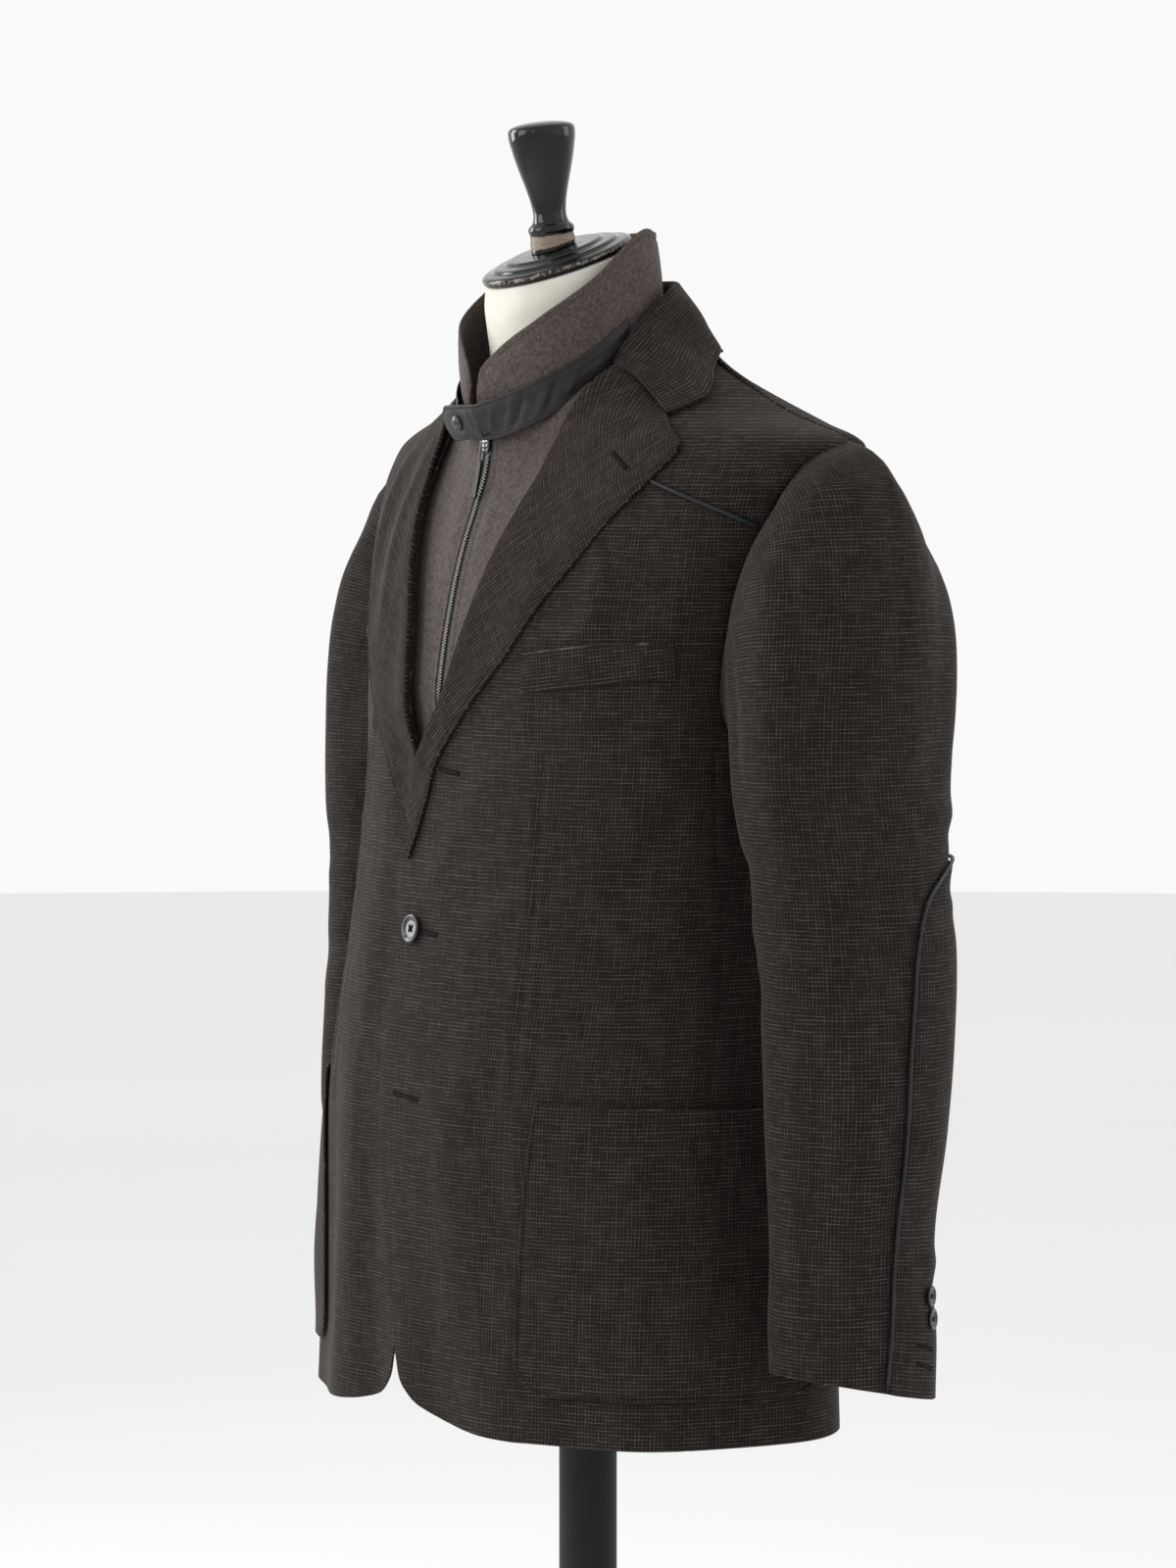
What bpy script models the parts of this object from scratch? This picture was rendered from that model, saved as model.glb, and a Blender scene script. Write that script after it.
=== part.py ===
"""Moleskin blazer with a zip-in wool dickey, on a limbless dress form.

Metres, +Z up. The origin is on the pole's axis at the floor. The jacket's front
faces -Y and the wearer's left is +X. Every piece of cloth is a thin wall laid out
on one smooth body surface, or on one smooth sleeve surface, and moved out or in
from it by its layer.
"""
import math

import bpy
import bmesh
import numpy as np
from mathutils import Matrix, Vector

# ---------------------------------------------------------------- driving sizes
SEAM = 0.0003            # gap between two pieces that meet
CLOTH = 0.0016           # moleskin wall
LEATHER = 0.0012         # strap and piping leather
FELT = 0.0018            # wool dickey wall
LAYER = 0.0008           # space below a piece that lies on a curved panel
HEM_Z = 0.730
ARM_SAMPLES = (0.0, 0.06, 0.11, 0.17, 0.24, 0.31, 0.36, 0.42, 0.46,
               0.50, 0.54, 0.58, 0.65, 0.72, 0.80, 0.88, 0.94, 1.0)
YOKE_SAMPLE = 3          # armhole sample where the yoke seam ends
FRONT_SEAM_SAMPLE = 7    # armhole sample where the side panel begins
BACK_SEAM_SAMPLE = 11    # armhole sample where the side panel ends
FOREARM_SAMPLE = 6       # sleeve seam at the front of the arm
HINDARM_SAMPLE = 14      # sleeve seam at the back of the arm
PIPING_RADIUS = 0.0014
LAPEL_CLOTH = 0.0020
POLE_RADIUS = 0.020
BASE_RADIUS = 0.200
BASE_HEIGHT = 0.014


def table(names, *rows):
    """A short table: column names, then one row for each section."""
    values = np.array(rows, float)
    return {name: values[:, i] for i, name in enumerate(names.split())}


def smooth(xs, ys, x):
    """Cubic Hermite curve through the rows, with the slopes of the neighbours."""
    xs = np.asarray(xs, float)
    ys = np.asarray(ys, float)
    x = np.clip(np.asarray(x, float), xs[0], xs[-1])
    slopes = np.gradient(ys, xs)
    i = np.clip(np.searchsorted(xs, x, side="right") - 1, 0, len(xs) - 2)
    width = xs[i + 1] - xs[i]
    u = (x - xs[i]) / width
    low = ys[i] * (2 * u**3 - 3 * u**2 + 1) + slopes[i] * width * (u**3 - 2 * u**2 + u)
    high = ys[i + 1] * (3 * u**2 - 2 * u**3) + slopes[i + 1] * width * (u**3 - u**2)
    return low + high


def unit(vectors):
    """Vectors of length one, along the last axis."""
    return vectors / np.maximum(np.linalg.norm(vectors, axis=-1, keepdims=True), 1e-12)


# ------------------------------------------------------------------ body surface
# Level sections of the jacket's outer cloth: half width, the centre-front and
# centre-back depths, the depth of the widest line, and how square each half is.
TORSO = table(
    "z      half   front   back   middle  front_power back_power",
    (0.700, 0.227, -0.159, 0.126, 0.010, 2.30, 2.2),
    (0.760, 0.224, -0.158, 0.126, 0.010, 2.30, 2.2),
    (0.860, 0.215, -0.158, 0.127, 0.010, 2.30, 2.2),
    (0.953, 0.204, -0.1575, 0.122, 0.011, 2.30, 2.2),
    (1.060, 0.189, -0.1415, 0.114, 0.012, 2.35, 2.2),
    (1.168, 0.186, -0.1270, 0.123, 0.015, 2.40, 2.2),
    (1.220, 0.189, -0.1245, 0.132, 0.018, 2.40, 2.2),
    (1.270, 0.196, -0.1165, 0.136, 0.021, 2.40, 2.2),
    (1.310, 0.207, -0.1065, 0.134, 0.026, 2.35, 2.2),
    (1.345, 0.224, -0.0935, 0.127, 0.034, 2.30, 2.1),
    (1.370, 0.236, -0.0810, 0.116, 0.043, 2.20, 2.0),
    (1.3865, 0.235, -0.0730, 0.107, 0.048, 2.10, 2.0),
    (1.4065, 0.166, -0.0690, 0.095, 0.049, 2.10, 2.0),
    (1.4230, 0.124, -0.0660, 0.086, 0.049, 2.00, 2.0),
    (1.4400, 0.088, -0.0610, 0.076, 0.048, 2.00, 2.0),
    (1.4520, 0.074, -0.0560, 0.067, 0.047, 2.00, 2.0),
    (1.4650, 0.068, -0.0500, 0.062, 0.046, 2.00, 2.0),
)


def torso_column(name, z):
    """One column of the body's sections at the heights z."""
    return smooth(TORSO["z"], TORSO[name], z)


def torso_raw(turn, z):
    """Point of the body surface at an angle about its middle line, 0 at the front."""
    turn, z = np.broadcast_arrays(np.asarray(turn, float), np.asarray(z, float))
    half = torso_column("half", z)
    middle = torso_column("middle", z)
    ahead = np.cos(turn) > 0
    depth = np.where(ahead, middle - torso_column("front", z), torso_column("back", z) - middle)
    power = np.where(ahead, torso_column("front_power", z), torso_column("back_power", z))
    side_share = (np.abs(np.sin(turn)) / half) ** power
    depth_share = (np.abs(np.cos(turn)) / depth) ** power
    reach = (side_share + depth_share) ** (-1 / power)
    return np.stack([reach * np.sin(turn), middle - reach * np.cos(turn), z], -1)


def torso(turn, z, lift=0.0):
    """Body surface moved out along its normal by lift."""
    step = 1e-4
    point = torso_raw(turn, z)
    along = torso_raw(np.asarray(turn) + step, z) - torso_raw(np.asarray(turn) - step, z)
    up = torso_raw(turn, np.asarray(z) + step) - torso_raw(turn, np.asarray(z) - step)
    normal = unit(np.cross(along, up))
    return point + normal * np.asarray(lift, float)[..., None] * np.ones_like(point)


def front_turn(x, z):
    """Angle of the point of the body's front half that stands at width x."""
    x, z = np.broadcast_arrays(np.asarray(x, float), np.asarray(z, float))
    half = torso_column("half", z)
    power = torso_column("front_power", z)
    depth = torso_column("middle", z) - torso_column("front", z)
    share = np.clip(1 - (np.abs(x) / half) ** power, 0, 1)
    return np.arctan2(x, depth * share ** (1 / power))


def depth_turn(y, z):
    """Angle of the point on the wearer's left side that stands at depth y."""
    y, z = np.broadcast_arrays(np.asarray(y, float), np.asarray(z, float))
    middle = torso_column("middle", z)
    ahead = y < middle
    depth = np.where(ahead, middle - torso_column("front", z), torso_column("back", z) - middle)
    power = np.where(ahead, torso_column("front_power", z), torso_column("back_power", z))
    share = np.clip(1 - (np.abs(y - middle) / depth) ** power, 0, 1)
    return np.arctan2(torso_column("half", z) * share ** (1 / power), middle - y)


# The armhole, seen from the side: 0 at the shoulder point, down the front, 0.5 at
# the underarm, up the back, 1 at the shoulder point again.
ARMHOLE = table(
    "around y      z",
    (0.00, 0.0480, 1.3865),
    (0.06, 0.020, 1.3765),
    (0.11, 0.005, 1.3600),
    (0.17, -0.005, 1.3290),
    (0.24, -0.0145, 1.2870),
    (0.31, -0.0210, 1.2435),
    (0.36, -0.0205, 1.2150),
    (0.42, -0.0110, 1.1920),
    (0.50, 0.0200, 1.1780),
    (0.58, 0.0520, 1.1900),
    (0.65, 0.0700, 1.2220),
    (0.72, 0.0780, 1.2620),
    (0.80, 0.0800, 1.3040),
    (0.88, 0.0760, 1.3430),
    (0.94, 0.0660, 1.3700),
    (1.00, 0.0480, 1.3865),
)


def armhole(around):
    """Armhole seam as (turn, z) at the given shares of its way round."""
    y = smooth(ARMHOLE["around"], ARMHOLE["y"], around)
    z = smooth(ARMHOLE["around"], ARMHOLE["z"], around)
    return np.stack([depth_turn(y, z), z], -1)


# The roll line, where the lapel turns out: width from the centre at each height.
# The right lapel lies below and breaks lower.
ROLL_LEFT = table(
    "z      x",
    (1.168, -0.018),
    (1.190, -0.001),
    (1.2135, 0.0165),
    (1.256, 0.0320),
    (1.306, 0.0490),
    (1.341, 0.0620),
    (1.368, 0.0700),
    (1.390, 0.0730),
    (1.410, 0.0745),
    (1.432, 0.0745),
    (1.4485, 0.0745),
)
ROLL_RIGHT = table(
    "z      x",
    (1.100, -0.018),
    (1.130, -0.001),
    (1.1586, 0.0125),
    (1.172, 0.0190),
    (1.187, 0.0240),
    (1.2135, 0.0270),
    (1.256, 0.0330),
    (1.306, 0.0490),
    (1.341, 0.0620),
    (1.368, 0.0700),
    (1.390, 0.0730),
    (1.410, 0.0745),
    (1.432, 0.0745),
    (1.4485, 0.0745),
)

# The front edge below the break: straight down, then cut away round to the hem.
EDGE = table(
    "z       x",
    (0.7305, 0.118),
    (0.7320, 0.090),
    (0.7350, 0.062),
    (0.7410, 0.036),
    (0.7520, 0.017),
    (0.7730, 0.006),
    (0.8100, -0.002),
    (0.8640, -0.012),
    (0.9200, -0.017),
    (0.9900, -0.018),
    (1.0600, -0.018),
    (1.1150, -0.018),
    (1.1680, -0.018),
)
SIDE_SEAM = table(
    "z      turn",
    (0.730, 70.5),
    (0.860, 72.5),
    (0.953, 76.0),
    (1.060, 81.0),
    (1.130, 79.0),
    (1.192, 78.0),
)
BACK_SEAM = table("z turn", (0.730, 117.0), (0.953, 116.5), (1.06, 116.0), (1.13, 113.5), (1.190, 109.0))


def roll_x(z, side):
    """Width of the roll line at the heights z, on the left (1) or the right (-1)."""
    roll = ROLL_LEFT if side > 0 else ROLL_RIGHT
    return smooth(roll["z"], roll["x"], z)


def roll_bulge(x, z, side):
    """How far the cloth swells out at the soft roll of the lapel."""
    edge = roll_x(z, side)
    low = np.clip((z - 1.150) / 0.05, 0, 1)
    high = np.clip((1.400 - z) / 0.08, 0, 1)
    away = np.clip(x * side - edge, 0, None)
    return 0.0030 * low * high * np.exp(-(away / 0.022) ** 2)


def front_lift(turn, z, side):
    """Lift of a front from the body surface: roll, overlap and the soft hang."""
    x = torso_raw(turn, z)[..., 0]
    lift = roll_bulge(x, z, side)
    below = np.clip((1.150 - z) / 0.06, 0, 1)
    under = np.clip((0.060 - np.abs(x)) / 0.030, 0, 1)
    smooth_under = under * under * (3 - 2 * under)
    if side < 0:
        lift = lift - 0.0042 * smooth_under * np.maximum(below, np.clip((1.210 - z) / 0.03, 0, 1))
    hang = np.clip((0.93 - z) / 0.20, 0, 1)
    lift = lift + 0.0030 * hang * np.cos(12.0 * np.abs(turn) - 0.6 * side)
    return lift


def back_lift(turn, z):
    """Soft vertical drapes in the back's skirt and blades."""
    hang = np.clip((1.05 - z) / 0.30, 0, 1)
    return 0.0035 * hang * np.cos(9.0 * (turn - math.pi)) - 0.0035 * hang


def body_lift(turn, z, side):
    """Lift of any panel: the front's, passing to the back's under the arm."""
    share = np.clip((np.abs(turn) - math.radians(70)) / math.radians(40), 0, 1)
    return front_lift(turn, z, side) * (1 - share) + back_lift(np.abs(turn), z) * share


# ------------------------------------------------------------------- wall making
def grid_between(left, right, bottom, top):
    """Coons patch: rows from bottom to top, columns from left to right."""
    rows = np.linspace(0, 1, len(left))[:, None, None]
    cols = np.linspace(0, 1, len(bottom))[None, :, None]
    across = (1 - cols) * left[:, None] + cols * right[:, None]
    upward = (1 - rows) * bottom[None] + rows * top[None]
    corners = ((1 - rows) * (1 - cols) * left[0] + (1 - rows) * cols * right[0]
               + rows * (1 - cols) * left[-1] + rows * cols * right[-1])
    return across + upward - corners


def pull_in(grids, edges, amount=SEAM / 2):
    """Move the named edges of each grid inward, along the grid's own lines."""
    moved = []
    for grid in grids:
        new = grid.copy()
        if "left" in edges:
            new[:, 0] += unit(grid[:, 1] - grid[:, 0]) * amount
        if "right" in edges:
            new[:, -1] += unit(grid[:, -2] - grid[:, -1]) * amount
        if "bottom" in edges:
            new[0] += unit(grid[1] - grid[0]) * amount
        if "top" in edges:
            new[-1] += unit(grid[-2] - grid[-1]) * amount
        moved.append(new)
    return moved


def make_material(name, colour, roughness, metallic=0.0):
    """A plain Principled material."""
    material = bpy.data.materials.new(name)
    material.use_nodes = True
    shader = material.node_tree.nodes["Principled BSDF"]
    shader.inputs["Base Color"].default_value = (*colour, 1)
    shader.inputs["Roughness"].default_value = roughness
    shader.inputs["Metallic"].default_value = metallic
    return material


def clear_scene():
    """Remove what the file opens with."""
    for item in list(bpy.data.objects):
        bpy.data.objects.remove(item, do_unlink=True)


clear_scene()
parts = bpy.data.collections.new("moleskin_jacket")
bpy.context.scene.collection.children.link(parts)
cutters = bpy.data.collections.new("cutters")
bpy.context.scene.collection.children.link(cutters)

moleskin = make_material("moleskin", (0.036, 0.026, 0.023), 0.85)
wool = make_material("wool_felt", (0.150, 0.122, 0.108), 0.95)
leather = make_material("strap_leather", (0.040, 0.036, 0.038), 0.5)
piping_leather = make_material("piping_leather", (0.045, 0.045, 0.055), 0.45)
horn = make_material("button_horn", (0.018, 0.018, 0.020), 0.3)
canvas = make_material("form_canvas", (0.76, 0.75, 0.69), 0.8)
lacquer = make_material("black_lacquer", (0.006, 0.006, 0.007), 0.12)
pole_paint = make_material("black_paint", (0.008, 0.008, 0.008), 0.5)
zip_metal = make_material("zip_metal", (0.20, 0.20, 0.21), 0.3, 1.0)
zip_tape_cloth = make_material("zip_tape", (0.015, 0.014, 0.015), 0.8)


def add_mesh(name, vertices, faces, material):
    """A closed mesh object whose faces point out."""
    mesh = bpy.data.meshes.new(name)
    mesh.from_pydata([tuple(v) for v in vertices], [], faces)
    edit = bmesh.new()
    edit.from_mesh(mesh)
    bmesh.ops.recalc_face_normals(edit, faces=edit.faces)
    edit.to_mesh(mesh)
    edit.free()
    mesh.materials.append(material)
    mesh.shade_smooth()
    mesh.set_sharp_from_angle(angle=math.radians(40))
    item = bpy.data.objects.new(name, mesh)
    parts.objects.link(item)
    return item


def wall(name, outer, inner, material):
    """Closed wall between two grids of the same shape, with its rims."""
    rows, cols = outer.shape[:2]
    count = rows * cols
    faces = []
    for i in range(rows - 1):
        for j in range(cols - 1):
            a, b = i * cols + j, i * cols + j + 1
            c, d = b + cols, a + cols
            faces.append((a, b, c, d))
            faces.append((a + count, d + count, c + count, b + count))
    border = [j for j in range(cols)]
    border += [i * cols + cols - 1 for i in range(1, rows)]
    border += [(rows - 1) * cols + j for j in range(cols - 2, -1, -1)]
    border += [i * cols for i in range(rows - 2, 0, -1)]
    for k, a in enumerate(border):
        b = border[(k + 1) % len(border)]
        faces.append((b, a, a + count, b + count))
    vertices = np.concatenate([outer.reshape(-1, 3), inner.reshape(-1, 3)])
    return add_mesh(name, vertices, faces, material)


def mirrored(turn_z, side):
    """The same (turn, z) points on the wearer's left (1) or right (-1) side."""
    return turn_z * np.array([side, 1.0])


def cloth_panel(name, turn_z, side, lift, edges, straight_top=False):
    """A wall of cloth on the body surface, from its grid of (turn, z).

    straight_top puts every second point of the top row on the line between its
    neighbours, to meet a piece with half as many points along that seam.
    """
    points = mirrored(turn_z, side)
    raised = lift(points[..., 0], points[..., 1])
    outer = torso(points[..., 0], points[..., 1], raised)
    inner = torso(points[..., 0], points[..., 1], raised - CLOTH)
    if straight_top:
        for grid in (outer, inner):
            grid[-1, 1:-1:2] = (grid[-1, :-2:2] + grid[-1, 2::2]) / 2
    outer, inner = pull_in((outer, inner), edges)
    return wall(name, outer, inner, moleskin)


def side_word(side):
    return "left" if side > 0 else "right"


# --------------------------------------------------------------------- the body
SEAM_ROWS = 15
seam_z = np.linspace(HEM_Z + 0.0005, 1.192, SEAM_ROWS)
side_seam = np.stack([np.radians(smooth(SIDE_SEAM["z"], SIDE_SEAM["turn"], seam_z)), seam_z], -1)
side_seam[-1] = armhole(ARM_SAMPLES[FRONT_SEAM_SAMPLE])
back_seam_z = np.linspace(HEM_Z + 0.0005, 1.190, SEAM_ROWS)
back_seam = np.stack([np.radians(smooth(BACK_SEAM["z"], BACK_SEAM["turn"], back_seam_z)), back_seam_z], -1)
back_seam[-1] = armhole(ARM_SAMPLES[BACK_SEAM_SAMPLE])

YOKE_NECK_Z = 1.396      # height of the yoke seam at the roll line
FRONT_COLS = 9


def roll_points(low, high, count, side):
    """Roll line as (turn, z) between two heights."""
    z = np.linspace(low, high, count)
    return np.stack([front_turn(roll_x(z, side), z), z], -1)


def front_grid(side):
    """Front below the yoke: cutaway edge and roll line against side seam and armhole."""
    break_z = ROLL_LEFT["z"][0] if side > 0 else ROLL_RIGHT["z"][0]
    below = EDGE["z"] < break_z - 0.02
    edge = np.stack([front_turn(EDGE["x"], EDGE["z"]), EDGE["z"]], -1)[below]
    arm = armhole(np.array(ARM_SAMPLES[YOKE_SAMPLE:FRONT_SEAM_SAMPLE])[::-1])
    right = np.concatenate([side_seam, arm])
    left = np.concatenate([edge, roll_points(break_z, YOKE_NECK_Z, len(right) - len(edge), side)])
    spread = np.linspace(0, 1, FRONT_COLS)[:, None]
    bottom = left[0] * (1 - spread) + right[0] * spread
    top = left[-1] * (1 - spread) + right[-1] * spread
    return grid_between(left, right, bottom, top)


def yoke_grid():
    """Front yoke between the piped seam and the shoulder seam."""
    left = roll_points(YOKE_NECK_Z, 1.4485, YOKE_SAMPLE + 1, 1)
    left[-1, 0] = math.pi / 2
    right = armhole(np.array(ARM_SAMPLES[:YOKE_SAMPLE + 1])[::-1])
    spread = np.linspace(0, 1, FRONT_COLS)[:, None]
    bottom = left[0] * (1 - spread) + right[0] * spread
    top = left[-1] * (1 - spread) + right[-1] * spread
    top[:, 0] = math.pi / 2
    right[-1, 0] = math.pi / 2
    return grid_between(left, right, bottom, top)


def side_grid():
    """Side panel under the arm."""
    low = np.linspace(0, 1, BACK_SEAM_SAMPLE - FRONT_SEAM_SAMPLE + 1)[:, None]
    bottom = side_seam[0] * (1 - low) + back_seam[0] * low
    top = armhole(np.array(ARM_SAMPLES[FRONT_SEAM_SAMPLE:BACK_SEAM_SAMPLE + 1]))
    return grid_between(side_seam, back_seam, bottom, top)


def back_grid():
    """Half back: side seam and armhole against the centre-back seam."""
    arm = armhole(np.array(ARM_SAMPLES[BACK_SEAM_SAMPLE:]))[1:]
    left = np.concatenate([back_seam, arm])
    left[-1, 0] = math.pi / 2
    centre_z = np.concatenate([np.linspace(HEM_Z + 0.0005, 1.19, SEAM_ROWS),
                               np.linspace(1.19, 1.4525, len(arm) + 1)[1:]])
    right = np.stack([np.full(len(left), math.pi), centre_z], -1)
    spread = np.linspace(0, 1, 9)[:, None]
    bottom = left[0] * (1 - spread) + right[0] * spread
    shoulder = np.stack([np.full(5, math.pi / 2), np.linspace(1.3865, 1.4485, 5)], -1)
    neck_turn = np.linspace(math.pi / 2, math.pi, 5)[1:]
    neck = np.stack([neck_turn, np.linspace(1.4485, 1.4525, 5)[1:]], -1)
    top = np.concatenate([shoulder, neck])
    return grid_between(left, right, bottom, top)


for side in (1, -1):
    word = side_word(side)

    def lift_side(turn, z, side=side):
        return body_lift(turn, z, side)

    cloth_panel("front_" + word, front_grid(side), side, lift_side, "right top")
    cloth_panel("front_yoke_" + word, yoke_grid(), side, lift_side, "right bottom top", straight_top=True)
    cloth_panel("side_panel_" + word, side_grid(), side, lift_side, "left right top")
    cloth_panel("back_" + word, back_grid(), side, lift_side, "left right top")

# ---------------------------------------------------------------------- sleeves
# Level sections of a hanging sleeve: middle of the section and its half widths.
SLEEVE = table(
    "z      x       y       half_x  half_y",
    (0.740, 0.2785, 0.0170, 0.0420, 0.0575),
    (0.776, 0.2785, 0.0170, 0.0420, 0.0575),
    (0.815, 0.2788, 0.0165, 0.0430, 0.0580),
    (0.845, 0.2800, 0.0150, 0.0425, 0.0560),
    (0.880, 0.2800, 0.0150, 0.0440, 0.0565),
    (0.940, 0.2772, 0.0205, 0.0480, 0.0625),
    (1.000, 0.2720, 0.0260, 0.0500, 0.0665),
    (1.060, 0.2660, 0.0285, 0.0515, 0.0690),
    (1.095, 0.2620, 0.0265, 0.0525, 0.0680),
    (1.120, 0.2580, 0.0280, 0.0540, 0.0735),
    (1.160, 0.2510, 0.0290, 0.0550, 0.0790),
)
BICEPS_Z = 1.150
CUFF_Z = 0.776
CUFF_SLANT = 0.012       # the cuff is this much lower at the back than mid-way
CAP_ROWS = 6
LOWER_Z = np.array((1.150, 1.120, 1.095, 1.065, 1.025, 0.980, 0.930, 0.885, 0.850, 0.815, CUFF_Z))


def sleeve_raw(around, z):
    """Point of the lower sleeve: an ellipse at each level, 0 outermost, 0.25 in front."""
    around, z = np.broadcast_arrays(np.asarray(around, float), np.asarray(z, float))
    angle = -2 * math.pi * around
    slant = np.clip((0.95 - z) / (0.95 - CUFF_Z), 0, 1) * CUFF_SLANT
    half_y = smooth(SLEEVE["z"], SLEEVE["half_y"], z)
    x = smooth(SLEEVE["z"], SLEEVE["x"], z) + smooth(SLEEVE["z"], SLEEVE["half_x"], z) * np.cos(angle)
    y = smooth(SLEEVE["z"], SLEEVE["y"], z) + half_y * np.sin(angle)
    return np.stack([x, y, z - slant * np.sin(angle)], -1)


def sleeve_surface(around, z, lift=0.0):
    """Lower sleeve moved out along its normal by lift."""
    step = 1e-4
    point = sleeve_raw(around, z)
    along = sleeve_raw(np.asarray(around) - step, z) - sleeve_raw(np.asarray(around) + step, z)
    up = sleeve_raw(around, np.asarray(z) + step) - sleeve_raw(around, np.asarray(z) - step)
    normal = unit(np.cross(along, up))
    return point + normal * np.asarray(lift, float)[..., None]


# How full the sleeve head is round the arm: 0 outermost, minus behind, plus in front.
HEAD_FULLNESS = table(
    "around share",
    (-0.50, 0.00),
    (-0.38, 0.00),
    (-0.30, 0.30),
    (-0.22, 0.85),
    (-0.16, 1.00),
    (-0.08, 0.82),
    (0.00, 0.66),
    (0.06, 0.72),
    (0.13, 0.94),
    (0.16, 1.00),
    (0.22, 0.62),
    (0.30, 0.14),
    (0.38, 0.00),
    (0.50, 0.00),
)
HEAD_PUSH = 0.043        # how far the fullest part of the head stands out
HEAD_RISE = 0.007        # how far the head rises over its seam at the shoulder

SHOULDER_PUSH = 0.010    # a little more at the front of the shoulder point


def head_shift(around, u):
    """Fullness of the sleeve head, outwards and up, at share u of its way down."""
    swell = u * (1 - u) ** 2.1 / 0.1423
    angle = -2 * math.pi * around
    place = (around + 0.5) % 1.0 - 0.5
    push = smooth(HEAD_FULLNESS["around"], HEAD_FULLNESS["share"], place) * HEAD_PUSH * swell
    rise = np.clip(np.cos(angle), 0, 1) ** 2 * HEAD_RISE * u * (1 - u) ** 3 / 0.1055
    shoulder = np.exp(-((place - 0.075) / 0.055) ** 2) * np.exp(-((u - 0.14) / 0.10) ** 2) * min(u / 0.05, 1.0)
    push = push + SHOULDER_PUSH * shoulder
    rise = rise + SHOULDER_PUSH * 0.15 * shoulder
    # it fills mostly before and behind the arm, less to its outside
    across, deep = np.cos(angle) * 0.75, np.sin(angle)
    size = np.hypot(across, deep)
    return np.stack([across / size * push, deep / size * push, rise], -1)


def sleeve_grid():
    """Outer and inner points of the whole left sleeve, from armhole to cuff."""
    around = np.array(ARM_SAMPLES[:-1])
    seam = armhole(around)
    start = torso(seam[:, 0], seam[:, 1])
    start_inner = torso(seam[:, 0], seam[:, 1], np.full(len(seam), -CLOTH))
    normal = unit(start - start_inner)
    before = torso(*armhole(np.mod(around - 0.002, 1.0)).T)
    after = torso(*armhole(np.mod(around + 0.002, 1.0)).T)
    away = unit(np.cross(normal, after - before))
    away *= np.sign(np.sum(away * (np.mean(start, 0) - start), -1, keepdims=True))
    end = sleeve_surface(around, BICEPS_Z)
    end_fall = unit(sleeve_surface(around, BICEPS_Z - 0.01) - end)
    height = (start[:, 2] - BICEPS_Z)[:, None]
    share = ((1 + np.cos(2 * math.pi * around)) / 2)[:, None]
    backward = (np.clip(-np.sin(2 * math.pi * around), 0, 1) * np.clip((0.97 - around) / 0.12, 0, 1))[:, None]
    outward = unit(away * share * 0.8 + np.array([1.0, 0, 0.05]) * (1.1 - share)
                   + np.array([0, 0.10, 0]) * backward)
    swell = 0.50 + 0.28 * share
    rows = []
    for i in range(CAP_ROWS):
        u = i / CAP_ROWS
        near = start * (2 * u**3 - 3 * u**2 + 1) + outward * height * swell * (u**3 - 2 * u**2 + u)
        far = end * (3 * u**2 - 2 * u**3) + end_fall * height * 0.95 * (u**3 - u**2)
        rows.append(near + far + head_shift(around, u))
    outer = np.array(rows + [sleeve_surface(around, z) for z in LOWER_Z])
    along = np.roll(outer, -1, 1) - np.roll(outer, 1, 1)
    down = np.gradient(outer, axis=0)
    normals = unit(np.cross(along, down))
    middle = outer.mean(axis=1, keepdims=True)
    facing = np.sign(np.sum(normals * (outer - middle), -1, keepdims=True))
    normals[CAP_ROWS:] *= facing[CAP_ROWS:]
    flip = np.sign(np.sum(normals[CAP_ROWS + 1] * np.cross(along, down)[CAP_ROWS + 1], -1)[0])
    normals[:CAP_ROWS] *= flip
    inner = outer - normals * CLOTH
    outer[0] = start + away * 2 * SEAM
    inner[0] = start_inner + away * 2 * SEAM
    return outer, inner


sleeve_outer, sleeve_inner = sleeve_grid()
for side in (1, -1):
    word = side_word(side)
    across = np.array([side, 1.0, 1.0])
    columns = len(ARM_SAMPLES) - 1
    upper = [j % columns for j in range(HINDARM_SAMPLE, columns + FOREARM_SAMPLE + 1)]
    under = list(range(FOREARM_SAMPLE, HINDARM_SAMPLE + 1))
    for piece, picked in (("sleeve_upper_", upper), ("sleeve_under_", under)):
        outer = sleeve_outer[:, picked] * across
        inner = sleeve_inner[:, picked] * across
        outer, inner = pull_in((outer, inner), "left right", SEAM)
        wall(piece + word, outer, inner, moleskin)

# Elbow patch: how far it reaches round the sleeve on each side of its middle.
PATCH_MIDDLE = 0.792
PATCH = table(
    "z reach",
    (0.776, 0.212),
    (0.850, 0.196),
    (0.915, 0.190),
    (0.990, 0.190),
    (1.030, 0.184),
    (1.0575, 0.176),
    (1.080, 0.156),
    (1.098, 0.120),
    (1.108, 0.075),
    (1.113, 0.028),
)
PATCH_ROWS = np.array((0.776, 0.810, 0.850, 0.890, 0.940, 0.990, 1.030, 1.0575, 1.080, 1.098, 1.108, 1.113))


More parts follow.
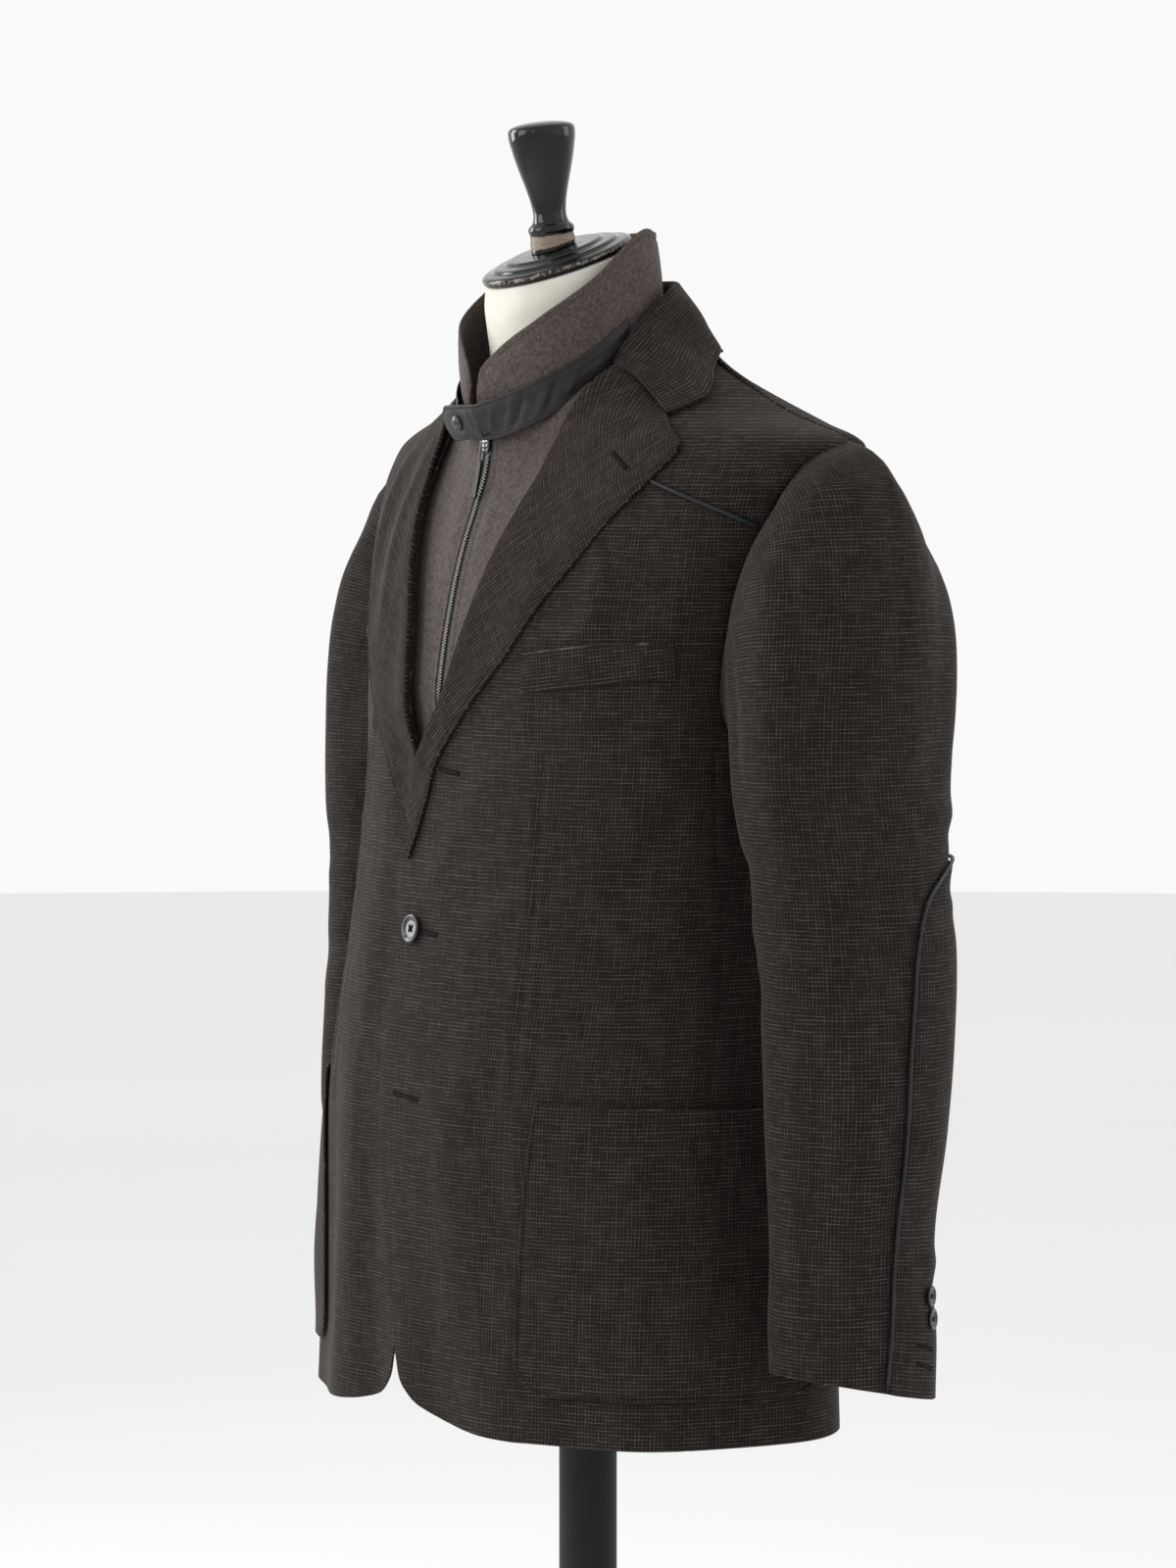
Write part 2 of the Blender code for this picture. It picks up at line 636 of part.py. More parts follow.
def patch_path(lift, beyond):
    """Edge of the elbow patch from the cuff's outer side over the top and down again."""
    low_z = np.arange(CUFF_Z + 0.0015, 1.05, 0.0300)
    z = np.concatenate([low_z, [1.0575, 1.070, 1.080, 1.090, 1.098, 1.104]])
    reach = smooth(PATCH["z"], PATCH["reach"], z)
    rise = np.stack([PATCH_MIDDLE + reach, z], -1)
    top = np.array([[PATCH_MIDDLE + 0.072, 1.1095], [PATCH_MIDDLE + 0.030, 1.1135], [PATCH_MIDDLE, 1.1142],
                    [PATCH_MIDDLE - 0.030, 1.1135], [PATCH_MIDDLE - 0.072, 1.1095]])
    fall = np.stack([PATCH_MIDDLE - reach, z], -1)[::-1]
    path = np.concatenate([rise, top, fall])
    centre = np.array([PATCH_MIDDLE, 0.95])
    round_size = 2 * math.pi * 0.055
    flat = (path - centre) * np.array([round_size, 1.0])
    step = np.gradient(flat, axis=0)
    outward = np.stack([step[:, 1], -step[:, 0]], -1)
    outward *= np.sign(np.sum(outward * flat, -1, keepdims=True))
    moved = flat + unit(outward) * beyond
    moved[:, 1] = np.maximum(moved[:, 1], CUFF_Z + 0.0015 - 0.95)
    path = moved / np.array([round_size, 1.0]) + centre
    return sleeve_surface(path[:, 0], path[:, 1], lift + 0.0020 * np.clip((path[:, 1] - 1.040) / 0.030, 0, 1))


def tube(name, points, radius, material):
    """A round cord along the points, with filled caps."""
    curve = bpy.data.curves.new(name, "CURVE")
    curve.dimensions = "3D"
    curve.bevel_depth = radius
    curve.bevel_resolution = 0
    curve.use_fill_caps = True
    curve.resolution_u = 1
    curve.render_resolution_u = 0
    spline = curve.splines.new("POLY")
    spline.points.add(len(points) - 1)
    for point, place in zip(spline.points, points):
        point.co = (*place, 1)
    curve.materials.append(material)
    item = bpy.data.objects.new(name, curve)
    parts.objects.link(item)
    return item


patch_share = np.linspace(-1, 1, 11)
patch_reach = smooth(PATCH["z"], PATCH["reach"], PATCH_ROWS)
patch_around = PATCH_MIDDLE + patch_share[None, :] * patch_reach[:, None]
patch_z = np.repeat(PATCH_ROWS[:, None], len(patch_share), 1)
patch_lift = LAYER + 0.0020 * np.clip((patch_z - 1.040) / 0.030, 0, 1)
for side in (1, -1):
    across = np.array([side, 1.0, 1.0])
    outer = sleeve_surface(patch_around, patch_z, patch_lift + CLOTH) * across
    inner = sleeve_surface(patch_around, patch_z, patch_lift) * across
    wall("elbow_patch_" + side_word(side), outer, inner, moleskin)
    edge = patch_path(LAYER + PIPING_RADIUS, PIPING_RADIUS + SEAM + 0.0003) * across
    tube("elbow_piping_" + side_word(side), edge, PIPING_RADIUS, piping_leather)

# ----------------------------------------------------------------------- lapels
# A lapel's outer edge, from its foot up to the notch's tip. The right one is seen
# as far as the left front's edge, which covers its foot.
LAPEL_EDGE_LEFT = table(
    "z       x",
    (1.1060, -0.0150),
    (1.1270, -0.0068),
    (1.1480, 0.0002),
    (1.1690, 0.0070),
    (1.2029, 0.0365),
    (1.2428, 0.0730),
    (1.2743, 0.0945),
    (1.3056, 0.1185),
    (1.3330, 0.1380),
    (1.3706, 0.1660),
    (1.3780, 0.1700),
    (1.3850, 0.1685),
)
LAPEL_EDGE_RIGHT = table(
    "z       x",
    (1.1205, 0.0215),
    (1.1546, 0.0480),
    (1.1870, 0.0680),
    (1.2200, 0.0860),
    (1.2536, 0.1020),
    (1.2860, 0.1140),
    (1.3120, 0.1260),
    (1.3400, 0.1425),
    (1.3706, 0.1660),
    (1.3780, 0.1700),
    (1.3850, 0.1685),
)
COVERED_X = 0.0192       # the right lapel stops short of the left front's edge
GORGE = table("share x z", (0.0, 0.0735, 1.4385), (0.5, 0.1060, 1.4190), (1.0, 0.1385, 1.4020))
LAPEL_ROWS = 13
LAPEL_SPACE = 0.0011     # between a lapel and the front below it


def lapel_grid(side):
    """Lapel from the roll line out to its edge, up to the gorge seam and the notch."""
    edge = LAPEL_EDGE_LEFT if side > 0 else LAPEL_EDGE_RIGHT
    break_z = ROLL_LEFT["z"][0] if side > 0 else ROLL_RIGHT["z"][0]
    left_z = np.linspace(edge["z"][0], GORGE["z"][0], LAPEL_ROWS)
    left_x = np.where(left_z < break_z, EDGE["x"][-1], roll_x(left_z, side))
    if side < 0:
        left_x = np.maximum(left_x, COVERED_X)
    left = np.stack([left_x, left_z], -1)
    right_z = np.interp(np.linspace(0, 1, LAPEL_ROWS), np.linspace(0, 1, len(edge["z"])), edge["z"])
    right = np.stack([smooth(edge["z"], edge["x"], right_z), right_z], -1)
    spread = np.linspace(0, 1, 8)
    bottom = left[0] * (1 - spread[:, None]) + right[0] * spread[:, None]
    gorge_share = np.clip(spread / (5 / 7), 0, 1)
    gorge_x = smooth(GORGE["share"], GORGE["x"], gorge_share)
    gorge_z = smooth(GORGE["share"], GORGE["z"], gorge_share)
    notch = np.clip((spread - 5 / 7) / (2 / 7), 0, 1)
    top = np.stack([gorge_x + (right[-1, 0] - gorge_x[-1]) * notch,
                    gorge_z + (right[-1, 1] - gorge_z[-1]) * notch], -1)
    return grid_between(left, right, bottom, top), spread


for side in (1, -1):
    lapel_xz, lapel_spread = lapel_grid(side)
    turn = front_turn(lapel_xz[..., 0], lapel_xz[..., 1]) * side
    z = lapel_xz[..., 1]
    stand_off = 0.0 if side > 0 else 0.0045
    open_shape = np.sin(math.pi * np.clip((z - 1.17) / 0.21, 0, 1)) * lapel_spread[None, :] ** 0.5
    hollow = 0.0027 * np.clip((z - 1.355) / 0.030, 0, 1) * np.clip((0.130 - lapel_xz[..., 0]) / 0.030, 0, 1)
    base = front_lift(turn, z, side) + LAPEL_SPACE + hollow + stand_off * open_shape
    outer = torso(turn, z, base + LAPEL_CLOTH)
    inner = torso(turn, z, base)
    outer, inner = pull_in((outer, inner), "top")
    wall("lapel_" + side_word(side), outer, inner, moleskin)

# ----------------------------------------------------------------------- collar
# Stations from the centre back to the front end: the fold's place, and the turn
# and height of the outer edge on the body surface.
COLLAR = table(
    "share fold_x  fold_y  fold_z  edge_turn edge_z",
    (0.00, 0.0000, 0.0565, 1.4970, 180.0, 1.4465),
    (0.20, 0.0350, 0.0495, 1.4955, 118.0, 1.4475),
    (0.40, 0.0612, 0.0250, 1.4880, 93.0, 1.4455),
    (0.60, 0.0690, -0.0020, 1.4680, 80.5, 1.4325),
    (0.80, 0.0712, -0.0180, 1.4520, 71.0, 1.4135),
    (1.00, 0.0735, -0.0290, 1.4385, 60.0, 1.4020),
)
COLLAR_STATIONS = np.array((0.0, 0.10, 0.20, 0.30, 0.40, 0.50, 0.60, 0.70, 0.80, 0.90, 1.0))
COLLAR_CLOTH = 0.0022
FOLD_RADIUS = 0.0022


def collar_column(name):
    return smooth(COLLAR["share"], COLLAR[name], COLLAR_STATIONS)


def collar_half():
    """Middle points of the folded collar: rows stand to edge, columns centre back to front."""
    fold = np.stack([collar_column("fold_x"), collar_column("fold_y"), collar_column("fold_z")], -1)
    edge_turn = np.radians(np.interp(COLLAR_STATIONS, COLLAR["share"], COLLAR["edge_turn"]))
    edge_z = np.interp(COLLAR_STATIONS, COLLAR["share"], COLLAR["edge_z"])
    rest = LAPEL_SPACE + COLLAR_CLOTH / 2 + 0.0014
    edge = torso(edge_turn, edge_z, np.full(len(edge_z), rest))
    gorge_end = torso(front_turn(GORGE["x"][-1], GORGE["z"][-1]), GORGE["z"][-1], rest)
    edge[-1] = gorge_end
    neck_turn = np.linspace(math.pi, math.pi / 2, 7)
    neck_z = np.linspace(1.4525, 1.4485, 7) + 0.0022
    neck_back = torso(neck_turn, neck_z, np.full(7, -0.0012))
    neck_front_z = np.linspace(1.4470, 1.4400, 5)[1:] + 0.0010
    neck_front_x = np.full(4, 0.0722)
    neck_front = torso(front_turn(neck_front_x, neck_front_z), neck_front_z, np.full(4, 0.0008))
    stand = np.concatenate([neck_back, neck_front])
    outward = unit((edge - fold) * np.array([1, 1, 0.0]))
    taper = np.clip((1.0 - COLLAR_STATIONS) / 0.35, 0.25, 1)[:, None]
    drop = np.array([0, 0, -0.0022]) * taper
    fold_in = fold - outward * FOLD_RADIUS * taper + drop
    fold_out = fold + outward * FOLD_RADIUS * taper + drop
    swell = np.array([0, 0, 0.0035])
    fall_high = fold_out * 0.66 + edge * 0.34 + swell + outward * 0.0015
    fall_low = fold_out * 0.30 + edge * 0.70 + swell * 0.8
    stand_mid = stand * 0.5 + fold_in * 0.5
    return np.stack([stand, stand_mid, fold_in, fold, fold_out, fall_high, fall_low, edge])


half = collar_half()
whole = np.concatenate([half[:, ::-1] * np.array([-1.0, 1, 1]), half[:, 1:]], axis=1)
along = np.gradient(whole, axis=1)
across_rows = np.gradient(whole, axis=0)
collar_normal = unit(np.cross(along, across_rows))
collar_normal *= np.sign(collar_normal[3, len(COLLAR_STATIONS) - 1, 2])
outer = whole + collar_normal * COLLAR_CLOTH / 2
inner = whole - collar_normal * COLLAR_CLOTH / 2
outer, inner = pull_in((outer, inner), "left right", 0.0014)
wall("collar", outer, inner, moleskin)

# ---------------------------------------------------------------------- pockets
# Patch pocket: how far in from its own sides each row starts, for round corners.
POCKET_ROWS = table(
    "z      inset   front_x",
    (0.7630, 0.0260, 0.1200),
    (0.7655, 0.0140, 0.1202),
    (0.7710, 0.0055, 0.1205),
    (0.7800, 0.0008, 0.1208),
    (0.8050, 0.0000, 0.1215),
    (0.8450, 0.0000, 0.1225),
    (0.8850, 0.0000, 0.1243),
    (0.9200, 0.0000, 0.1268),
    (0.9535, 0.0000, 0.1305),
)
POCKET_BACK_TURN = math.radians(97)
POCKET_CLOTH = 0.0018
POCKET_COLS = 10
WELT = table(
    "share x     low     high",
    (0.0, 0.091, 1.2220, 1.2460),
    (0.5, 0.136, 1.2265, 1.2515),
    (1.0, 0.176, 1.2325, 1.2545),
)


for side in (1, -1):
    word = side_word(side)
    z = np.repeat(POCKET_ROWS["z"][:, None], POCKET_COLS, 1)
    spread = np.linspace(0, 1, POCKET_COLS)[None, :]
    start = front_turn(POCKET_ROWS["front_x"] + POCKET_ROWS["inset"], POCKET_ROWS["z"])[:, None]
    stop = POCKET_BACK_TURN - POCKET_ROWS["inset"][:, None] / 0.19
    turn = (start * (1 - spread) + stop * spread) * side
    z = z - 0.0060 * spread * np.clip((z - 0.80) / 0.15, 0, 1)
    rest = body_lift(turn, z, side) + LAYER + 0.0008
    outer = torso(turn, z, rest + POCKET_CLOTH)
    inner = torso(turn, z, rest)
    wall("patch_pocket_" + word, outer, inner, moleskin)

welt_share = np.linspace(0, 1, 8)
welt_x = smooth(WELT["share"], WELT["x"], welt_share)
welt_low = smooth(WELT["share"], WELT["low"], welt_share)
welt_high = smooth(WELT["share"], WELT["high"], welt_share)
welt_z = np.stack([welt_low, welt_low * 0.5 + welt_high * 0.5, welt_high])
welt_turn = front_turn(np.repeat(welt_x[None], 3, 0), welt_z)
welt_rest = front_lift(welt_turn, welt_z, 1) + LAYER
wall("breast_welt_pocket", torso(welt_turn, welt_z, welt_rest + POCKET_CLOTH),
     torso(welt_turn, welt_z, welt_rest), moleskin)

# The yoke seam's piping runs in the seam, from under the lapel to the armhole.
for side in (1, -1):
    row = yoke_grid()[0]
    share = np.linspace(0.60, 0.985, 9)
    turn = np.interp(share, np.linspace(0, 1, len(row)), row[:, 0]) * side
    z = np.interp(share, np.linspace(0, 1, len(row)), row[:, 1])
    lift = front_lift(turn, z, side) + PIPING_RADIUS + SEAM
    tube("yoke_piping_" + side_word(side), torso(turn, z, lift), PIPING_RADIUS, piping_leather)

# ----------------------------------------------------------------------- dickey
DICKEY_DEPTH = 0.0036    # the dickey's face below the jacket's face at the centre
NECK_BULGE = table(
    "z       rise",
    (1.1000, 0.0000),
    (1.3200, 0.0000),
    (1.3450, 0.0005),
    (1.3720, 0.0055),
    (1.3925, 0.0150),
    (1.4500, 0.0180),
)
ZIP_HALF = 0.0056        # half width of the zip's tapes
DICKEY_TOP = table(
    "share x      z",
    (0.00, 0.0060, 1.3925),
    (0.35, 0.0300, 1.3985),
    (0.70, 0.0520, 1.4130),
    (1.00, 0.0650, 1.4290),
)
DICKEY_OUTER = table(
    "z      x",
    (1.150, 0.045),
    (1.210, 0.056),
    (1.260, 0.066),
    (1.310, 0.080),
    (1.350, 0.090),
    (1.390, 0.090),
    (1.415, 0.078),
    (1.429, 0.065),
)


def dickey_lift(x, z):
    """Depth of the dickey's face from the body surface, swelling forward at the neck."""
    aside = np.clip((np.abs(x) - 0.015) / 0.045, 0, 1)
    low = np.clip((1.220 - z) / 0.03, 0, 1) * 0.0038
    rise = smooth(NECK_BULGE["z"], NECK_BULGE["rise"], z) * np.exp(-(x / 0.046) ** 2)
    outside = np.clip((np.abs(x) - roll_x(z, 1) - 0.014) / 0.008, 0, 1)
    zipped_in = 0.0034 * outside * np.clip((z - 1.245) / 0.03, 0, 1) * np.clip((1.345 - z) / 0.02, 0, 1)
    return -DICKEY_DEPTH - 0.0018 * aside - low + rise + zipped_in


def dickey_point(x, z, lift=0.0):
    """Point on the dickey's face at width x and height z, moved out by lift."""
    x, z = np.broadcast_arrays(np.asarray(x, float), np.asarray(z, float))
    return torso(front_turn(x, z), z, dickey_lift(x, z) + lift)


dickey_z = np.linspace(1.150, 1.3925, 11)
dickey_left = np.stack([np.full(11, ZIP_HALF + SEAM), dickey_z], -1)
outer_z = np.linspace(1.150, 1.429, 11)
dickey_right = np.stack([smooth(DICKEY_OUTER["z"], DICKEY_OUTER["x"], outer_z), outer_z], -1)
dickey_spread = np.linspace(0, 1, 7)
dickey_low = dickey_left[0] * (1 - dickey_spread[:, None]) + dickey_right[0] * dickey_spread[:, None]
dickey_high = np.stack([smooth(DICKEY_TOP["share"], DICKEY_TOP["x"], dickey_spread),
                        smooth(DICKEY_TOP["share"], DICKEY_TOP["z"], dickey_spread)], -1)
dickey_high[0, 0] = ZIP_HALF + SEAM
dickey_xz = grid_between(dickey_left, dickey_right, dickey_low, dickey_high)
for side in (1, -1):
    across = np.array([side, 1.0, 1.0])
    outer = dickey_point(dickey_xz[..., 0], dickey_xz[..., 1]) * across
    inner = dickey_point(dickey_xz[..., 0], dickey_xz[..., 1], -FELT) * across
    wall("dickey_" + side_word(side), outer, inner, wool)

# Stand collar of the dickey: base and top edge at each angle round the neck.
STAND = table(
    "turn  base_x base_y  base_z  top_x  top_y   top_z",
    (4, 0.0060, -0.0848, 1.3932, 0.0045, -0.0929, 1.4246),
    (15, 0.0180, -0.0820, 1.3955, 0.0085, -0.0924, 1.4360),
    (27, 0.0320, -0.0765, 1.4000, 0.0220, -0.0876, 1.4485),
    (52, 0.0530, -0.0600, 1.4140, 0.0500, -0.0712, 1.4700),
    (79, 0.0625, -0.0360, 1.4290, 0.0620, -0.0377, 1.4950),
    (108, 0.0595, -0.0030, 1.4480, 0.0565, 0.0030, 1.5270),
    (140, 0.0450, 0.0300, 1.4580, 0.0400, 0.0280, 1.5290),
    (165, 0.0215, 0.0455, 1.4600, 0.0180, 0.0405, 1.5300),
    (180, 0.0000, 0.0480, 1.4605, 0.0000, 0.0430, 1.5305),
)
STAND_TURNS = np.array((4, 9, 15, 27, 40, 52, 66, 79, 94, 108, 124, 140, 160, 180.0))
STAND_BOW = 0.0035


def stand_point(turn, height, lift=0.0):
    """Point of the dickey's stand collar: turn in degrees, height 0 base to 1 top."""
    turn, height = np.broadcast_arrays(np.asarray(turn, float), np.asarray(height, float))

    def place(turn, height):
        size = np.abs(turn)
        base_columns = [STAND["base_x"], STAND["base_y"], STAND["base_z"]]
        top_columns = [STAND["top_x"], STAND["top_y"], STAND["top_z"]]
        base = np.stack([smooth(STAND["turn"], values, size) for values in base_columns], -1)
        top = np.stack([smooth(STAND["turn"], values, size) for values in top_columns], -1)
        base[..., 0] *= np.sign(turn)
        top[..., 0] *= np.sign(turn)
        point = base + (top - base) * height[..., None]
        outward = unit((point - np.array([0, -0.02, 0])) * np.array([1, 1, 0.0]))
        bow = STAND_BOW * (1 - 0.7 * np.clip((size - 85) / 40, 0, 1))
        return point + outward * (bow * np.sin(math.pi * np.clip(height, 0, 1)))[..., None]

    point = place(turn, height)
    low = np.clip(np.abs(turn) - 0.5, 4, 180) * np.sign(turn)
    high = np.clip(np.abs(turn) + 0.5, 4, 180) * np.sign(turn)
    along = (place(high, height) - place(low, height)) * np.sign(turn)[..., None]
    up = place(turn, height + 0.02) - place(turn, height - 0.02)
    normal = unit(np.cross(along, up))
    return point + normal * np.asarray(lift, float)[..., None]


stand_turns = np.concatenate([-STAND_TURNS, STAND_TURNS[-2::-1]])[None, :]
stand_heights = np.array((0.010, 0.28, 0.52, 0.76, 1.0))[:, None]
wall("dickey_stand_collar", stand_point(stand_turns, stand_heights),
     stand_point(stand_turns, stand_heights, -FELT), wool)

# ----------------------------------------------------------------- throat strap
STRAP_EDGE = table(
    "turn z",
    (0, 1.4115),
    (10, 1.4135),
    (51, 1.4320),
    (80, 1.4516),
    (107, 1.4760),
    (134, 1.4880),
)
STRAP_HEIGHT = 0.0245
STRAP_SPACE = 0.0007


def strap_point(turn, share, lift):
    """Point of the strap: turn in degrees, share 0 at its lower edge to 1 at the upper."""
    turn, share = np.broadcast_arrays(np.asarray(turn, float), np.asarray(share, float))
    size = np.abs(turn)
    z = smooth(STRAP_EDGE["turn"], STRAP_EDGE["z"], size) - STRAP_HEIGHT * (1 - share)
    base_z = smooth(STAND["turn"], STAND["base_z"], size)
    top_z = smooth(STAND["turn"], STAND["top_z"], size)
    least = np.interp(size, (45, 70), (-0.12, 0.05)) + share * 1e-3
    height = np.maximum((z - base_z) / (top_z - base_z), least)
    stand_off = 0.0048 * np.exp(-(size / 30.0) ** 2)
    flare = 0.0036 * np.clip((0.20 - height) / 0.35, 0, 1) * np.clip((size - 12) / 15, 0, 1)
    return stand_point(turn, height, lift + stand_off + flare + STRAP_SPACE)


strap_rows = np.array((0.0, 0.5, 1.0))[:, None]
left_turns = np.array((5, 9, 15, 22, 30, 40, 51, 62, 72, 82, 92, 100.0))[None, :]
right_turns = -np.array((17, 24, 32, 41, 51, 62, 72, 82, 92, 100.0))[None, ::-1]
for name, turns in (("throat_strap_left", left_turns), ("throat_strap_right", right_turns)):
    wall(name, strap_point(turns, strap_rows, LEATHER), strap_point(turns, strap_rows, 0.0), leather)

# The strap's end crosses the zip and stands a little off the neck: a rounded tab.
TAB_LENGTH = 0.046
TAB_HALF = 0.0122
tab_run = np.array((0.0, 0.008, 0.017, 0.026, 0.034, 0.039, 0.0425, 0.0450, 0.046))
round_start = TAB_LENGTH - TAB_HALF
tab_half = np.where(tab_run > round_start,
                    np.sqrt(np.clip(TAB_HALF**2 - (tab_run - round_start) ** 2, 0.0022**2, None)), TAB_HALF)
tab_bow = -0.0012 * np.sin(tab_run / TAB_LENGTH * math.pi) + 27.0 * tab_run**3
tab_share = np.array((0.0, 0.25, 0.75, 1.0))
tab_start = strap_point(5.0, tab_share, LEATHER)
tab_face = np.zeros((4, len(tab_run), 3))
tab_face[..., 0] = tab_start[:, 0].min() - 2 * SEAM - tab_run[None, :]
tab_face[..., 1] = tab_start[:, None, 1] + tab_bow[None, :]
tab_middle_z = (tab_start[0, 2] + tab_start[-1, 2]) / 2
tab_face[..., 2] = tab_middle_z + (tab_start[:, None, 2] - tab_middle_z) * tab_half[None, :] / TAB_HALF
wall("throat_strap_tab", tab_face, tab_face + np.array([0, LEATHER, 0]), leather)


def turned(name, profile, place, direction, material, segments):
    """A turned piece: a profile of (radius, height) spun about its own axis."""
    steps = np.linspace(0, 2 * math.pi, segments, endpoint=False)
    vertices = [(0, 0, profile[0][1])]
    for radius, height in profile[1:-1]:
        vertices += [(radius * math.cos(a), radius * math.sin(a), height) for a in steps]
    vertices.append((0, 0, profile[-1][1]))
    rings = len(profile) - 2
    faces = [(0, 1 + (j + 1) % segments, 1 + j) for j in range(segments)]
    for i in range(rings - 1):
        for j in range(segments):
            a = 1 + i * segments + j
            b = 1 + i * segments + (j + 1) % segments
            faces.append((a, b, b + segments, a + segments))
    last = len(vertices) - 1
    start = 1 + (rings - 1) * segments
    faces += [(last, start + j, start + (j + 1) % segments) for j in range(segments)]
    turn_matrix = Vector((0, 0, 1)).rotation_difference(Vector(direction)).to_matrix().to_4x4()
    matrix = Matrix.Translation(Vector(place)) @ turn_matrix
    item = add_mesh(name, [matrix @ Vector(v) for v in vertices], faces, material)
    return item


BUTTON_PROFILE = ((0, -0.0018), (0.62, -0.0018), (0.95, -0.0004), (1.0, 0.0004), (0.97, 0.0014),
                  (0.86, 0.0020), (0.72, 0.0015), (0.60, 0.0007), (0, 0.0005))


def button(name, surface, normal, radius, stand):
    """A dished sew-through button standing a thread's length off the cloth."""
    thickness = radius / 0.0100
    profile = [(r * radius, h * thickness) for r, h in BUTTON_PROFILE]
    profile[0] = (0, profile[0][1])
    centre = np.asarray(surface) + np.asarray(normal) * (stand + 0.0018 * thickness)
    turned(name, profile, centre, normal, horn, 14)


def normal_at(surface, *where):
    """Outward normal of a surface function at one place."""
    low = surface(*where, np.array(0.0))
    high = surface(*where, np.array(0.001))
    return low, unit(high - low)


SNAP_RUN = 0.0235
SNAP_PROFILE = ((0, 0), (0.0050, 0), (0.0055, 0.0008), (0.0050, 0.0018), (0.0036, 0.0023), (0, 0.0024))


def tab_place(run, share):
    """Point of the tab's face at a run from the strap's end, share 0 low to 1 high."""
    low = np.array([np.interp(run, tab_run, tab_face[1][:, i]) for i in range(3)])
    high = np.array([np.interp(run, tab_run, tab_face[2][:, i]) for i in range(3)])
    return low * (1 - share) + high * share


snap_place = tab_place(SNAP_RUN, 0.5)
snap_out = unit(np.cross(tab_place(SNAP_RUN, 1.0) - tab_place(SNAP_RUN, 0.0),
                         tab_place(SNAP_RUN + 0.005, 0.5) - tab_place(SNAP_RUN - 0.005, 0.5)))
snap_out *= -np.sign(snap_out[1])
turned("throat_strap_snap", SNAP_PROFILE, snap_place + snap_out * 0.0005, snap_out, horn, 16)

BUTTON_Z = 1.060
button_turn = np.array(front_turn(0.0005, BUTTON_Z))
button_face, button_normal = normal_at(lambda t, z, lift: torso(t, z, lift + front_lift(t, z, 1)),
                                       button_turn, np.array(BUTTON_Z))
button("front_button", button_face, button_normal, 0.0100, 0.0005)
CUFF_BUTTONS = ((0.885, 0.8400), (0.885, 0.8256))
for side in (1, -1):
    across = np.array([side, 1.0, 1.0])
    for index, (around, z) in enumerate(CUFF_BUTTONS):
        face, normal = normal_at(lambda a, h, lift: sleeve_surface(a, h, lift + LAYER + CLOTH),
                                 np.array(around), np.array(z))
        button(f"cuff_button_{side_word(side)}_{index + 1}", face * across, normal * across, 0.0070, 0.0004)

# -------------------------------------------------------------------------- zip
PIVOT_Z = 1.3835
ZIP_ROWS = 15
chain_z = np.linspace(1.154, PIVOT_Z - 0.0065, ZIP_ROWS)
zip_z = np.append(chain_z, PIVOT_Z + 0.0080)
tape_x = np.array((-ZIP_HALF, 0.0, ZIP_HALF))
tape_xx, tape_zz = np.meshgrid(tape_x, zip_z)
wall("zip_tape", dickey_point(tape_xx, tape_zz, np.full(tape_xx.shape, -0.0004)),
     dickey_point(tape_xx, tape_zz, np.full(tape_xx.shape, -0.0014)), zip_tape_cloth)
chain_xx, chain_zz = np.meshgrid(np.array((-0.0022, 0.0, 0.0022)), chain_z)
wall("zip_chain", dickey_point(chain_xx, chain_zz, np.full(chain_xx.shape, 0.0010)),
     dickey_point(chain_xx, chain_zz, np.full(chain_xx.shape, -0.0001)), zip_metal)

# The slider lies on the tapes; its arch holds the pull's link.
zip_face = dickey_point(0.0, PIVOT_Z)
zip_rise = unit(dickey_point(0.0, PIVOT_Z + 0.004) - dickey_point(0.0, PIVOT_Z - 0.007))
zip_out = np.array([0.0, -zip_rise[2], zip_rise[1]])
zip_down = np.array([0.0, -zip_out[2], zip_out[1]])


def zip_place(x, down, out):
    """World points from widths, distances down the zip and heights off the cloth."""
    x, down, out = np.broadcast_arrays(np.asarray(x, float), np.asarray(down, float), np.asarray(out, float))
    point = zip_face + down[..., None] * zip_down + out[..., None] * zip_out
    return point + x[..., None] * np.array([1.0, 0, 0])


SLIDER = table("down half", (0.0062, 0.0030), (0.0030, 0.0040), (-0.0030, 0.0040), (-0.0050, 0.0026))
SLIDER_TOP = 0.0034
slider_across = np.array((-1.0, -0.4, 0.4, 1.0))
slider_x = SLIDER["half"][:, None] * slider_across[None, :]
slider_down = np.repeat(SLIDER["down"][:, None], 4, 1)
SLIDER_BASE = 0.0009
slider = wall("zip_slider", zip_place(slider_x, slider_down, SLIDER_TOP),
              zip_place(slider_x, slider_down, SLIDER_BASE), zip_metal)
arch_down = np.array((-0.0034, -0.0034, -0.0024, 0.0024, 0.0034, 0.0034))[:, None]
arch_out = np.array((0.0026, 0.0053, 0.0064, 0.0064, 0.0053, 0.0026))[:, None]
arch_down_in = np.array((-0.0025, -0.0025, -0.0020, 0.0020, 0.0025, 0.0025))[:, None]
arch_out_in = np.array((0.0026, 0.0050, 0.0055, 0.0055, 0.0050, 0.0026))[:, None]
arch_x = np.array((-0.0008, 0.0008))[None, :]
arch = wall("slider_arch", zip_place(arch_x, arch_down, arch_out),
            zip_place(arch_x, arch_down_in, arch_out_in), zip_metal)
parts.objects.unlink(arch)
cutters.objects.link(arch)
arch.hide_render = True
arch.hide_viewport = True
join = slider.modifiers.new("arch", "BOOLEAN")
join.operation = "UNION"
join.solver = "EXACT"
join.object = arch

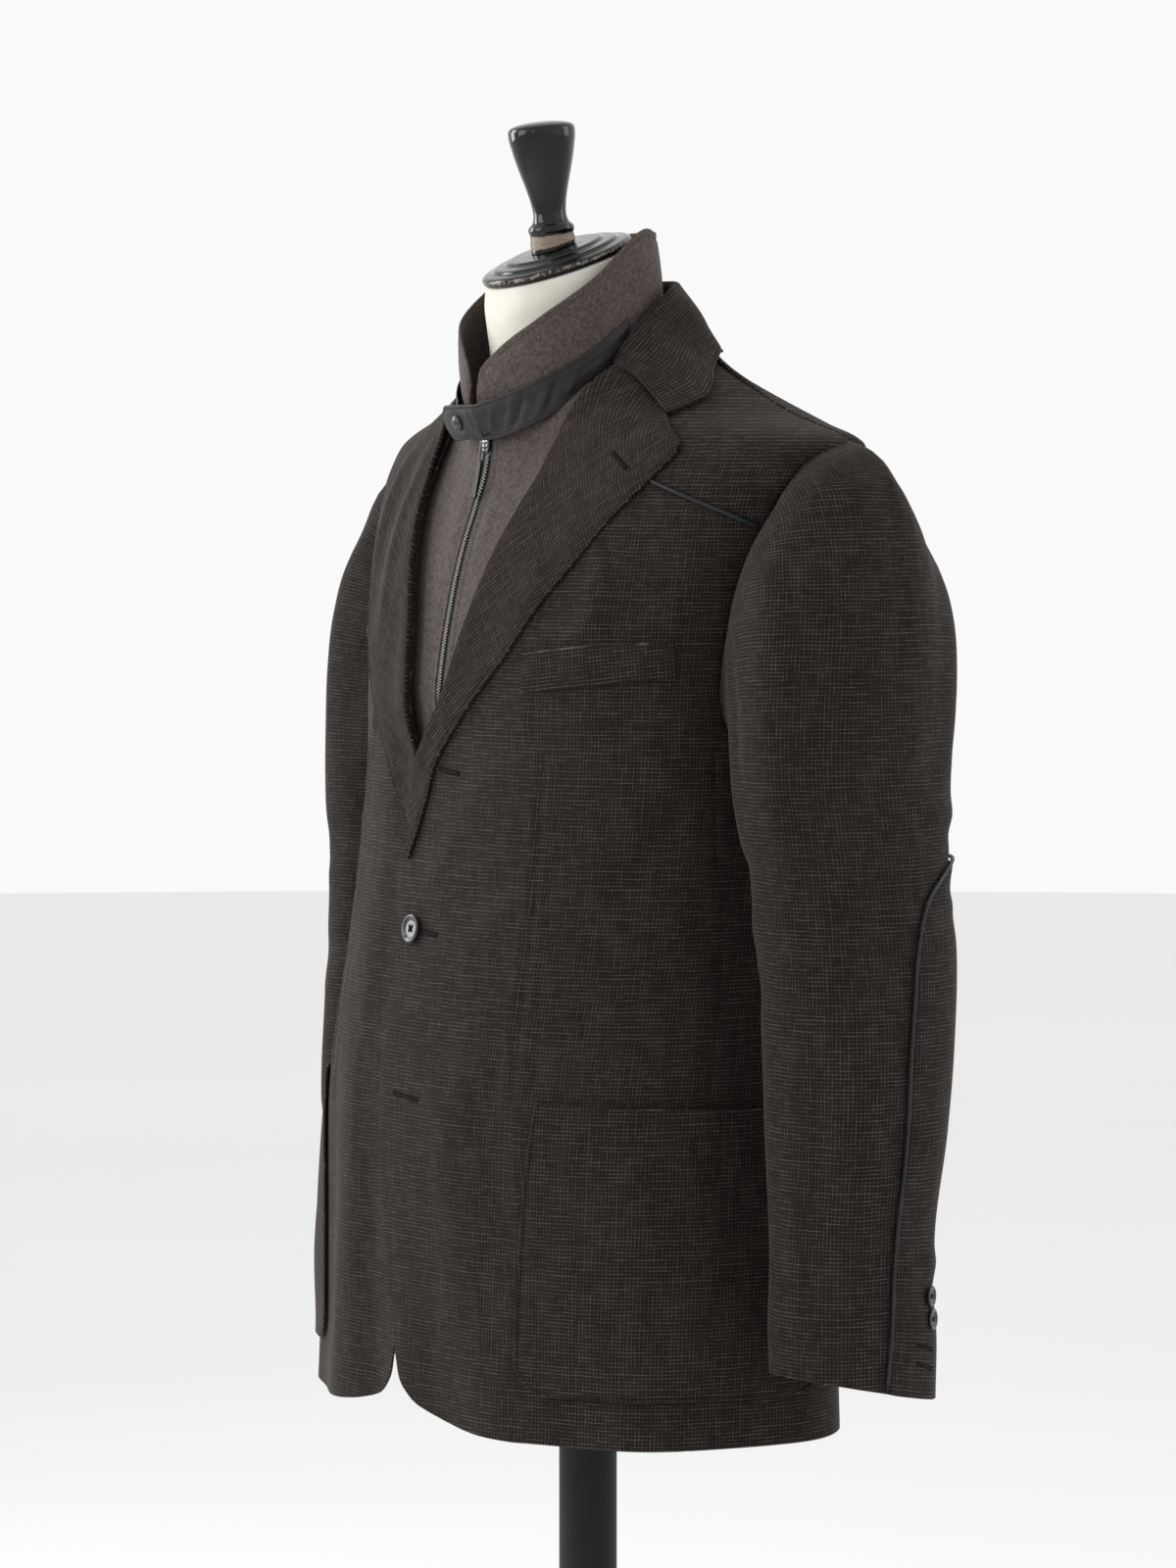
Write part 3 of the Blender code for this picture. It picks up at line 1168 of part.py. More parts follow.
# The pull: a wire link through the arch, moulded into a flat tab. Both hang from
# the pivot, a little forward of plumb because the cloth holds them off.
PIVOT_OUT = 0.0044
PULL_LEAN = math.radians(12)
LINK_LENGTH = 0.0112
TAB_END = 0.0380
pivot = zip_place(0.0, 0.0, PIVOT_OUT)
pull_down = np.array([0.0, -math.sin(PULL_LEAN), -math.cos(PULL_LEAN)])
pull_out = np.array([0.0, -math.cos(PULL_LEAN), math.sin(PULL_LEAN)])
link_path = ((0.0021, LINK_LENGTH), (0.0021, 0.0007), (0.0015, 0.0), (-0.0015, 0.0), (-0.0021, 0.0007),
             (-0.0021, LINK_LENGTH))
link = tube("zip_pull_link", [pull_down * s + np.array([x, 0, 0]) for x, s in link_path], 0.0005, zip_metal)
link.location = pivot
TAB_SHAPE = table(
    "down half thick",
    (LINK_LENGTH + 0.0003, 0.0020, 0.0005),
    (LINK_LENGTH + 0.0010, 0.0025, 0.0008),
    (0.0240, 0.0028, 0.0008),
    (0.0365, 0.0031, 0.0008),
    (0.0376, 0.0028, 0.0008),
    (TAB_END, 0.0018, 0.0005),
)
tab_x = TAB_SHAPE["half"][:, None] * np.array((-1.0, -0.85, 0.85, 1.0))[None, :]
tab_down = TAB_SHAPE["down"][:, None, None] * pull_down
tab_thick = (TAB_SHAPE["thick"][:, None] * np.array((0.5, 1.0, 1.0, 0.5))[None, :])[..., None] * pull_out
tab_middle = tab_x[..., None] * np.array([1.0, 0, 0]) + tab_down
pull_tab = wall("zip_pull_tab", tab_middle + tab_thick, tab_middle - tab_thick, zip_metal)
pull_tab.location = pivot

# ------------------------------------------------------------------------- form
FORM_TURNS = 24
# Body rings: the height on the cloth's surface that each ring stands behind.
FORM_LEVELS = (0.800, 0.880, 0.953, 1.060, 1.168, 1.225, 1.275, 1.315, 1.345, 1.368,
               1.384, 1.396, 1.408, 1.424)
NECK = table(
    "y       z       half_x  half_y  tilt",
    (-0.0030, 1.4300, 0.0660, 0.0610, 0),
    (-0.0110, 1.4400, 0.0575, 0.0570, 1),
    (-0.0155, 1.4550, 0.0545, 0.0545, 4),
    (-0.0200, 1.4750, 0.0532, 0.0532, 12),
    (-0.0235, 1.4920, 0.0525, 0.0525, 17),
    (-0.0244, 1.5074, 0.0515, 0.0515, 20),
)
FORM_SHOULDER = 0.216    # half width of the form across its flat shoulder ends
CAP_CENTRE = (0.0, -0.0255, 1.5106)
CAP_TILT = math.radians(20)


def form_inset(turn, z):
    """Space between the form and the cloth's face: least on the shoulders, which carry it."""
    size = np.degrees(np.abs(turn))
    front = np.clip((86 - size) / 30, 0, 1)
    front = front * front * (3 - 2 * front)
    back = np.clip((size - 100) / 30, 0, 1)
    low = np.clip((1.355 - z) / 0.060, 0, 1)
    high = np.clip((z - 1.404) / 0.020, 0, 1)
    corner = np.clip((1.410 - z) / 0.015, 0, 1)
    back = back * (0.0075 + 0.0055 * np.clip((1.400 - z) / 0.020, 0, 1))
    touch = 0.0019 * np.clip(1 - np.abs(z - 1.408) / 0.010, 0, 1)
    hollow = 0.0088 * front + back + 0.0095 * low * (1 - 0.5 * front)
    return 0.0032 - touch + hollow + 0.0050 * high + 0.0022 * corner


def ellipse_ring(centre, half_x, half_y, tilt, count):
    """Level ring leaned forward by tilt, starting at the front."""
    angle = np.linspace(0, 2 * math.pi, count, endpoint=False)
    deep = -half_y * np.cos(angle)
    ring = np.stack([half_x * np.sin(angle), deep * math.cos(tilt), deep * math.sin(tilt)], -1)
    return ring + np.asarray(centre)


def ring_solid(name, rings, low_centre, high_centre, material):
    """A closed solid through rings of the same count, with a fan at each end."""
    count = len(rings[0])
    vertices = [np.asarray(low_centre)[None]] + list(rings) + [np.asarray(high_centre)[None]]
    faces = [(0, 1 + (j + 1) % count, 1 + j) for j in range(count)]
    for i in range(len(rings) - 1):
        for j in range(count):
            a = 1 + i * count + j
            b = 1 + i * count + (j + 1) % count
            faces.append((a, b, b + count, a + count))
    last = 1 + len(rings) * count
    start = last - count
    faces += [(last, start + j, start + (j + 1) % count) for j in range(count)]
    return add_mesh(name, np.concatenate(vertices), faces, material)


form_turns = np.linspace(0, 2 * math.pi, FORM_TURNS, endpoint=False)
form_signed = np.where(form_turns > math.pi, form_turns - 2 * math.pi, form_turns)
form_rings = []
for level in FORM_LEVELS:
    inset = form_inset(form_signed, np.full(FORM_TURNS, level))
    form_rings.append(torso(form_signed, level, -inset))
form_rings[0][:, 2] = FORM_LEVELS[0]
for ring in form_rings:
    ring[:, 0] = np.clip(ring[:, 0], -FORM_SHOULDER, FORM_SHOULDER)
for y, z, half_x, half_y, tilt in zip(*(NECK[name] for name in ("y", "z", "half_x", "half_y", "tilt"))):
    form_rings.append(ellipse_ring((0, y, z), half_x, half_y, math.radians(tilt), FORM_TURNS))
ring_solid("form_body", form_rings, (0, 0, FORM_LEVELS[0]), (0, NECK["y"][-1], NECK["z"][-1]), canvas)

cap_axis = (0.0, -math.sin(CAP_TILT), math.cos(CAP_TILT))
CAP_PROFILE = ((0, -0.0030), (0.0515, -0.0030), (0.0528, -0.0010), (0.0528, 0.0020), (0.0505, 0.0035),
               (0.0440, 0.0040), (0.0425, 0.0058), (0.0340, 0.0063), (0.0325, 0.0080), (0.0190, 0.0085),
               (0, 0.0085))
turned("neck_cap", CAP_PROFILE, CAP_CENTRE, cap_axis, lacquer, 24)

FINIAL_LEAN = math.radians(7)
FINIAL = table(
    "height radius",
    (0.0090, 0.0155),
    (0.0105, 0.0150),
    (0.0125, 0.0158),
    (0.0150, 0.0150),
    (0.0170, 0.0128),
    (0.0210, 0.0114),
    (0.0280, 0.0117),
    (0.0400, 0.0142),
    (0.0550, 0.0184),
    (0.0680, 0.0215),
    (0.0780, 0.0230),
    (0.0815, 0.0222),
    (0.0840, 0.0180),
    (0.0855, 0.0100),
)
FINIAL_TURNS = 16
finial_foot = np.array(CAP_CENTRE) + np.array(cap_axis) * (CAP_PROFILE[-1][1] + SEAM)
finial_axis = np.array([0.0, -math.sin(FINIAL_LEAN), math.cos(FINIAL_LEAN)])
finial_rings = [ellipse_ring(finial_foot, FINIAL["radius"][0], FINIAL["radius"][0], CAP_TILT, FINIAL_TURNS)]
for height, radius in zip(FINIAL["height"], FINIAL["radius"]):
    centre = finial_foot + finial_axis * height
    finial_rings.append(ellipse_ring(centre, radius, radius, FINIAL_LEAN, FINIAL_TURNS))
ring_solid("neck_finial", finial_rings, finial_foot, finial_foot + finial_axis * 0.0860, lacquer)

BOSS_TOP = 0.034
BASE_PROFILE = ((0, 0), (BASE_RADIUS - 0.003, 0), (BASE_RADIUS, 0.003),
                (BASE_RADIUS, BASE_HEIGHT - 0.004), (BASE_RADIUS - 0.010, BASE_HEIGHT),
                (0.034, BASE_HEIGHT + 0.002), (0.030, BASE_HEIGHT + 0.005),
                (0.029, BOSS_TOP - 0.003), (0.026, BOSS_TOP), (0, BOSS_TOP))
turned("stand_base", BASE_PROFILE, (0, 0, 0), (0, 0, 1), pole_paint, 28)
pole_low = BOSS_TOP + SEAM
pole_high = FORM_LEVELS[0] - SEAM
turned("stand_pole", ((0, pole_low), (POLE_RADIUS, pole_low), (POLE_RADIUS, pole_high), (0, pole_high)),
       (0, 0, 0), (0, 0, 1), pole_paint, 16)
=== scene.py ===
# Moleskin jacket with a zip-in wool dickey, on a limbless dress form.
# Metres, +Z up; the jacket's front faces -Y and the wearer's left is +X.
# Every piece is a surface worked out on a grid with numpy and laid in its final place.
import math

import bpy
import numpy as np
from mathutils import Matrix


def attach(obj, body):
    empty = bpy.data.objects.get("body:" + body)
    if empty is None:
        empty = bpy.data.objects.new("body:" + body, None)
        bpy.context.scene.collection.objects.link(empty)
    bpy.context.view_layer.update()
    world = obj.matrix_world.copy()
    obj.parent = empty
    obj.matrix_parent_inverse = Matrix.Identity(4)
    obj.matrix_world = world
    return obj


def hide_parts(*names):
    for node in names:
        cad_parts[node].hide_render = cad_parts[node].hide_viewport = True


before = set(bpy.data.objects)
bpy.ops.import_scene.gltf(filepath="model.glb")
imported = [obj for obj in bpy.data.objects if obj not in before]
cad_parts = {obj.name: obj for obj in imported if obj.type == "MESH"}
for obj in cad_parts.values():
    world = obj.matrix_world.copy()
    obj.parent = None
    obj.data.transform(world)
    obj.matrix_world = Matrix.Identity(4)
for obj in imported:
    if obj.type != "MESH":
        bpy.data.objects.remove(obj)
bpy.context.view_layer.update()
print("stage: frame loaded")

clothBody = "jacket_on_stand"
pullBody = "zip_pull"

# Sizes that the construction solids use too.
sizes = {
    "cloth": 0.0016,
    "felt": 0.0018,
    "leather": 0.0012,
    "layer": 0.0008,
    "hem": 0.7305,
    "piping": 0.0014,
    "seamDip": 0.0007,
    "seamWidth": 0.0020,
}


# ---- curves and grids
def makeTable(names, *rows):
    # column name -> its values down the rows
    values = np.array(rows, float)
    return {name: values[:, i] for i, name in enumerate(names.split())}


def smoothCurve(xs, ys, x):
    # cubic Hermite through the rows, slopes from the neighbours
    xs = np.asarray(xs, float)
    ys = np.asarray(ys, float)
    x = np.clip(np.asarray(x, float), xs[0], xs[-1])
    slopes = np.gradient(ys, xs)
    i = np.clip(np.searchsorted(xs, x, side="right") - 1, 0, len(xs) - 2)
    width = xs[i + 1] - xs[i]
    u = (x - xs[i]) / width
    low = ys[i] * (2 * u**3 - 3 * u**2 + 1) + slopes[i] * width * (u**3 - 2 * u**2 + u)
    high = ys[i + 1] * (3 * u**2 - 2 * u**3) + slopes[i + 1] * width * (u**3 - u**2)
    return low + high


def column(table, key, name, x):
    return smoothCurve(table[key], table[name], x)


def unit(vectors):
    return vectors / np.maximum(np.linalg.norm(vectors, axis=-1, keepdims=True), 1e-12)


def ramp(x, low, high):
    # 0 below low, 1 above high, a smooth step between
    t = np.clip((x - low) / (high - low), 0, 1)
    return t * t * (3 - 2 * t)


def curveThrough(points, shares, soften=True):
    # curve through the points by chord length, at shares 0 to 1 of its length
    points = np.asarray(points, float)
    chord = np.concatenate([[0], np.cumsum(np.linalg.norm(np.diff(points, axis=0), axis=1))])
    chord = chord / chord[-1]
    pick = smoothCurve if soften else (lambda xs, ys, x: np.interp(x, xs, ys))
    return np.stack([pick(chord, points[:, i], shares) for i in range(points.shape[1])], -1)


def edgeSpacing(count, length, fine=(0.0006, 0.0013, 0.0023, 0.0038)):
    # shares 0 to 1 that crowd together at both ends, where seams dip
    near = np.array(fine) / length
    middle = np.linspace(near[-1] + 1.0 / count, 1 - near[-1] - 1.0 / count, count)
    return np.concatenate([[0], near, middle, 1 - near[::-1], [1]])


def coonsGrid(left, right, bottom, top, rowShares, colShares):
    # Coons patch: rows run from bottom to top, columns from left to right
    rows = rowShares[:, None, None]
    cols = colShares[None, :, None]
    across = (1 - cols) * left[:, None] + cols * right[:, None]
    upward = (1 - rows) * bottom[None] + rows * top[None]
    corners = ((1 - rows) * (1 - cols) * left[0] + (1 - rows) * cols * right[0]
               + rows * (1 - cols) * left[-1] + rows * cols * right[-1])
    return across + upward - corners


def gridNormals(points, wrap=False):
    # cross product of the two grid directions
    if wrap:
        along = np.roll(points, -1, 1) - np.roll(points, 1, 1)
    else:
        along = np.gradient(points, axis=1)
    return unit(np.cross(along, np.gradient(points, axis=0)))


def edgeDistance(points, edges):
    # distance along the grid lines from the nearest of the named edges
    acrossStep = np.linalg.norm(np.diff(points, axis=1), axis=-1)
    upStep = np.linalg.norm(np.diff(points, axis=0), axis=-1)
    fromLeft = np.concatenate([np.zeros((len(points), 1)), np.cumsum(acrossStep, 1)], 1)
    fromBottom = np.concatenate([np.zeros((1, points.shape[1])), np.cumsum(upStep, 0)], 0)
    far = np.full(points.shape[:2], 1.0)
    sides = {"left": fromLeft, "right": fromLeft[:, -1:] - fromLeft,
             "bottom": fromBottom, "top": fromBottom[-1:] - fromBottom}
    for edge in edges.split():
        far = np.minimum(far, sides[edge])
    return far


def creaseLift(points, creases):
    # sum of soft troughs and ridges: each a Gaussian across a bent line, fading to its ends.
    # A row is start, middle, end, half width and height.
    lift = np.zeros(points.shape[:-1])
    for start, bend, end, width, height in creases:
        shares = np.linspace(0, 1, 17)[:, None]
        line = ((1 - shares)**2 * np.array(start) + 2 * shares * (1 - shares) * np.array(bend)
                + shares**2 * np.array(end))
        gap = np.full(points.shape[:-1], 9.0)
        run = np.zeros(points.shape[:-1])
        for k in range(16):
            step = line[k + 1] - line[k]
            t = np.clip(((points - line[k]) @ step) / (step @ step), 0, 1)
            away = np.linalg.norm(points - line[k] - t[..., None] * step, axis=-1)
            nearer = away < gap
            gap = np.where(nearer, away, gap)
            run = np.where(nearer, (k + t) / 16, run)
        fade = np.sin(math.pi * np.clip(run, 0, 1)) ** 0.8
        lift += height * fade * np.exp(-(gap / width) ** 2)
    return lift


# ---- meshes
def makeObject(name, vertices, faces, material, body, nodes=(), slot=None, uv=None, sharp=None):
    mesh = bpy.data.meshes.new(name)
    mesh.from_pydata(vertices.reshape(-1, 3), [], faces)
    if uv is not None:
        layer = mesh.uv_layers.new(name="weave")
        corner = np.empty(len(mesh.loops), np.int32)
        mesh.loops.foreach_get("vertex_index", corner)
        layer.data.foreach_set("uv", uv.reshape(-1, 2)[corner].astype(np.float32).ravel())
    mesh.materials.append(material)
    mesh.polygons.foreach_set("use_smooth", np.ones(len(mesh.polygons), bool))
    if sharp:
        mesh.set_sharp_from_angle(angle=math.radians(sharp))
    mesh.update()
    piece = bpy.data.objects.new(name, mesh)
    bpy.context.scene.collection.objects.link(piece)
    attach(piece, body)
    if nodes:
        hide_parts(*nodes)
    return piece


def gridFaces(rows, cols, start=0, flip=False):
    # quads of a grid of rows x cols points
    a = (np.arange(rows - 1)[:, None] * cols + np.arange(cols - 1)[None, :] + start).ravel()
    quad = np.stack([a, a + 1, a + 1 + cols, a + cols], -1)
    return quad[:, ::-1] if flip else quad


def borderLoop(rows, cols):
    bottom = np.arange(cols)
    right = np.arange(1, rows) * cols + cols - 1
    top = (rows - 1) * cols + np.arange(cols - 2, -1, -1)
    left = np.arange(rows - 2, 0, -1) * cols
    return np.concatenate([bottom, right, top, left])


def outwardSign(outer, inner):
    # 1 where a quad's own winding already points from inner to outer
    rows, cols = outer.shape[:2]
    i, j = rows // 2, cols // 2
    normal = np.cross(outer[i, j + 1] - outer[i, j], outer[i + 1, j] - outer[i, j])
    return 1 if normal @ (outer[i, j] - inner[i, j]) > 0 else -1


def shellPiece(name, outer, inner, uv, material, nodes, slot, round=0.35, **more):
    # thin closed wall: outer face, inner face and a rounded rim, its middle pushed out
    rows, cols = outer.shape[:2]
    count = rows * cols
    flip = outwardSign(outer, inner) < 0
    loop = borderLoop(rows, cols)
    edge = outer.reshape(-1, 3)[loop]
    under = inner.reshape(-1, 3)[loop]
    nextEdge = np.roll(edge, -1, 0) - np.roll(edge, 1, 0)
    out = unit(np.cross(nextEdge, edge - under)) * (-1 if flip else 1)
    thick = np.linalg.norm(edge - under, axis=-1, keepdims=True)
    rim = (edge + under) / 2 + out * thick * round
    vertices = np.concatenate([outer.reshape(-1, 3), inner.reshape(-1, 3), rim])
    n = len(loop)
    ring = np.arange(n) + 2 * count
    after = np.roll(ring, -1)
    nextLoop = np.roll(loop, -1)
    outerRim = np.stack([loop, ring, after, nextLoop], -1)
    innerRim = np.stack([ring, loop + count, nextLoop + count, after], -1)
    rims = np.concatenate([outerRim, innerRim])
    faces = np.concatenate([gridFaces(rows, cols, 0, flip), gridFaces(rows, cols, count, not flip),
                            rims[:, ::-1] if flip else rims])
    flatUv = uv.reshape(-1, 2)
    allUv = np.concatenate([flatUv, flatUv, flatUv[loop]])
    return makeObject(name, vertices, faces, material, clothBody, nodes, slot, allUv, **more)


def tubeGrid(path, radius, count, startNormal=(0, 0, 1)):
    # circle of a varying radius carried along a path with a frame that doesn't twist
    path = np.asarray(path, float)
    tangent = unit(np.gradient(path, axis=0))
    normal = np.empty_like(path)
    last = np.asarray(startNormal, float)
    for k in range(len(path)):
        last = unit(last - tangent[k] * (last @ tangent[k]))
        normal[k] = last
    binormal = np.cross(tangent, normal)
    angle = np.linspace(0, 2 * math.pi, count, endpoint=False)
    radius = np.broadcast_to(np.asarray(radius, float), (len(path),))[:, None, None]
    return path[:, None] + radius * (np.cos(angle)[None, :, None] * normal[:, None]
                                     + np.sin(angle)[None, :, None] * binormal[:, None])


def closedTube(rings):
    # vertices and faces of rings joined up, with a fan at each end
    rows, cols = rings.shape[:2]
    vertices = np.concatenate([rings.reshape(-1, 3), rings[0].mean(0)[None], rings[-1].mean(0)[None]])
    i = np.arange(rows - 1)[:, None] * cols
    j = np.arange(cols)[None, :]
    nextJ = (j + 1) % cols
    quads = np.stack([i + j, i + nextJ, i + cols + nextJ, i + cols + j], -1).reshape(-1, 4)
    low = rows * cols
    first = np.stack([np.full(cols, low), nextJ[0], j[0]], -1)
    end = (rows - 1) * cols
    last = np.stack([np.full(cols, low + 1), end + j[0], end + nextJ[0]], -1)
    return vertices, [*quads.tolist(), *first.tolist(), *last.tolist()]


def facingOut(vertices, faces):
    # turns all the faces round if the closed mesh has a negative volume
    points = vertices.reshape(-1, 3)
    quads = np.array([[*face, face[-1]][:4] for face in faces])
    a, b, c, d = np.moveaxis(points[quads], 1, 0)
    volume = np.sum(a * (np.cross(b, c) + np.cross(c, d)))
    return faces if volume > 0 else [list(face)[::-1] for face in faces]


def tubePiece(name, path, radius, count, material, nodes, slot, body=clothBody, startNormal=(0, 0, 1)):
    vertices, faces = closedTube(tubeGrid(path, radius, count, startNormal))
    return makeObject(name, vertices, facingOut(vertices, faces), material, body, nodes, slot)


# ---- materials
def newMaterial(name, colour, roughness, **sockets):
    # a Principled material, its constant values set on the sockets
    material = bpy.data.materials.new(name)
    material.use_nodes = True
    shader = material.node_tree.nodes["Principled BSDF"]
    shader.inputs["Base Color"].default_value = (*colour, 1)
    shader.inputs["Roughness"].default_value = roughness
    for socket, value in sockets.items():
        shader.inputs[socket.replace("_", " ")].default_value = value
    return material, material.node_tree, shader


class Nodes:
    # short hands for the nodes of one material
    def __init__(self, tree, shader):
        self.tree = tree
        self.shader = shader

    def node(self, kind, **values):
        made = self.tree.nodes.new(kind)
        for key, value in values.items():
            setattr(made, key, value)
        return made

    def feed(self, source, target):
        self.tree.links.new(source, target)

    def place(self, uvMap=None):
        if uvMap:
            return self.node("ShaderNodeUVMap", uv_map=uvMap).outputs["UV"]
        return self.node("ShaderNodeTexCoord").outputs["Object"]

    def mapped(self, place, scale=(1, 1, 1), rotation=(0, 0, 0)):
        node = self.node("ShaderNodeMapping")
        node.inputs["Scale"].default_value = scale
        node.inputs["Rotation"].default_value = rotation
        self.feed(place, node.inputs["Vector"])
        return node.outputs["Vector"]

    def noise(self, place, scale, detail=2.0, rough=0.5, distortion=0.0):
        node = self.node("ShaderNodeTexNoise")
        node.inputs["Scale"].default_value = scale
        node.inputs["Detail"].default_value = detail
        node.inputs["Roughness"].default_value = rough
        node.inputs["Distortion"].default_value = distortion
        self.feed(place, node.inputs["Vector"])
        return node.outputs["Fac"]

    def math(self, operation, a, b=None, c=None):
        node = self.node("ShaderNodeMath", operation=operation)
        for socket, value in zip(node.inputs, (a, b, c)):
            if isinstance(value, (int, float)):
                socket.default_value = value
            elif value is not None:
                self.feed(value, socket)
        return node.outputs[0]

    def band(self, value, low, high, toLow=0.0, toHigh=1.0):
        node = self.node("ShaderNodeMapRange", interpolation_type="SMOOTHSTEP")
        for socket, number in zip(("From Min", "From Max", "To Min", "To Max"), (low, high, toLow, toHigh)):
            node.inputs[socket].default_value = number
        self.feed(value, node.inputs["Value"])
        return node.outputs["Result"]

    def mix(self, share, a, b):
        node = self.node("ShaderNodeMix", data_type="RGBA")
        for socket, value in zip((node.inputs[0], node.inputs[6], node.inputs[7]), (share, a, b)):
            if isinstance(value, tuple):
                socket.default_value = (*value, 1)
            elif isinstance(value, float):
                socket.default_value = value
            else:
                self.feed(value, socket)
        return node.outputs[2]

    def bump(self, height, strength, distance):
        node = self.node("ShaderNodeBump")
        node.inputs["Strength"].default_value = strength
        node.inputs["Distance"].default_value = distance
        self.feed(height, node.inputs["Height"])
        self.feed(node.outputs["Normal"], self.shader.inputs["Normal"])

    def colour(self, socket):
        self.feed(socket, self.shader.inputs["Base Color"])


moleskinLook = {
    "pitch": 0.00245,
    "pile": (0.0072, 0.0051, 0.0044),
    "pileLight": (0.0125, 0.0090, 0.0078),
    "thread": (0.150, 0.122, 0.106),
    "reddish": (0.036, 0.0165, 0.0125),
}


def makeMoleskin():
    # a dark pile crossed by a fine grid of light threads, each thread slubbed along its length
    look = moleskinLook
    material, tree, shader = newMaterial(
        "napped moleskin", look["pile"], 0.92, Sheen_Weight=0.10, Sheen_Roughness=0.28,
        Sheen_Tint=(0.80, 0.66, 0.60, 1), Specular_IOR_Level=0.18)
    n = Nodes(tree, shader)
    weave = n.place("weave")
    wander = n.noise(weave, 60.0, 1.0)
    split = n.node("ShaderNodeSeparateXYZ")
    n.feed(weave, split.inputs[0])
    threads = []
    for axis, stretch in ((0, (1.0, 0.16, 1.0)), (1, (0.13, 1.0, 1.0))):
        shifted = n.math("MULTIPLY_ADD", wander, 0.0012, split.outputs[axis])
        phase = n.math("PINGPONG", n.math("DIVIDE", shifted, look["pitch"]), 0.5)
        line = n.band(phase, 0.33, 0.5)
        slub = n.noise(n.mapped(weave, stretch), 420.0, 2.0, 0.6)
        long = n.noise(n.mapped(weave, tuple(s * 0.35 if s < 1 else 1.0 for s in stretch)), 230.0, 1.0)
        strength = n.math("ADD", n.band(slub, 0.40, 0.66, 0.12, 1.05), n.band(long, 0.55, 0.75, 0.0, 0.22))
        threads.append((line, n.math("MULTIPLY", line, strength)))
    speck = n.noise(weave, 1500.0, 1.0)
    crossing = n.math("MULTIPLY", threads[0][0], threads[1][0])
    light = n.math("ADD", n.math("MULTIPLY", threads[0][1], 0.34), n.math("MULTIPLY", threads[1][1], 0.52))
    light = n.math("ADD", light, n.math("MULTIPLY", n.math("MULTIPLY", crossing, n.band(speck, 0.35, 0.65, 0.2, 1.2)), 0.55))
    light = n.math("MULTIPLY", light, n.band(speck, 0.25, 0.75, 0.55, 1.25))
    nap = n.noise(n.mapped(n.place(), (1, 1, 0.4)), 75.0, 3.0, 0.55, 0.4)
    brushed = n.noise(n.mapped(n.place(), (1, 1, 0.35)), 11.0, 2.0)
    pile = n.mix(n.band(nap, 0.36, 0.68), look["pile"], look["pileLight"])
    pile = n.mix(n.math("MULTIPLY", n.band(n.noise(weave, 300.0, 2.0), 0.60, 0.74), 0.35), pile, look["reddish"])
    light = n.math("MULTIPLY", light, n.band(brushed, 0.30, 0.70, 0.80, 1.0))
    n.colour(n.mix(n.math("MINIMUM", light, 1.0), pile, look["thread"]))
    height = n.math("ADD", n.math("MULTIPLY", light, 0.7), n.math("MULTIPLY", speck, 0.5))
    n.bump(height, 0.55, 0.0004)
    return material


def makeFelt():
    # grey-brown melange: dark and light fibres at two scales over a milled face
    material, tree, shader = newMaterial("melange felt", (0.12, 0.095, 0.085), 0.95, Sheen_Weight=0.12,
                                         Sheen_Roughness=0.4, Sheen_Tint=(0.9, 0.8, 0.74, 1), Specular_IOR_Level=0.2)
    n = Nodes(tree, shader)
    place = n.place()
    fibres = n.noise(n.mapped(place, (1, 1, 0.6)), 900.0, 3.0, 0.65, 0.4)
    clumps = n.noise(place, 330.0, 2.0, 0.5)
    both = n.math("ADD", n.math("MULTIPLY", fibres, 0.6), n.math("MULTIPLY", clumps, 0.4))
    base = n.mix(n.band(both, 0.34, 0.66), (0.040, 0.0310, 0.0272), (0.092, 0.0755, 0.0675))
    flecks = n.band(n.noise(n.mapped(place, (1, 1, 0.5)), 880.0, 1.0), 0.66, 0.74)
    n.colour(n.mix(n.math("MULTIPLY", flecks, 0.35), base, (0.15, 0.128, 0.116)))
    n.bump(n.math("ADD", fibres, clumps), 0.45, 0.0005)
    return material


def makeLeather(name, dark, light, roughness):
    # pebbled grain of small cells with a faint mottle
    material, tree, shader = newMaterial(name, dark, roughness, Specular_IOR_Level=0.26)
    n = Nodes(tree, shader)
    place = n.place()
    cells = n.node("ShaderNodeTexVoronoi", feature="DISTANCE_TO_EDGE")
    cells.inputs["Scale"].default_value = 900.0
    n.feed(n.mapped(place, (1, 1, 1)), cells.inputs["Vector"])
    grain = n.band(cells.outputs["Distance"], 0.0, 0.22)
    mottle = n.noise(place, 120.0, 3.0)
    n.colour(n.mix(n.math("MULTIPLY", n.band(mottle, 0.3, 0.7), 0.6), dark, light))
    n.feed(n.band(mottle, 0.3, 0.7, roughness - 0.07, roughness + 0.07), shader.inputs["Roughness"])
    n.bump(n.math("ADD", n.math("MULTIPLY", grain, 0.6), mottle), 0.30, 0.00025)
    return material


def makeHorn():
    # polished horn: dark, with faint streaks drawn out one way
    material, tree, shader = newMaterial("polished horn", (0.012, 0.013, 0.015), 0.24, Specular_IOR_Level=0.42, Coat_Weight=0.10)
    n = Nodes(tree, shader)
    streaks = n.noise(n.mapped(n.place(), (1.0, 1.0, 0.22)), 260.0, 3.0, 0.6, 1.5)
    n.colour(n.mix(n.band(streaks, 0.38, 0.70), (0.0075, 0.0082, 0.0100), (0.028, 0.030, 0.036)))
    n.feed(n.band(streaks, 0.3, 0.7, 0.18, 0.32), shader.inputs["Roughness"])
    return material


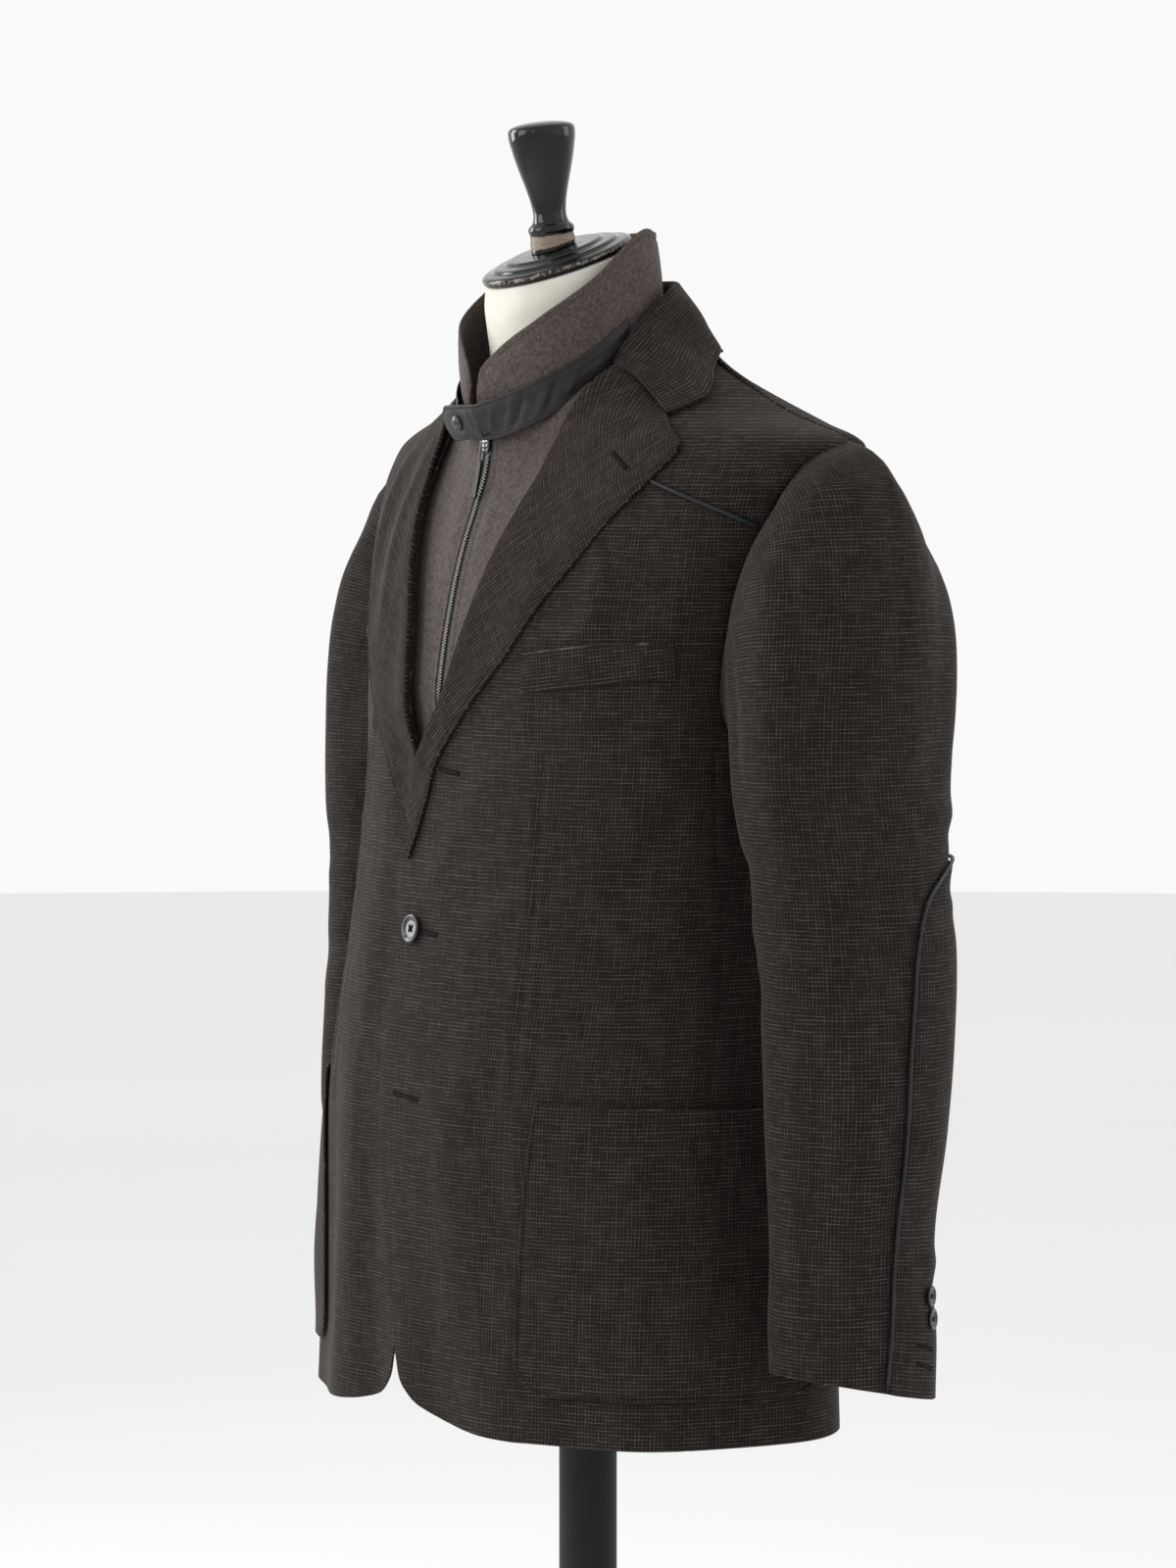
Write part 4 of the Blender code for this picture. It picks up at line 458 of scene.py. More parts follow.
def makeCanvas():
    # ivory plain weave, over and under at 0.7 mm, a little uneven and dusty
    material, tree, shader = newMaterial("ivory canvas", (0.62, 0.60, 0.53), 0.85, Specular_IOR_Level=0.25)
    n = Nodes(tree, shader)
    place = n.place()
    split = n.node("ShaderNodeSeparateXYZ")
    n.feed(place, split.inputs[0])
    across = n.math("ADD", split.outputs[0], split.outputs[1])
    ends = n.math("PINGPONG", n.math("DIVIDE", across, 0.0009), 0.5)
    picks = n.math("PINGPONG", n.math("DIVIDE", split.outputs[2], 0.0007), 0.5)
    dust = n.noise(place, 45.0, 3.0)
    n.colour(n.mix(n.band(dust, 0.3, 0.75), (0.58, 0.56, 0.49), (0.66, 0.645, 0.585)))
    n.bump(n.math("ADD", n.math("ADD", ends, picks), n.noise(place, 900.0, 1.0)), 0.20, 0.0003)
    return material


def makeLacquer():
    # black gloss over turned wood; worn patches near the rims show tan wood
    material, tree, shader = newMaterial("black lacquer", (0.0030, 0.0030, 0.0034), 0.08, Specular_IOR_Level=0.30,
                                         Coat_Weight=0.12, Coat_Roughness=0.04)
    n = Nodes(tree, shader)
    place = n.place()
    wear = n.node("ShaderNodeAttribute", attribute_name="wear").outputs["Fac"]
    chips = n.noise(place, 330.0, 4.0, 0.65)
    worn = n.band(n.math("ADD", n.math("MULTIPLY", wear, 0.42), chips), 0.86, 0.93)
    wood = n.mix(n.noise(n.mapped(place, (1, 1, 6)), 160.0, 3.0), (0.10, 0.075, 0.055), (0.30, 0.24, 0.185))
    n.colour(n.mix(worn, (0.0030, 0.0030, 0.0034), wood))
    smudge = n.noise(place, 28.0, 2.0)
    n.feed(n.math("ADD", n.band(smudge, 0.3, 0.8, 0.05, 0.15), n.math("MULTIPLY", worn, 0.5)),
           shader.inputs["Roughness"])
    n.bump(n.math("SUBTRACT", n.math("MULTIPLY", n.noise(place, 60.0), 0.12), worn), 0.25, 0.0004)
    return material


def makePaint():
    # powder-coated steel: flat black with a fine orange peel
    material, tree, shader = newMaterial("black powder coat", (0.006, 0.006, 0.006), 0.55, Specular_IOR_Level=0.2)
    n = Nodes(tree, shader)
    peel = n.noise(n.place(), 700.0, 2.0)
    n.colour(n.mix(n.noise(n.place(), 25.0, 3.0), (0.004, 0.004, 0.004), (0.009, 0.009, 0.0095)))
    n.bump(peel, 0.15, 0.0002)
    return material


def makeMetal(name, dark, light, roughness):
    # plated metal, slightly rubbed
    material, tree, shader = newMaterial(name, light, roughness, Metallic=1.0)
    n = Nodes(tree, shader)
    rub = n.noise(n.place(), 500.0, 3.0)
    n.colour(n.mix(n.band(rub, 0.3, 0.7), dark, light))
    n.feed(n.band(rub, 0.3, 0.7, roughness - 0.06, roughness + 0.08), shader.inputs["Roughness"])
    return material


def makeThread(name, dark, light, scale=2600.0):
    # twisted sewing thread: diagonal plies as fine light and dark bands
    material, tree, shader = newMaterial(name, dark, 0.85, Sheen_Weight=0.02, Specular_IOR_Level=0.1)
    n = Nodes(tree, shader)
    n.colour(n.mix(n.noise(n.mapped(n.place(), (1, 1, 1.7)), scale, 2.0), dark, light))
    n.bump(n.noise(n.place(), scale, 1.0), 0.3, 0.0001)
    return material


def makeTape():
    # woven tape: a tight rib across its length
    material, tree, shader = newMaterial("woven zip tape", (0.012, 0.011, 0.012), 0.85, Sheen_Weight=0.2)
    n = Nodes(tree, shader)
    split = n.node("ShaderNodeSeparateXYZ")
    n.feed(n.place(), split.inputs[0])
    rib = n.math("PINGPONG", n.math("DIVIDE", split.outputs[2], 0.0008), 0.5)
    n.colour(n.mix(n.band(rib, 0.1, 0.4), (0.007, 0.0065, 0.007), (0.024, 0.022, 0.023)))
    n.bump(rib, 0.4, 0.0002)
    return material


moleskin = makeMoleskin()
felt = makeFelt()
strapLeather = makeLeather("charcoal strap leather", (0.0125, 0.0108, 0.0118), (0.022, 0.0195, 0.021), 0.50)
pipingLeather = makeLeather("piping leather", (0.0095, 0.0098, 0.0118), (0.020, 0.0205, 0.0245), 0.42)
horn = makeHorn()
canvas = makeCanvas()
lacquer = makeLacquer()
powderCoat = makePaint()
pullMetal = makeMetal("dark gunmetal", (0.008, 0.008, 0.0085), (0.020, 0.020, 0.021), 0.40)
teethMetal = makeMetal("zip teeth", (0.022, 0.0215, 0.021), (0.085, 0.083, 0.081), 0.34)
wireMetal = makeMetal("polished wire", (0.07, 0.07, 0.072), (0.17, 0.17, 0.175), 0.24)
tapeCloth = makeTape()
brownThread = makeThread("brown sewing thread", (0.0042, 0.0034, 0.0032), (0.0125, 0.0100, 0.0090))
feltThread = makeThread("felt topstitch thread", (0.030, 0.024, 0.021), (0.075, 0.060, 0.053))
strapThread = makeThread("strap thread", (0.008, 0.007, 0.0075), (0.028, 0.025, 0.027))
print("stage: materials made")


# ---- the body surface that the jacket's panels lie on
torsoRows = makeTable(
    "z      half   front   back   middle frontPower backPower",
    (0.700, 0.227, -0.159, 0.126, 0.010, 2.30, 2.2),
    (0.760, 0.224, -0.158, 0.126, 0.010, 2.30, 2.2),
    (0.860, 0.215, -0.158, 0.127, 0.010, 2.30, 2.2),
    (0.953, 0.204, -0.1575, 0.122, 0.011, 2.30, 2.2),
    (1.060, 0.189, -0.1415, 0.114, 0.012, 2.35, 2.2),
    (1.168, 0.186, -0.1270, 0.123, 0.015, 2.40, 2.2),
    (1.220, 0.189, -0.1245, 0.132, 0.018, 2.40, 2.2),
    (1.270, 0.196, -0.1165, 0.136, 0.021, 2.40, 2.2),
    (1.310, 0.207, -0.1065, 0.134, 0.026, 2.35, 2.2),
    (1.345, 0.224, -0.0935, 0.127, 0.034, 2.30, 2.1),
    (1.370, 0.236, -0.0810, 0.116, 0.043, 2.20, 2.0),
    (1.3865, 0.235, -0.0730, 0.107, 0.048, 2.10, 2.0),
    (1.4065, 0.166, -0.0690, 0.095, 0.049, 2.10, 2.0),
    (1.4230, 0.124, -0.0660, 0.086, 0.049, 2.00, 2.0),
    (1.4400, 0.088, -0.0610, 0.076, 0.048, 2.00, 2.0),
    (1.4520, 0.074, -0.0560, 0.067, 0.047, 2.00, 2.0),
    (1.4650, 0.068, -0.0500, 0.062, 0.046, 2.00, 2.0),
)


def torsoColumn(name, z):
    return column(torsoRows, "z", name, z)


def torsoRaw(turn, z):
    # superellipse section at each height: (|sin|/half)^p + (|cos|/depth)^p = 1, turn 0 in front
    turn, z = np.broadcast_arrays(np.asarray(turn, float), np.asarray(z, float))
    half, middle = torsoColumn("half", z), torsoColumn("middle", z)
    ahead = np.cos(turn) > 0
    depth = np.where(ahead, middle - torsoColumn("front", z), torsoColumn("back", z) - middle)
    power = np.where(ahead, torsoColumn("frontPower", z), torsoColumn("backPower", z))
    share = (np.abs(np.sin(turn)) / half) ** power + (np.abs(np.cos(turn)) / depth) ** power
    reach = share ** (-1 / power)
    return np.stack([reach * np.sin(turn), middle - reach * np.cos(turn), z], -1)


def torsoNormal(turn, z):
    step = 1e-4
    along = torsoRaw(turn + step, z) - torsoRaw(turn - step, z)
    up = torsoRaw(turn, z + step) - torsoRaw(turn, z - step)
    return unit(np.cross(along, up))


def torso(turn, z, lift=0.0):
    # the body surface moved out along its normal by lift
    turn, z = np.broadcast_arrays(np.asarray(turn, float), np.asarray(z, float))
    lift = np.broadcast_to(np.asarray(lift, float), turn.shape)
    return torsoRaw(turn, z) + torsoNormal(turn, z) * lift[..., None]


def frontTurn(x, z):
    # turn of the front half's point at width x
    x, z = np.broadcast_arrays(np.asarray(x, float), np.asarray(z, float))
    power = torsoColumn("frontPower", z)
    depth = torsoColumn("middle", z) - torsoColumn("front", z)
    share = np.clip(1 - (np.abs(x) / torsoColumn("half", z)) ** power, 0, 1)
    return np.arctan2(x, depth * share ** (1 / power))


def depthTurn(y, z):
    # turn of the left side's point at depth y
    y, z = np.broadcast_arrays(np.asarray(y, float), np.asarray(z, float))
    middle = torsoColumn("middle", z)
    ahead = y < middle
    depth = np.where(ahead, middle - torsoColumn("front", z), torsoColumn("back", z) - middle)
    power = np.where(ahead, torsoColumn("frontPower", z), torsoColumn("backPower", z))
    share = np.clip(1 - (np.abs(y - middle) / depth) ** power, 0, 1)
    return np.arctan2(torsoColumn("half", z) * share ** (1 / power), middle - y)


def torsoUv(turn, z):
    # arc length from the centre front, and height, both in metres: the cloth's own grain
    shares = (np.arange(24) + 0.5) / 24
    steps = turn[..., None] * shares
    heights = np.broadcast_to(z[..., None], steps.shape)
    small = 1e-3
    piece = np.linalg.norm(torsoRaw(steps + small, heights) - torsoRaw(steps - small, heights), axis=-1) / (2 * small)
    return np.stack([piece.mean(-1) * turn, z * 1.02 + 0.0 * turn], -1)


armholeRows = makeTable(
    "around y      z",
    (0.00, 0.0480, 1.3865), (0.06, 0.0200, 1.3765), (0.11, 0.0050, 1.3600), (0.17, -0.0050, 1.3290),
    (0.24, -0.0145, 1.2870), (0.31, -0.0210, 1.2435), (0.36, -0.0205, 1.2150), (0.42, -0.0110, 1.1920),
    (0.50, 0.0200, 1.1780), (0.58, 0.0520, 1.1900), (0.65, 0.0700, 1.2220), (0.72, 0.0780, 1.2620),
    (0.80, 0.0800, 1.3040), (0.88, 0.0760, 1.3430), (0.94, 0.0660, 1.3700), (1.00, 0.0480, 1.3865),
)


def armhole(around):
    # armhole seam as (turn, z): share 0 at the shoulder, 0.5 underarm, 1 at the shoulder again
    y = column(armholeRows, "around", "y", around)
    z = column(armholeRows, "around", "z", around)
    return np.stack([depthTurn(y, z), z], -1)


upperRoll = ((1.306, 0.0490), (1.341, 0.0620), (1.368, 0.0700), (1.390, 0.0730), (1.410, 0.0745),
             (1.432, 0.0745), (1.4485, 0.0745))
rollRows = {
    1: makeTable("z x", (1.168, -0.018), (1.190, -0.001), (1.2135, 0.0165), (1.256, 0.0320), *upperRoll),
    -1: makeTable("z x", (1.100, -0.018), (1.130, -0.001), (1.1586, 0.0125), (1.172, 0.0190), (1.187, 0.0240),
                  (1.2135, 0.0270), (1.256, 0.0330), *upperRoll),
}
edgeRows = makeTable(
    "z       x",
    (0.7305, 0.118), (0.7320, 0.090), (0.7350, 0.062), (0.7410, 0.036), (0.7520, 0.017), (0.7730, 0.006),
    (0.8100, -0.002), (0.8640, -0.012), (0.9200, -0.017), (0.9900, -0.018), (1.0600, -0.018),
    (1.1150, -0.018), (1.1680, -0.018),
)
sideSeamRows = makeTable("z turn", (0.730, 70.5), (0.86, 72.5), (0.953, 76.0), (1.06, 81.0), (1.13, 79.0),
                         (1.192, 78.0))
backSeamRows = makeTable("z turn", (0.730, 117.0), (0.953, 116.5), (1.06, 116.0), (1.13, 113.5), (1.190, 109.0))


def rollX(z, side):
    return column(rollRows[side], "z", "x", z)


def frontLift(turn, z, side):
    # swell at the soft roll, the right front ducking under, and the hang of the skirt
    x = torsoRaw(turn, z)[..., 0]
    away = np.clip(x * side - rollX(z, side), 0, None)
    lift = 0.0030 * np.clip((z - 1.150) / 0.05, 0, 1) * np.clip((1.400 - z) / 0.08, 0, 1)
    lift = lift * np.exp(-(away / 0.022) ** 2)
    if side < 0:
        under = ramp(0.060 - np.abs(x), 0.0, 0.030)
        below = np.clip((1.150 - z) / 0.06, 0, 1)
        lift = lift - 0.0042 * under * np.maximum(below, np.clip((1.210 - z) / 0.03, 0, 1))
    hang = np.clip((0.93 - z) / 0.20, 0, 1)
    return lift + 0.0030 * hang * np.cos(12.0 * np.abs(turn) - 0.6 * side)


def backLift(turn, z):
    hang = np.clip((1.05 - z) / 0.30, 0, 1)
    return 0.0035 * hang * np.cos(9.0 * (turn - math.pi)) - 0.0035 * hang


def bodyLift(turn, z, side):
    # the front's lift passing to the back's under the arm
    share = np.clip((np.abs(turn) - math.radians(70)) / math.radians(40), 0, 1)
    return frontLift(turn, z, side) * (1 - share) + backLift(np.abs(turn), z) * share


# ---- creases of the jacket's body: start, middle, end, half width, height.
# They are laid on (width, depth, height) of the wearer's left and mirrored, with a little change.
def onFront(x, z):
    return torso(frontTurn(x, z), z)


def onSide(turn, z):
    return torso(math.radians(turn), z)


bodyCreases = [
    # soft drag lines from the armhole's foot towards the breast and the waist
    (onSide(66, 1.215), onSide(58, 1.190), onSide(46, 1.186), 0.010, -0.0030),
    (onSide(72, 1.180), onSide(62, 1.140), onSide(48, 1.125), 0.013, 0.0026),
    (onSide(74, 1.160), onSide(66, 1.110), onSide(56, 1.085), 0.012, -0.0030),
    (onSide(60, 1.330), onSide(58, 1.290), onSide(62, 1.240), 0.012, -0.0036),
    (onSide(52, 1.335), onSide(50, 1.290), onSide(53, 1.235), 0.011, 0.0022),
    # puckers over and under the breast pocket
    (onFront(0.150, 1.275), onFront(0.136, 1.268), onFront(0.118, 1.256), 0.006, 0.0020),
    (onFront(0.178, 1.262), onFront(0.170, 1.256), onFront(0.160, 1.250), 0.005, -0.0014),
    (onFront(0.092, 1.216), onFront(0.094, 1.206), onFront(0.100, 1.196), 0.005, 0.0018),
    (onFront(0.085, 1.250), onFront(0.080, 1.235), onFront(0.080, 1.220), 0.006, -0.0014),
    # pull from the button to the side at the waist
    (onFront(0.010, 1.064), onFront(0.050, 1.075), onFront(0.100, 1.098), 0.011, -0.0018),
    (onFront(0.012, 1.054), onFront(0.045, 1.046), onFront(0.090, 1.046), 0.012, 0.0016),
    (onFront(0.008, 1.082), onFront(0.025, 1.110), onFront(0.060, 1.145), 0.012, 0.0020),
    # long hanging folds of the skirt
    (onFront(0.060, 0.985), onFront(0.064, 0.870), onFront(0.072, 0.745), 0.020, 0.0022),
    (onFront(0.100, 1.010), onFront(0.098, 0.900), onFront(0.104, 0.760), 0.016, -0.0020),
    (onSide(84, 1.120), onSide(83, 1.000), onSide(82, 0.780), 0.018, -0.0040),
    (onSide(97, 1.090), onSide(99, 0.940), onSide(101, 0.760), 0.020, 0.0035),
    (onSide(90, 1.150), onSide(91, 1.080), onSide(88, 1.000), 0.014, 0.0030),
    # under the arm, short folds that meet the sleeve
    (onSide(84, 1.170), onSide(90, 1.150), onSide(98, 1.160), 0.009, -0.0030),
    (onSide(80, 1.130), onSide(88, 1.110), onSide(99, 1.118), 0.011, -0.0026),
    # the back: blades, waist and skirt
    (onSide(118, 1.300), onSide(121, 1.230), onSide(126, 1.150), 0.017, 0.0034),
    (onSide(128, 1.330), onSide(132, 1.260), onSide(138, 1.190), 0.015, -0.0028),
    (onSide(112, 1.190), onSide(120, 1.120), onSide(133, 1.070), 0.014, -0.0030),
    (onSide(118, 1.110), onSide(130, 1.070), onSide(150, 1.050), 0.013, 0.0024),
    (onSide(132, 1.100), onSide(148, 1.080), onSide(166, 1.082), 0.012, -0.0022),
    (onSide(140, 1.020), onSide(142, 0.900), onSide(145, 0.760), 0.022, 0.0034),
    (onSide(160, 1.000), onSide(159, 0.880), onSide(157, 0.750), 0.018, -0.0030),
    (onSide(150, 1.395), onSide(160, 1.388), onSide(172, 1.390), 0.008, -0.0016),
]


def creasesFor(side, creases, stretch=1.0):
    # the right side's creases sit a little lower and are a little wider
    across = np.array([side, 1.0, 1.0])
    shift = np.array([0.0, 0.0, 0.0 if side > 0 else -0.009])
    wider = 1.0 if side > 0 else 1.12
    return [(a * across + shift, b * across + shift * 1.5, c * across + shift * 0.6, width * wider,
             height * stretch) for a, b, c, width, height in creases]


def dartLift(points, side):
    # the waist dart from under the breast pocket to the patch pocket, and the seam over it
    run = [(0.1080, 1.178), (0.1095, 1.110), (0.1105, 1.050), (0.1120, 0.990), (0.1135, 0.950)]
    line = curveThrough([onFront(x, z) for x, z in run], np.linspace(0, 1, 40)) * np.array([side, 1, 1])
    gap = np.full(points.shape[:-1], 9.0)
    for a, b in zip(line[:-1], line[1:]):
        step = b - a
        t = np.clip(((points - a) @ step) / (step @ step), 0, 1)
        gap = np.minimum(gap, np.linalg.norm(points - a - t[..., None] * step, axis=-1))
    return -0.0016 * np.exp(-(gap / 0.0019) ** 2) + 0.0009 * np.exp(-((gap - 0.0060) / 0.0040) ** 2)


def bodyPanel(name, turnZ, side, seams, extra=None, thickness=sizes["cloth"]):
    # one panel: body surface plus its layer's lift, creases, and a dip along its seams
    turn, z = turnZ[..., 0] * side, turnZ[..., 1]
    flat = torso(turn, z)
    lift = bodyLift(turn, z, side)
    creased = creaseLift(flat, creasesFor(side, bodyCreases))
    hold = ramp(torsoRaw(turn, z)[..., 0] * side - rollX(np.clip(z, 1.10, 1.44), side), -0.012, 0.014)
    hold = np.where(z > 1.11, hold, ramp(np.abs(turn), 0.02, 0.12) if side < 0 else 1.0)
    high = 1 - ramp(z, 1.335, 1.365)
    lift = lift + np.clip(creased, -0.0055, 0.0055) * hold * np.maximum(high, 0.25)
    if extra is not None:
        lift = lift + extra(flat)
    edge = edgeDistance(flat, seams) if seams else np.full(lift.shape, 1.0)
    lift = lift - sizes["seamDip"] * np.exp(-(edge / sizes["seamWidth"]) ** 2)
    outer = torso(turn, z, lift)
    inner = torso(turn, z, lift - thickness)
    nodes = (name,)
    return shellPiece("cloth_" + name, outer, inner, torsoUv(turn, z), moleskin, nodes, "moleskin")


def shares(count, length, crowd=True):
    return edgeSpacing(count, length) if crowd else np.linspace(0, 1, count)


seamZ = np.linspace(sizes["hem"], 1.192, 60)
sideSeam = np.stack([np.radians(column(sideSeamRows, "z", "turn", seamZ)), seamZ], -1)
sideSeam[-1] = armhole(0.42)
backSeamZ = np.linspace(sizes["hem"], 1.190, 60)
backSeam = np.stack([np.radians(column(backSeamRows, "z", "turn", backSeamZ)), backSeamZ], -1)
backSeam[-1] = armhole(0.58)
yokeNeckZ = 1.396


def rollPoints(low, high, count, side):
    z = np.linspace(low, high, count)
    return np.stack([frontTurn(rollX(z, side), z), z], -1)


def frontPanel(side):
    breakZ = rollRows[side]["z"][0]
    edgeZ = np.concatenate([[0.7305, 0.7309, 0.7320, 0.7335], np.linspace(0.736, 0.775, 12),
                            np.linspace(0.785, breakZ - 0.03, 22)])
    edgeX = np.interp(edgeZ, edgeRows["z"], edgeRows["x"])
    edgeX = np.where(edgeZ > 0.733, column(edgeRows, "z", "x", edgeZ), edgeX)
    edge = np.stack([frontTurn(edgeX, edgeZ), edgeZ], -1)
    left = np.concatenate([edge, rollPoints(breakZ, yokeNeckZ, 40, side)])
    right = np.concatenate([sideSeam, armhole(np.linspace(0.42, 0.17, 40))[1:]])
    rowShares = shares(148, 0.66)
    colShares = shares(64, 0.26)
    # both edges are read at shares of their own length, so the hem's corner keeps its curve
    leftLine = curveThrough(left * np.array([0.15, 1]), rowShares, False) / np.array([0.15, 1])
    rightLine = curveThrough(right * np.array([0.15, 1]), rowShares, False) / np.array([0.15, 1])
    bottom = left[0] * (1 - colShares[:, None]) + right[0] * colShares[:, None]
    top = left[-1] * (1 - colShares[:, None]) + right[-1] * colShares[:, None]
    grid = coonsGrid(leftLine, rightLine, bottom, top, rowShares, colShares)
    return bodyPanel("front_" + ("left" if side > 0 else "right"), grid, side, "right top",
                     lambda points: dartLift(points, side))


def yokePanel(side):
    rowShares = shares(16, 0.05)
    colShares = shares(60, 0.17)
    left = rollPoints(yokeNeckZ, 1.4485, 30, 1)
    left[:, 0] += (math.pi / 2 - left[-1, 0]) * np.linspace(0, 1, 30) ** 6
    right = armhole(np.linspace(0.17, 0.0, 30))
    right[:, 0] += (math.pi / 2 - right[-1, 0]) * np.linspace(0, 1, 30) ** 6
    leftLine = curveThrough(left, rowShares, False)
    rightLine = curveThrough(right, rowShares, False)
    bottom = left[0] * (1 - colShares[:, None]) + right[0] * colShares[:, None]
    top = left[-1] * (1 - colShares[:, None]) + right[-1] * colShares[:, None]
    grid = coonsGrid(leftLine, rightLine, bottom, top, rowShares, colShares)
    return bodyPanel("front_yoke_" + ("left" if side > 0 else "right"), grid, side, "right bottom top")


def sidePanel(side):
    rowShares = shares(106, 0.45)
    colShares = shares(34, 0.15)
    bottom = sideSeam[0] * (1 - colShares[:, None]) + backSeam[0] * colShares[:, None]
    top = armhole(0.42 + 0.16 * colShares)
    grid = coonsGrid(curveThrough(sideSeam, rowShares, False), curveThrough(backSeam, rowShares, False),
                     bottom, top, rowShares, colShares)
    return bodyPanel("side_panel_" + ("left" if side > 0 else "right"), grid, side, "left right top")


def backPanel(side):
    rowShares = shares(142, 0.68)
    colShares = shares(48, 0.19)
    arm = armhole(np.linspace(0.58, 1.0, 50))[1:]
    left = np.concatenate([backSeam, arm])
    left[:, 0] += (math.pi / 2 - left[-1, 0]) * np.linspace(0, 1, len(left)) ** 30
    centreZ = np.linspace(sizes["hem"], 1.4525, 60)
    right = np.stack([np.full(60, math.pi), centreZ], -1)
    bottom = left[0] * (1 - colShares[:, None]) + right[0] * colShares[:, None]
    shoulder = np.stack([np.full(30, math.pi / 2), np.linspace(1.3865, 1.4485, 30)], -1)
    neck = np.stack([np.linspace(math.pi / 2, math.pi, 30)[1:], np.linspace(1.4485, 1.4525, 30)[1:]], -1)
    top = curveThrough(np.concatenate([shoulder, neck]), colShares, False)
    leftLine = curveThrough(left, rowShares, False)
    rightLine = curveThrough(right, rowShares, False)
    grid = coonsGrid(leftLine, rightLine, bottom, top, rowShares, colShares)
    return bodyPanel("back_" + ("left" if side > 0 else "right"), grid, side, "left right top")


panels = {}
for side in (1, -1):
    panels["front", side] = frontPanel(side)
    panels["yoke", side] = yokePanel(side)
    panels["side", side] = sidePanel(side)
    panels["back", side] = backPanel(side)
print("stage: body panels made")


# ---- sleeves
sleeveRows = makeTable(
    "z      x       y       halfX   halfY",
    (0.740, 0.2785, 0.0170, 0.0420, 0.0575), (0.776, 0.2785, 0.0170, 0.0420, 0.0575),
    (0.815, 0.2788, 0.0165, 0.0430, 0.0580), (0.845, 0.2800, 0.0150, 0.0425, 0.0560),
    (0.880, 0.2800, 0.0150, 0.0440, 0.0565), (0.940, 0.2772, 0.0205, 0.0480, 0.0625),
    (1.000, 0.2720, 0.0260, 0.0500, 0.0665), (1.060, 0.2660, 0.0285, 0.0515, 0.0690),
    (1.095, 0.2620, 0.0265, 0.0525, 0.0680), (1.120, 0.2580, 0.0280, 0.0540, 0.0735),
    (1.160, 0.2510, 0.0290, 0.0550, 0.0790),
)
sleeveFacts = {"bicepsZ": 1.150, "cuffZ": 0.776, "slant": 0.012, "foreSeam": 0.36, "hindSeam": 0.80}


def sleeveRaw(around, z):
    # ellipse at each height, 0 outermost and 0.25 in front; the cuff slopes down to the back
    around, z = np.broadcast_arrays(np.asarray(around, float), np.asarray(z, float))
    angle = -2 * math.pi * around
    cuff = sleeveFacts["cuffZ"]
    slant = np.clip((0.95 - z) / (0.95 - cuff), 0, 1) * sleeveFacts["slant"]
    x = column(sleeveRows, "z", "x", z) + column(sleeveRows, "z", "halfX", z) * np.cos(angle)
    y = column(sleeveRows, "z", "y", z) + column(sleeveRows, "z", "halfY", z) * np.sin(angle)
    return np.stack([x, y, z - slant * np.sin(angle)], -1)


def sleeveSurface(around, z, lift=0.0):
    around, z = np.broadcast_arrays(np.asarray(around, float), np.asarray(z, float))
    step = 1e-4
    along = sleeveRaw(around - step, z) - sleeveRaw(around + step, z)
    up = sleeveRaw(around, z + step) - sleeveRaw(around, z - step)
    lift = np.broadcast_to(np.asarray(lift, float), around.shape)
    return sleeveRaw(around, z) + unit(np.cross(along, up)) * lift[..., None]


headRows = makeTable(
    "around share",
    (-0.50, 0.00), (-0.38, 0.00), (-0.30, 0.30), (-0.22, 0.85), (-0.16, 1.00), (-0.08, 0.82), (0.00, 0.66),
    (0.06, 0.72), (0.13, 0.94), (0.16, 1.00), (0.22, 0.62), (0.30, 0.14), (0.38, 0.00), (0.50, 0.00),
)
headFacts = {"push": 0.043, "rise": 0.007, "shoulder": 0.010}


def headShift(around, u):
    # fullness of the sleeve head, outwards and up, at share u of its way down
    angle = -2 * math.pi * around
    place = (around + 0.5) % 1.0 - 0.5
    push = column(headRows, "around", "share", place) * headFacts["push"]
    push = push * u * (1 - u)**2.1 / 0.1423
    rise = np.clip(np.cos(angle), 0, 1)**2 * headFacts["rise"] * u * (1 - u)**3 / 0.1055
    shoulder = np.exp(-((place - 0.075) / 0.055)**2) * np.exp(-((u - 0.14) / 0.10)**2) * np.minimum(u / 0.05, 1)
    push = push + headFacts["shoulder"] * shoulder
    rise = rise + headFacts["shoulder"] * 0.15 * shoulder
    # it fills mostly before and behind the arm, less to its outside
    across, deep = np.cos(angle) * 0.75, np.sin(angle)
    size = np.hypot(across, deep)
    return np.stack([across / size * push, deep / size * push, rise], -1)


def awayFromSeam(around):
    # direction along the body's surface, square to the armhole, and away from the neck
    seam = armhole(np.mod(around, 1.0))
    start = torso(seam[..., 0], seam[..., 1])
    normal = torsoNormal(seam[..., 0], seam[..., 1])
    before = torso(*np.moveaxis(armhole(np.mod(around - 0.02, 1.0)), -1, 0))
    after = torso(*np.moveaxis(armhole(np.mod(around + 0.02, 1.0)), -1, 0))
    away = unit(np.cross(normal, after - before))
    centre = torso(*armhole(np.linspace(0, 0.98, 30)).T).mean(0)
    return away * np.sign(np.sum(away * (centre - start), -1, keepdims=True))


